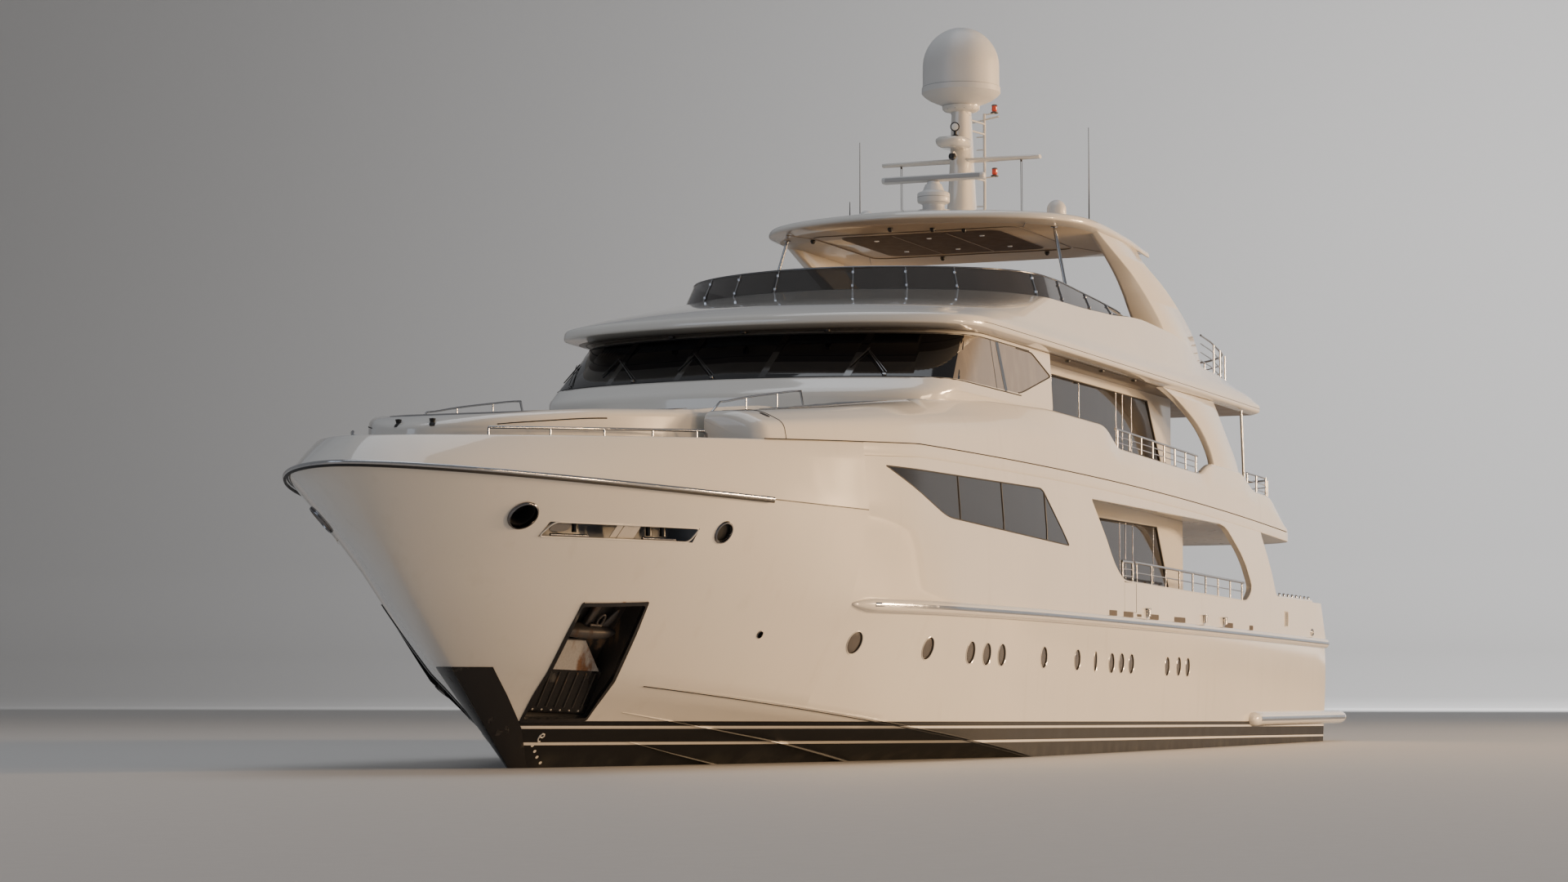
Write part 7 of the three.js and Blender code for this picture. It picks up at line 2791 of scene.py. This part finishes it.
@dataclass
class Mast:
    """The mast with its domes, radar, lights and aerials."""

    pole: float = MAST - 1.35
    shelf: float = 11.44
    radius: float = 0.745

    def build(self) -> None:
        """Makes the mast and all that it carries."""
        self.column()
        self.light_pole()
        self.radome()
        self.small_domes()
        self.radar_base()
        self.scanner()
        self.fittings()
        self.aerials()

    def column(self) -> None:
        """The column, its spreader, platform and bolted flanges."""
        rings = []
        for z, fore, aft, half in spline(MAST_LEVELS, 5):
            ring = []
            for a in steps(0, 2 * pi, 41)[:-1]:
                c, s = cos(a), sin(a)
                x = fore * abs(c) ** 0.8 if c > 0 else aft * abs(c) ** 0.9
                ring.append((MAST + x, half * copysign(abs(s) ** 0.85, s), z))
            rings.append(ring)
        made = Shape().loft(rings)
        rings = []
        for y in steps(-1.57, 1.57, 41):
            reach = lerp(1.0, 0.58, clamp01((abs(y) - 0.4) / 1.1)) * (0.75 if abs(y) > 1.56 else 1.0)
            rings.append([(MAST + 0.01 + x * reach, y, 11.078 + z) for x, z in oval(0.38, 0.075, 18, 2.6)])
        made.loft(rings)
        made.loft(
            [
                [
                    (MAST + 0.42 + x * grow, y * grow, self.shelf - drop)
                    for x, y in oval(0.84, 0.62, 36, 2.6)
                ]
                for drop, grow in (
                    (0.17, 0.72), (0.15, 0.86), (0.11, 0.96), (0.06, 1.0), (0.025, 0.98), (0, 0.9)
                )
            ]
        )
        head = (
            (0, 11.95), (0.18, 11.95), (0.2, 12.0), (0.3, 12.02), (0.352, 12.06), (0.36, 12.12),
            (0, 12.12)
        )
        made.turned(head, (MAST, 0, 0), sides=48)
        made.object("mast_column", PAINT, replaces=("mast",), smooth=50)
        bolts = Shape()
        for a in steps(0, 2 * pi, 13)[:-1]:
            spot = (MAST + 0.33 * cos(a), 0.33 * sin(a), 12.06)
            bolts.turned(((0, -0.016), (0.014, -0.016), (0.014, 0), (0, 0)), spot, sides=6)
        bolts.object("mast_bolts", STEEL)

    def light_pole(self) -> None:
        """The pole behind the mast with its struts, steps and two red lamps."""
        pole, red, caps = Shape(), Shape(), Shape()
        pole.tube([(self.pole, 0, 9.7), (self.pole, 0, 12.2)], 0.028, 16)
        pole.turned(((0, 0), (0.07, 0), (0.07, 0.02), (0, 0.03)), (self.pole, 0, 9.72), sides=20)
        for z, start in ((12.0, 0.3), (11.8, 0.32), (10.9, 0.4)):
            pole.tube([(MAST - start, 0, z - 0.06), (self.pole, 0, z)], 0.018, 12)
        pole.tube([(self.pole, -0.3, 12.03), (self.pole, 0.3, 12.13)], 0.016, 10)
        for z in (11.75, 11.5, 10.4):
            pole.tube([(self.pole, -0.16, z), (self.pole, 0.02, z)], 0.012, 8)
        for z in (12.2, 10.97):
            spot = (self.pole - 0.02, 0.2, z)
            pole.tube([(self.pole, 0, z - 0.02), spot], 0.014, 8)
            caps.turned(((0, 0), (0.075, 0), (0.075, 0.02), (0.04, 0.035), (0, 0.035)), spot, sides=24)
            red.turned(((0, 0.03), (0.04, 0.03), (0.055, 0.06), (0.05, 0.14), (0, 0.14)), spot, sides=24)
            caps.turned(((0, 0.14), (0.058, 0.14), (0.05, 0.165), (0, 0.175)), spot, sides=24)
        pole.object("light_pole", PAINT, smooth=35)
        red.object("red_lamps", RED_LENS)
        caps.object("red_lamp_caps", IRON)

    def radome(self) -> None:
        """The large radome on its dished base."""
        base, r = 12.1203, self.radius
        foot = ((0, 0), (0.33, 0), (0.352, 0.02), (0.44, 0.06), (0.6, 0.13), (0.7, 0.2), (0.735, 0.24))
        lower = (*foot, (r, 0.25), (r, 0.352), (0, 0.352))
        Shape().turned(lower, (MAST, 0, base), sides=96).object("radome_base", RADOME, smooth=35)
        side = r * 0.975
        upper = [(0, 0.366), (side, 0.366), (side * 0.996, 0.76)]
        upper += [(side * 0.996 * cos(a), 0.76 + 0.744 * sin(a)) for a in steps(0.06, 1.5, 26)]
        upper.append((0, 1.504))
        dome = Shape().turned(upper, (MAST, 0, base), sides=96)
        dome.object("radome_shell", RADOME, replaces=("radome",), smooth=35)
        joint = ((0, 0.352), (r - 0.012, 0.352), (r - 0.012, 0.366), (0, 0.366))
        Shape().turned(joint, (MAST, 0, base), sides=96).object("radome_joint", GREY_BAND)

    @staticmethod
    def small_domes() -> None:
        """The two small domes on the hardtop."""
        stem = ((0, 9.7), (0.15, 9.7), (0.12, 9.735), (0.105, 9.76), (0.105, 9.84), (0.125, 9.868))
        profile = [*stem, (0.172, 9.895), (0.18, 9.915), (0.18, 10.045)]
        profile += [(0.18 * cos(a), 10.045 + 0.184 * sin(a)) for a in steps(0.12, 1.47, 13)]
        profile.append((0, 10.229))
        ring = ((0.176, 9.93), (0.1835, 9.93), (0.1835, 9.942), (0.176, 9.942))
        spot = (MAST + 0.06, 1.9, 0)
        for side in BOTH:
            dome = Shape().turned(profile, spot, sides=48)
            dome.on(side, "small_dome_shell", RADOME, replaces="small_dome", smooth=35)
            Shape().turned(ring, spot, sides=48).on(side, "small_dome_joint", GREY_BAND)

    @staticmethod
    def radar_base() -> None:
        """The radar's pedestal."""
        low = (
            (0, 9.68), (0.33, 9.68), (0.335, 9.73), (0.33, 9.81), (0.3, 9.84), (0.225, 9.87),
            (0.205, 9.92)
        )
        high = ((0.205, 10.03), (0.225, 10.055), (0.29, 10.08), (0.3, 10.11), (0.3, 10.24), (0.285, 10.262))
        cap = ((0.2, 10.3), (0.18, 10.35), (0.15, 10.42), (0, 10.42))
        made = Shape().turned(low + high + cap, (RADAR, 0, 0), sides=56)
        made.object("radar_base", RADOME, replaces=("radar_pedestal",), smooth=35)
        band = Shape()
        for z, r in ((10.175, 0.302), (9.86, 0.27)):
            ring = ((r - 0.02, z - 0.006), (r, z - 0.006), (r, z + 0.006), (r - 0.02, z + 0.006))
            band.turned(ring, (RADAR, 0, 0), sides=56)
        band.object("radar_joints", GREY_BAND)

    @staticmethod
    def scanner() -> None:
        """The radar's turning bar."""
        hub = ((0, 10.4212), (0.12, 10.4212), (0.12, 10.45), (0.1, 10.475), (0, 10.48))
        bar = Shape().turned(hub, (RADAR, 0, 0), sides=40)
        outline = (
            (0.07, -0.045), (0.09, 0), (0.07, 0.06), (0.02, 0.064), (-0.08, 0.06), (-0.08, -0.06),
            (0, -0.062)
        )
        ends = ((1.01, 0.55), (1.0, 0.85), (0.97, 0.97))
        grows = [(-y, g) for y, g in ends] + [(y, 1.0) for y in steps(-0.94, 0.94, 24)]
        grows += [(y, g) for y, g in reversed(ends)]
        bar.loft(
            [[(RADAR + a * g, y, 10.535 + b * g) for a, b in rounded(outline, 0.02, 3)] for y, g in grows]
        )
        bar.object("radar_bar", RADOME, body="scanner", replaces=("radar_scanner",), smooth=50)
        face = ((0.092, 10.5), (0.096, 10.535), (0.08, 10.575), (0.07, 10.57), (0.07, 10.5))
        strip = Shape().loft([[(RADAR + x, y, z) for x, z in face] for y in steps(-0.93, 0.93, 10)])
        strip.object("radar_face", GREY_BAND, body="scanner")

    def fittings(self) -> None:
        """The searchlight and the camera dome."""
        lamp, dark, pale = Shape(), Shape(), Shape()
        foot = Vector((MAST + 0.56, 0.08, self.shelf))
        dark.turned(((0, 0), (0.08, 0), (0.07, 0.04), (0.03, 0.06), (0.03, 0.14), (0, 0.14)), foot, sides=24)
        axis = Vector((1, 0.25, -0.05)).normalized()
        eye = foot + Vector((0, 0, 0.2))
        body = (
            (0, -0.12), (0.045, -0.115), (0.07, -0.09), (0.085, -0.02), (0.088, 0.08), (0.074, 0.08),
            (0, 0.06)
        )
        dark.turned(body, eye, axis, 32)
        lamp.turned(((0, 0.07), (0.074, 0.07), (0.06, 0.084), (0, 0.09)), eye, axis, 32)
        front = Vector((MAST + 0.3, 0.0, 11.15))
        pale.tube([front, front + Vector((0.12, 0, 0.05)), front + Vector((0.2, 0, 0.01))], 0.018, 10)
        dark.turned(
            ((0, 0), (0.06, 0), (0.075, 0.04), (0.07, 0.09), (0, 0.13)), front + Vector((0.2, 0, 0)),
            (0, 0, -1), 28
        )
        dark.object("mast_cameras", BLACK_ARM, smooth=35)
        pale.object("mast_fittings", PAINT, smooth=35)
        lamp.object("searchlight_glass", LAMP)

    @staticmethod
    def aerials() -> None:
        """The signal halyards, the whips and the short rods."""
        lines = Shape()
        for y in (1.2, -1.2):
            for x in (MAST - 0.02, MAST + 0.06):
                lines.tube([(x, y, 11.04), (x - 0.02, y, 9.72)], 0.006, 6)
            lines.turned(((0, 0), (0.02, 0), (0.02, 0.03), (0, 0.04)), (MAST + 0.02, y, 11.0), sides=10)
        lines.turned(
            ((0, 9.7), (0.03, 9.7), (0.025, 9.9), (0.01, 9.95), (0, 10.0)), (MAST + 0.1, 0.95, 0),
            sides=12
        )
        lines.object("signal_halyards", RUBBER_AND_SHADOW_LINES)
        rod = ((0, 9.6), (0.05, 9.6), (0.045, 9.68), (0.024, 9.72), (0.02, 9.86), (0.012, 9.88))
        whip = (*rod, (0.009, 10.6), (0.006, 11.679), (0, 11.68))
        for side in BOTH:
            made = Shape().turned(whip, (-5.36, 2.31, 0), sides=14)
            made.on(side, "whip", BLACK_ARM, replaces="whip_aerial")
        short = (*rod, (0.007, 10.3), (0, 10.31))
        Shape().turned(short, (-3.9, -1.95, 0), sides=12).object("short_whip", BLACK_ARM)


# Rails and deckhouses


@dataclass
class Rails:
    """All the guard rails along the decks.

    Attributes:
        top: height of the upper aft rail.
        post: radius of the aft rails' posts, and wire that of their lower rails.
    """

    top: float = 5.56
    post: float = 0.017
    wire: float = 0.012

    def build(self) -> None:
        """Makes the rails of both sides and of the two aft decks."""
        for side in BOTH:
            self.side_rails(side)
        self.upper_aft()
        self.fly_aft()

    @staticmethod
    def run(feet: Sequence[Point], heights: Sequence[float], radius: float, stanchions: int) -> Shape:
        """Rails over a run of foot points, with stanchions between.

        Args:
            feet: the points at their feet.
            heights: the height of each rail.
            radius: radius of the top rail.
            stanchions: how many stanchions it has.

        Returns:
            The rails.
        """
        made = Shape()
        points = [Vector(p) for p in feet]
        for height in heights:
            grow = radius if height == heights[-1] else radius * 0.5
            made.tube([p + Vector((0, 0, height)) for p in points], grow, 14)
        last = len(points) - 1
        for t in steps(0.02 * last, 0.98 * last, stanchions):
            k = min(last - 1, int(t))
            foot = points[k].lerp(points[k + 1], t - k)
            made.tube([foot, foot + Vector((0, 0, heights[-1]))], radius * 0.7, 12)
            made.turned(((0, 0), (0.042, 0), (0.036, 0.012), (0.02, 0.018), (0, 0.018)), foot, sides=18)
        return made

    def side_rails(self, side: Side) -> None:
        """The rails in the side openings and along the bow.

        Args:
            side: the side that it is on.
        """
        feet = [
            (x, side_y(x, 2.95) - 0.06, lerp(3.022, 2.892, (-2.28 - x) / 9.02))
            for x in steps(-3.17, -11.24, 24)
        ]
        lower = self.run(feet, (0.19, 0.37), 0.024, 9)
        lower.on(side, "main_rail", STEEL, replaces="main_side_rail")
        feet = []
        for x in steps(-2.56, -8.2, 20):
            y = deck_edge(x) - along(LEAN, x) - 0.003 - BULWARK / 2
            feet.append((x, y, along(CAP_TOP, x)))
        upper = self.run(feet, (0.11, 0.22, 0.34), 0.022, 8)
        upper.on(side, "upper_rail", STEEL, replaces="upper_side_rail")
        guard = Shape()
        line = Line(CAP.stem - 0.7, CAP.run, CAP.beam - 0.33, CAP.full, CAP.blunt)
        xs = [lerp(line.stem, 13.1, s) for s in steps(0.22, 1, 26)]
        top = [(x, line.half(x), cap_z(x) + 0.11) for x in xs]
        guard.tube(top, 0.02, 14)
        x, y, z = top[-1]
        guard.tube([(x, y, z), (x - 0.09, y, z - 0.04), (x - 0.12, y, z - 0.2)], 0.02, 14)
        for x, y, z in top[::6]:
            guard.tube([(x, y, rail_z(x)), (x, y, z)], 0.014, 10)
            guard.turned(((0, 0), (0.04, 0), (0.03, 0.014), (0, 0.016)), (x, y, rail_z(x)), sides=16)
        guard.on(side, "bow_guard_rail", STEEL, replaces="foredeck_rail")

    @staticmethod
    def round_aft(port: Sequence[Pair], radii: Sequence[float]) -> list[Vector]:
        """A run round the stern through port points and their twins."""
        points = [*port, *((x, -y) for x, y in reversed(port))]
        return rounded(points, [*radii, *reversed(radii)], 6, closed=False)

    def upper_aft(self) -> None:
        """The rail round the upper aft deck and its poles."""
        port = ((-12.55, 3.42), (-14.3, 3.36), (-15.25, 3.15), (-15.6, 2.5))
        curve = self.round_aft(port, (0, 0.6, 0.35, 0.3))
        made = Shape()
        for drop, radius in ((0, 0.024), (0.15, self.wire), (0.3, self.wire)):
            made.tube([(p.x, p.y, self.top - drop) for p in curve], radius, 14)
        posts = [(x, y * hand) for x, y in (*port, (-13.4, 3.39)) for hand in (1, -1)]
        posts += [(-15.6, y) for y in steps(-1.6, 1.6, 3)]
        for x, y in posts:
            deck = x < -15
            low = cap_z(x) if deck else along(CAP_TOP, x) - 0.05
            made.tube([(x, y, low), (x, y, self.top)], self.post, 12)
            foot = (x, y, low if deck else low + 0.05)
            made.turned(((0, 0), (0.04, 0), (0.034, 0.012), (0, 0.014)), foot, sides=16)
        for y in (3.45, -3.45):
            made.tube([(-12.2, y, 5.16), (-12.0, y, 6.799)], 0.028, 20)
            made.tube([(-12.24, y, 5.54), (-12.55, copysign(3.42, y), 5.54)], 0.018, 12)
            foot = (-12.2, y, 5.22)
            made.turned(FLANGE, foot, sides=24)
        made.object("upper_aft_guard", STEEL, replaces=("upper_aft_rail",))

    @staticmethod
    def fly_top(x: float) -> float:
        """Height of the flybridge's aft rail, which falls towards the stern."""
        return lerp(8.15, 7.88, clamp01((-10.3 - x) / 2.4))

    def fly_aft(self) -> None:
        """The rail round the aft end of the flybridge."""
        port = ((-9.9, 3.2), (-11.0, 3.16), (-12.15, 3.08), (-12.7, 2.5))
        curve = self.round_aft(port, (0, 0.3, 0.35, 0.3))
        made = Shape()
        for drop, radius in ((0, 0.022), (0.17, self.wire), (0.34, self.wire), (0.5, self.wire)):
            made.tube([(p.x, p.y, self.fly_top(p.x) - drop) for p in curve], radius, 14)
        posts = [(x, y * hand) for x, y in (*port[1:], (-11.6, 3.13)) for hand in (1, -1)]
        posts += [(-12.7, y) for y in steps(-1.3, 1.3, 3)]
        for x, y in posts:
            low = 7.0 if abs(y) < 2.9 else coaming_z(x) - 0.02
            made.tube([(x, y, low), (x, y, self.fly_top(x))], self.post, 12)
        made.object("fly_aft_guard", STEEL, replaces=("fly_aft_rail",))


# Outline of each house's window, and x of its thin posts
HOUSE_WINDOWS = (
    (
        "saloon", ((-0.85, 2.5), (-9.1, 2.5), (-7.9, 4.25), (-0.85, 4.25)),
        (-2.6, -4.2, -5.5, -5.87, -6.35, -7.73)
    ),
    ("lounge", ((0.3, 5.15), (-8.5, 5.15), (-7.3, 6.65), (0.3, 6.65)), (-1.4, -3.02, -5.31, -5.73, -6.32))
)


@dataclass
class Deckhouses:
    """Trim of the saloon and the sky lounge behind the side openings."""

    half: float = 2.85

    def build(self, frame: dict) -> None:
        """Dresses the two houses, their windows and their doors.

        Args:
            frame: the loaded frame.
        """
        for name in ("main_deckhouse", "sky_lounge"):
            dress(frame, name, PAINT)
        for side in BOTH:
            for stem in ("main_glass", "sky_glass", "main_door", "sky_door"):
                dress(frame, f"{stem}_{side.tag}", GLASS)
            for name, outline, posts in HOUSE_WINDOWS:
                self.window(side, name, outline, posts)
            self.corner(side)
            self.door(side, "saloon_door", -9.6, 2.25)
            self.door(side, "lounge_door", -8.8, 4.655)

    @staticmethod
    def corner(side: Side) -> None:
        """The slanted filler over the forward upper corner of the lounge's window.

        Args:
            side: the side that it is on.
        """
        outline = ((0.33, 6.28), (0.33, 6.68), (-1.5, 6.68))
        filler = Shape().prism([(x, 2.846, z) for x, z in outline], (0, 0.012, 0))
        filler.on(side, "lounge_window_corner", PAINT, bevel=0.003)

    def window(self, side: Side, name: str, outline: Sequence[Pair], posts: Sequence[float]) -> None:
        """The seal round a window and the thin metal posts across it.

        Args:
            side: the side that it is on.
            name: which house it belongs to.
            outline: its corners.
            posts: x of each post.
        """
        seal, bars = Shape(), Shape()
        y = self.half - 0.028
        seal.tube([(x, y, z) for x, z in edge_run(outline, 0.6)], 0.024, 8, loop=True)
        low, high = outline[0][1], outline[2][1]
        for x in posts:
            bars.box((x - 0.014, y - 0.01, low), (x + 0.014, y + 0.006, high))
        seal.on(side, f"{name}_window_seal", RUBBER_AND_SHADOW_LINES)
        bars.on(side, f"{name}_window_posts", STEEL, bevel=0.003)

    @staticmethod
    def door(side: Side, name: str, x: float, floor: float) -> None:
        """The metal frame on one leaf of a sliding door.

        Args:
            side: the side that it is on.
            name: its name.
            x: x of its leaf.
            floor: height of the floor.
        """
        bars = Shape()
        x += 0.003
        for y0, y1 in ((0.012, 0.072), (0.88, 0.94)):
            bars.box((x, y0, floor + 0.012), (x + 0.008, y1, floor + 2.07))
        for z0, z1 in ((0.012, 0.1), (2.0, 2.07)):
            bars.box((x, 0.072, floor + z0), (x + 0.008, 0.88, floor + z1))
        bars.on(side, f"{name}_frame", STEEL, body=name, bevel=0.002)


def dress(frame: dict, name: str, finish: Finish) -> None:
    """Gives a finish to a solid that stays as it is.

    Args:
        frame: the loaded frame.
        name: its name.
        finish: the finish.
    """
    node = frame["nodes"][name]
    node.data.materials.clear()
    node.data.materials.append(finish.material())


# Stage


@dataclass
class Stage:
    """The floor, the lights and the camera.

    Attributes:
        sky: colour of the world, and glow its strength.
        warm: colour of the low light from the port quarter.
        eye: where the camera is, and lens its focal length in millimetres.
        turn: how far the camera looks to starboard of astern, in degrees.
        pitch: how far it looks up, in degrees.
        sight: how far it sees, in metres.
    """

    sky: Colour = (0.60, 0.61, 0.64)
    glow: float = 0.34
    warm: Colour = (1.0, 0.66, 0.36)
    eye: tuple[float, float, float] = (56.058, 21.379, 0.969)
    lens: float = 78.75
    turn: float = 22.37
    pitch: float = 4.271
    sight: float = 1500

    def build(self) -> None:
        """Makes them all."""
        self.floor()
        self.lights()
        self.camera()

    @staticmethod
    def floor() -> None:
        """A pale floor at the waterline with a backdrop that rises far behind."""
        rows = ((220, 0.0), (-260, 0.0), (-300, 1.0), (-330, 6.0), (-350, 18.0), (-360, 60.0), (-362, 130.0))
        shape = Shape()
        rings = [[(x, y, z) for y in steps(-400, 400, 5)] for x, z in rows]
        shape.loft(rings, start=False, end=False, closed=False)
        mesh = bpy.data.meshes.new("floor")
        mesh.from_pydata([tuple(p) for p in shape.points], [], shape.faces)
        for polygon in mesh.polygons:
            polygon.use_smooth = True
        mesh.materials.append(FLOOR.material())
        floor = bpy.data.objects.new("floor", mesh)
        bpy.context.scene.collection.objects.link(floor)

    def lights(self) -> None:
        """A pale world, a warm low key from the port quarter and a cool fill ahead."""
        world = bpy.data.worlds.new("studio")
        bpy.context.scene.world = world
        world.use_nodes = True
        ground = world.node_tree.nodes["Background"]
        ground.inputs["Color"].default_value = (*self.sky, 1)
        ground.inputs["Strength"].default_value = self.glow
        self.area("key", (-46, 66, 13), (-4, 2, 4), 26, 8, 78000, self.warm)
        self.area("side_key", (6, 70, 13), (0, 2, 4), 22, 7, 9000, self.warm)
        self.area("low_glint", (2, 46, 3.5), (0, 3, 2.5), 3.0, 3.0, 5000, (1.0, 0.62, 0.30))
        self.area("bow_fill", (70, -30, 30), (6, 0, 4), 40, 24, 4200, (0.72, 0.82, 1.0))
        self.area("top", (0, 0, 60), (0, 0, 5), 60, 30, 9000, (0.90, 0.94, 1.0))
        self.area("backdrop", (-190, 0, 75), (-340, 0, 20), 160, 40, 420000, (0.95, 0.96, 1.0))

    @staticmethod
    def area(
        name: str, place: Point, target: Point, wide: float, high: float, power: float, colour: Colour
    ) -> None:
        """Adds an area light that looks at a point.

        Args:
            name: its name.
            place: where it is.
            target: what it looks at.
            wide: its width.
            high: its height.
            power: its power in watts.
            colour: its colour.
        """
        light = bpy.data.lights.new(name, "AREA")
        light.shape = "RECTANGLE"
        light.size = wide
        light.size_y = high
        light.energy = power
        light.color = colour
        made = bpy.data.objects.new(name, light)
        made.location = place
        made.rotation_euler = (Vector(target) - Vector(place)).to_track_quat("-Z", "Y").to_euler()
        bpy.context.scene.collection.objects.link(made)

    def camera(self) -> None:
        """The camera of the photo: low off the port bow, with a long lens."""
        turn, pitch = radians(self.turn), radians(self.pitch)
        level = cos(pitch)
        forward = Vector((-cos(turn) * level, -sin(turn) * level, sin(pitch)))
        camera = bpy.data.cameras.new("camera")
        camera.lens = self.lens
        camera.sensor_width = 36
        camera.clip_end = self.sight
        made = bpy.data.objects.new("camera", camera)
        made.location = self.eye
        made.rotation_euler = forward.to_track_quat("-Z", "Y").to_euler()
        bpy.context.scene.collection.objects.link(made)
        bpy.context.scene.camera = made


def main() -> None:
    """Dresses the whole yacht and finishes the scene."""
    logging.basicConfig(level=logging.INFO, format="%(name)s: %(message)s")
    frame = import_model()
    skin = Hull().build()
    LOG.info("hull")
    for side in BOTH:
        AnchorPocket().build(side, skin)
    LOG.info("anchor pockets")
    Bow().build(skin)
    LOG.info("bow")
    for side in BOTH:
        wall = Topside(side)
        wall.build()
        wall.rub_rail()
        LOG.info("topside %s", side.tag)
    for part in (Stern(), UpperDeck(), Pilothouse(), Trunk(), Flybridge(), Hardtop(), Mast(), Rails()):
        part.build()
        LOG.info("%s", type(part).__name__)
    Deckhouses().build(frame)
    LOG.info("deckhouses")
    Stage().build()


if __name__ == "__main__":
    main()
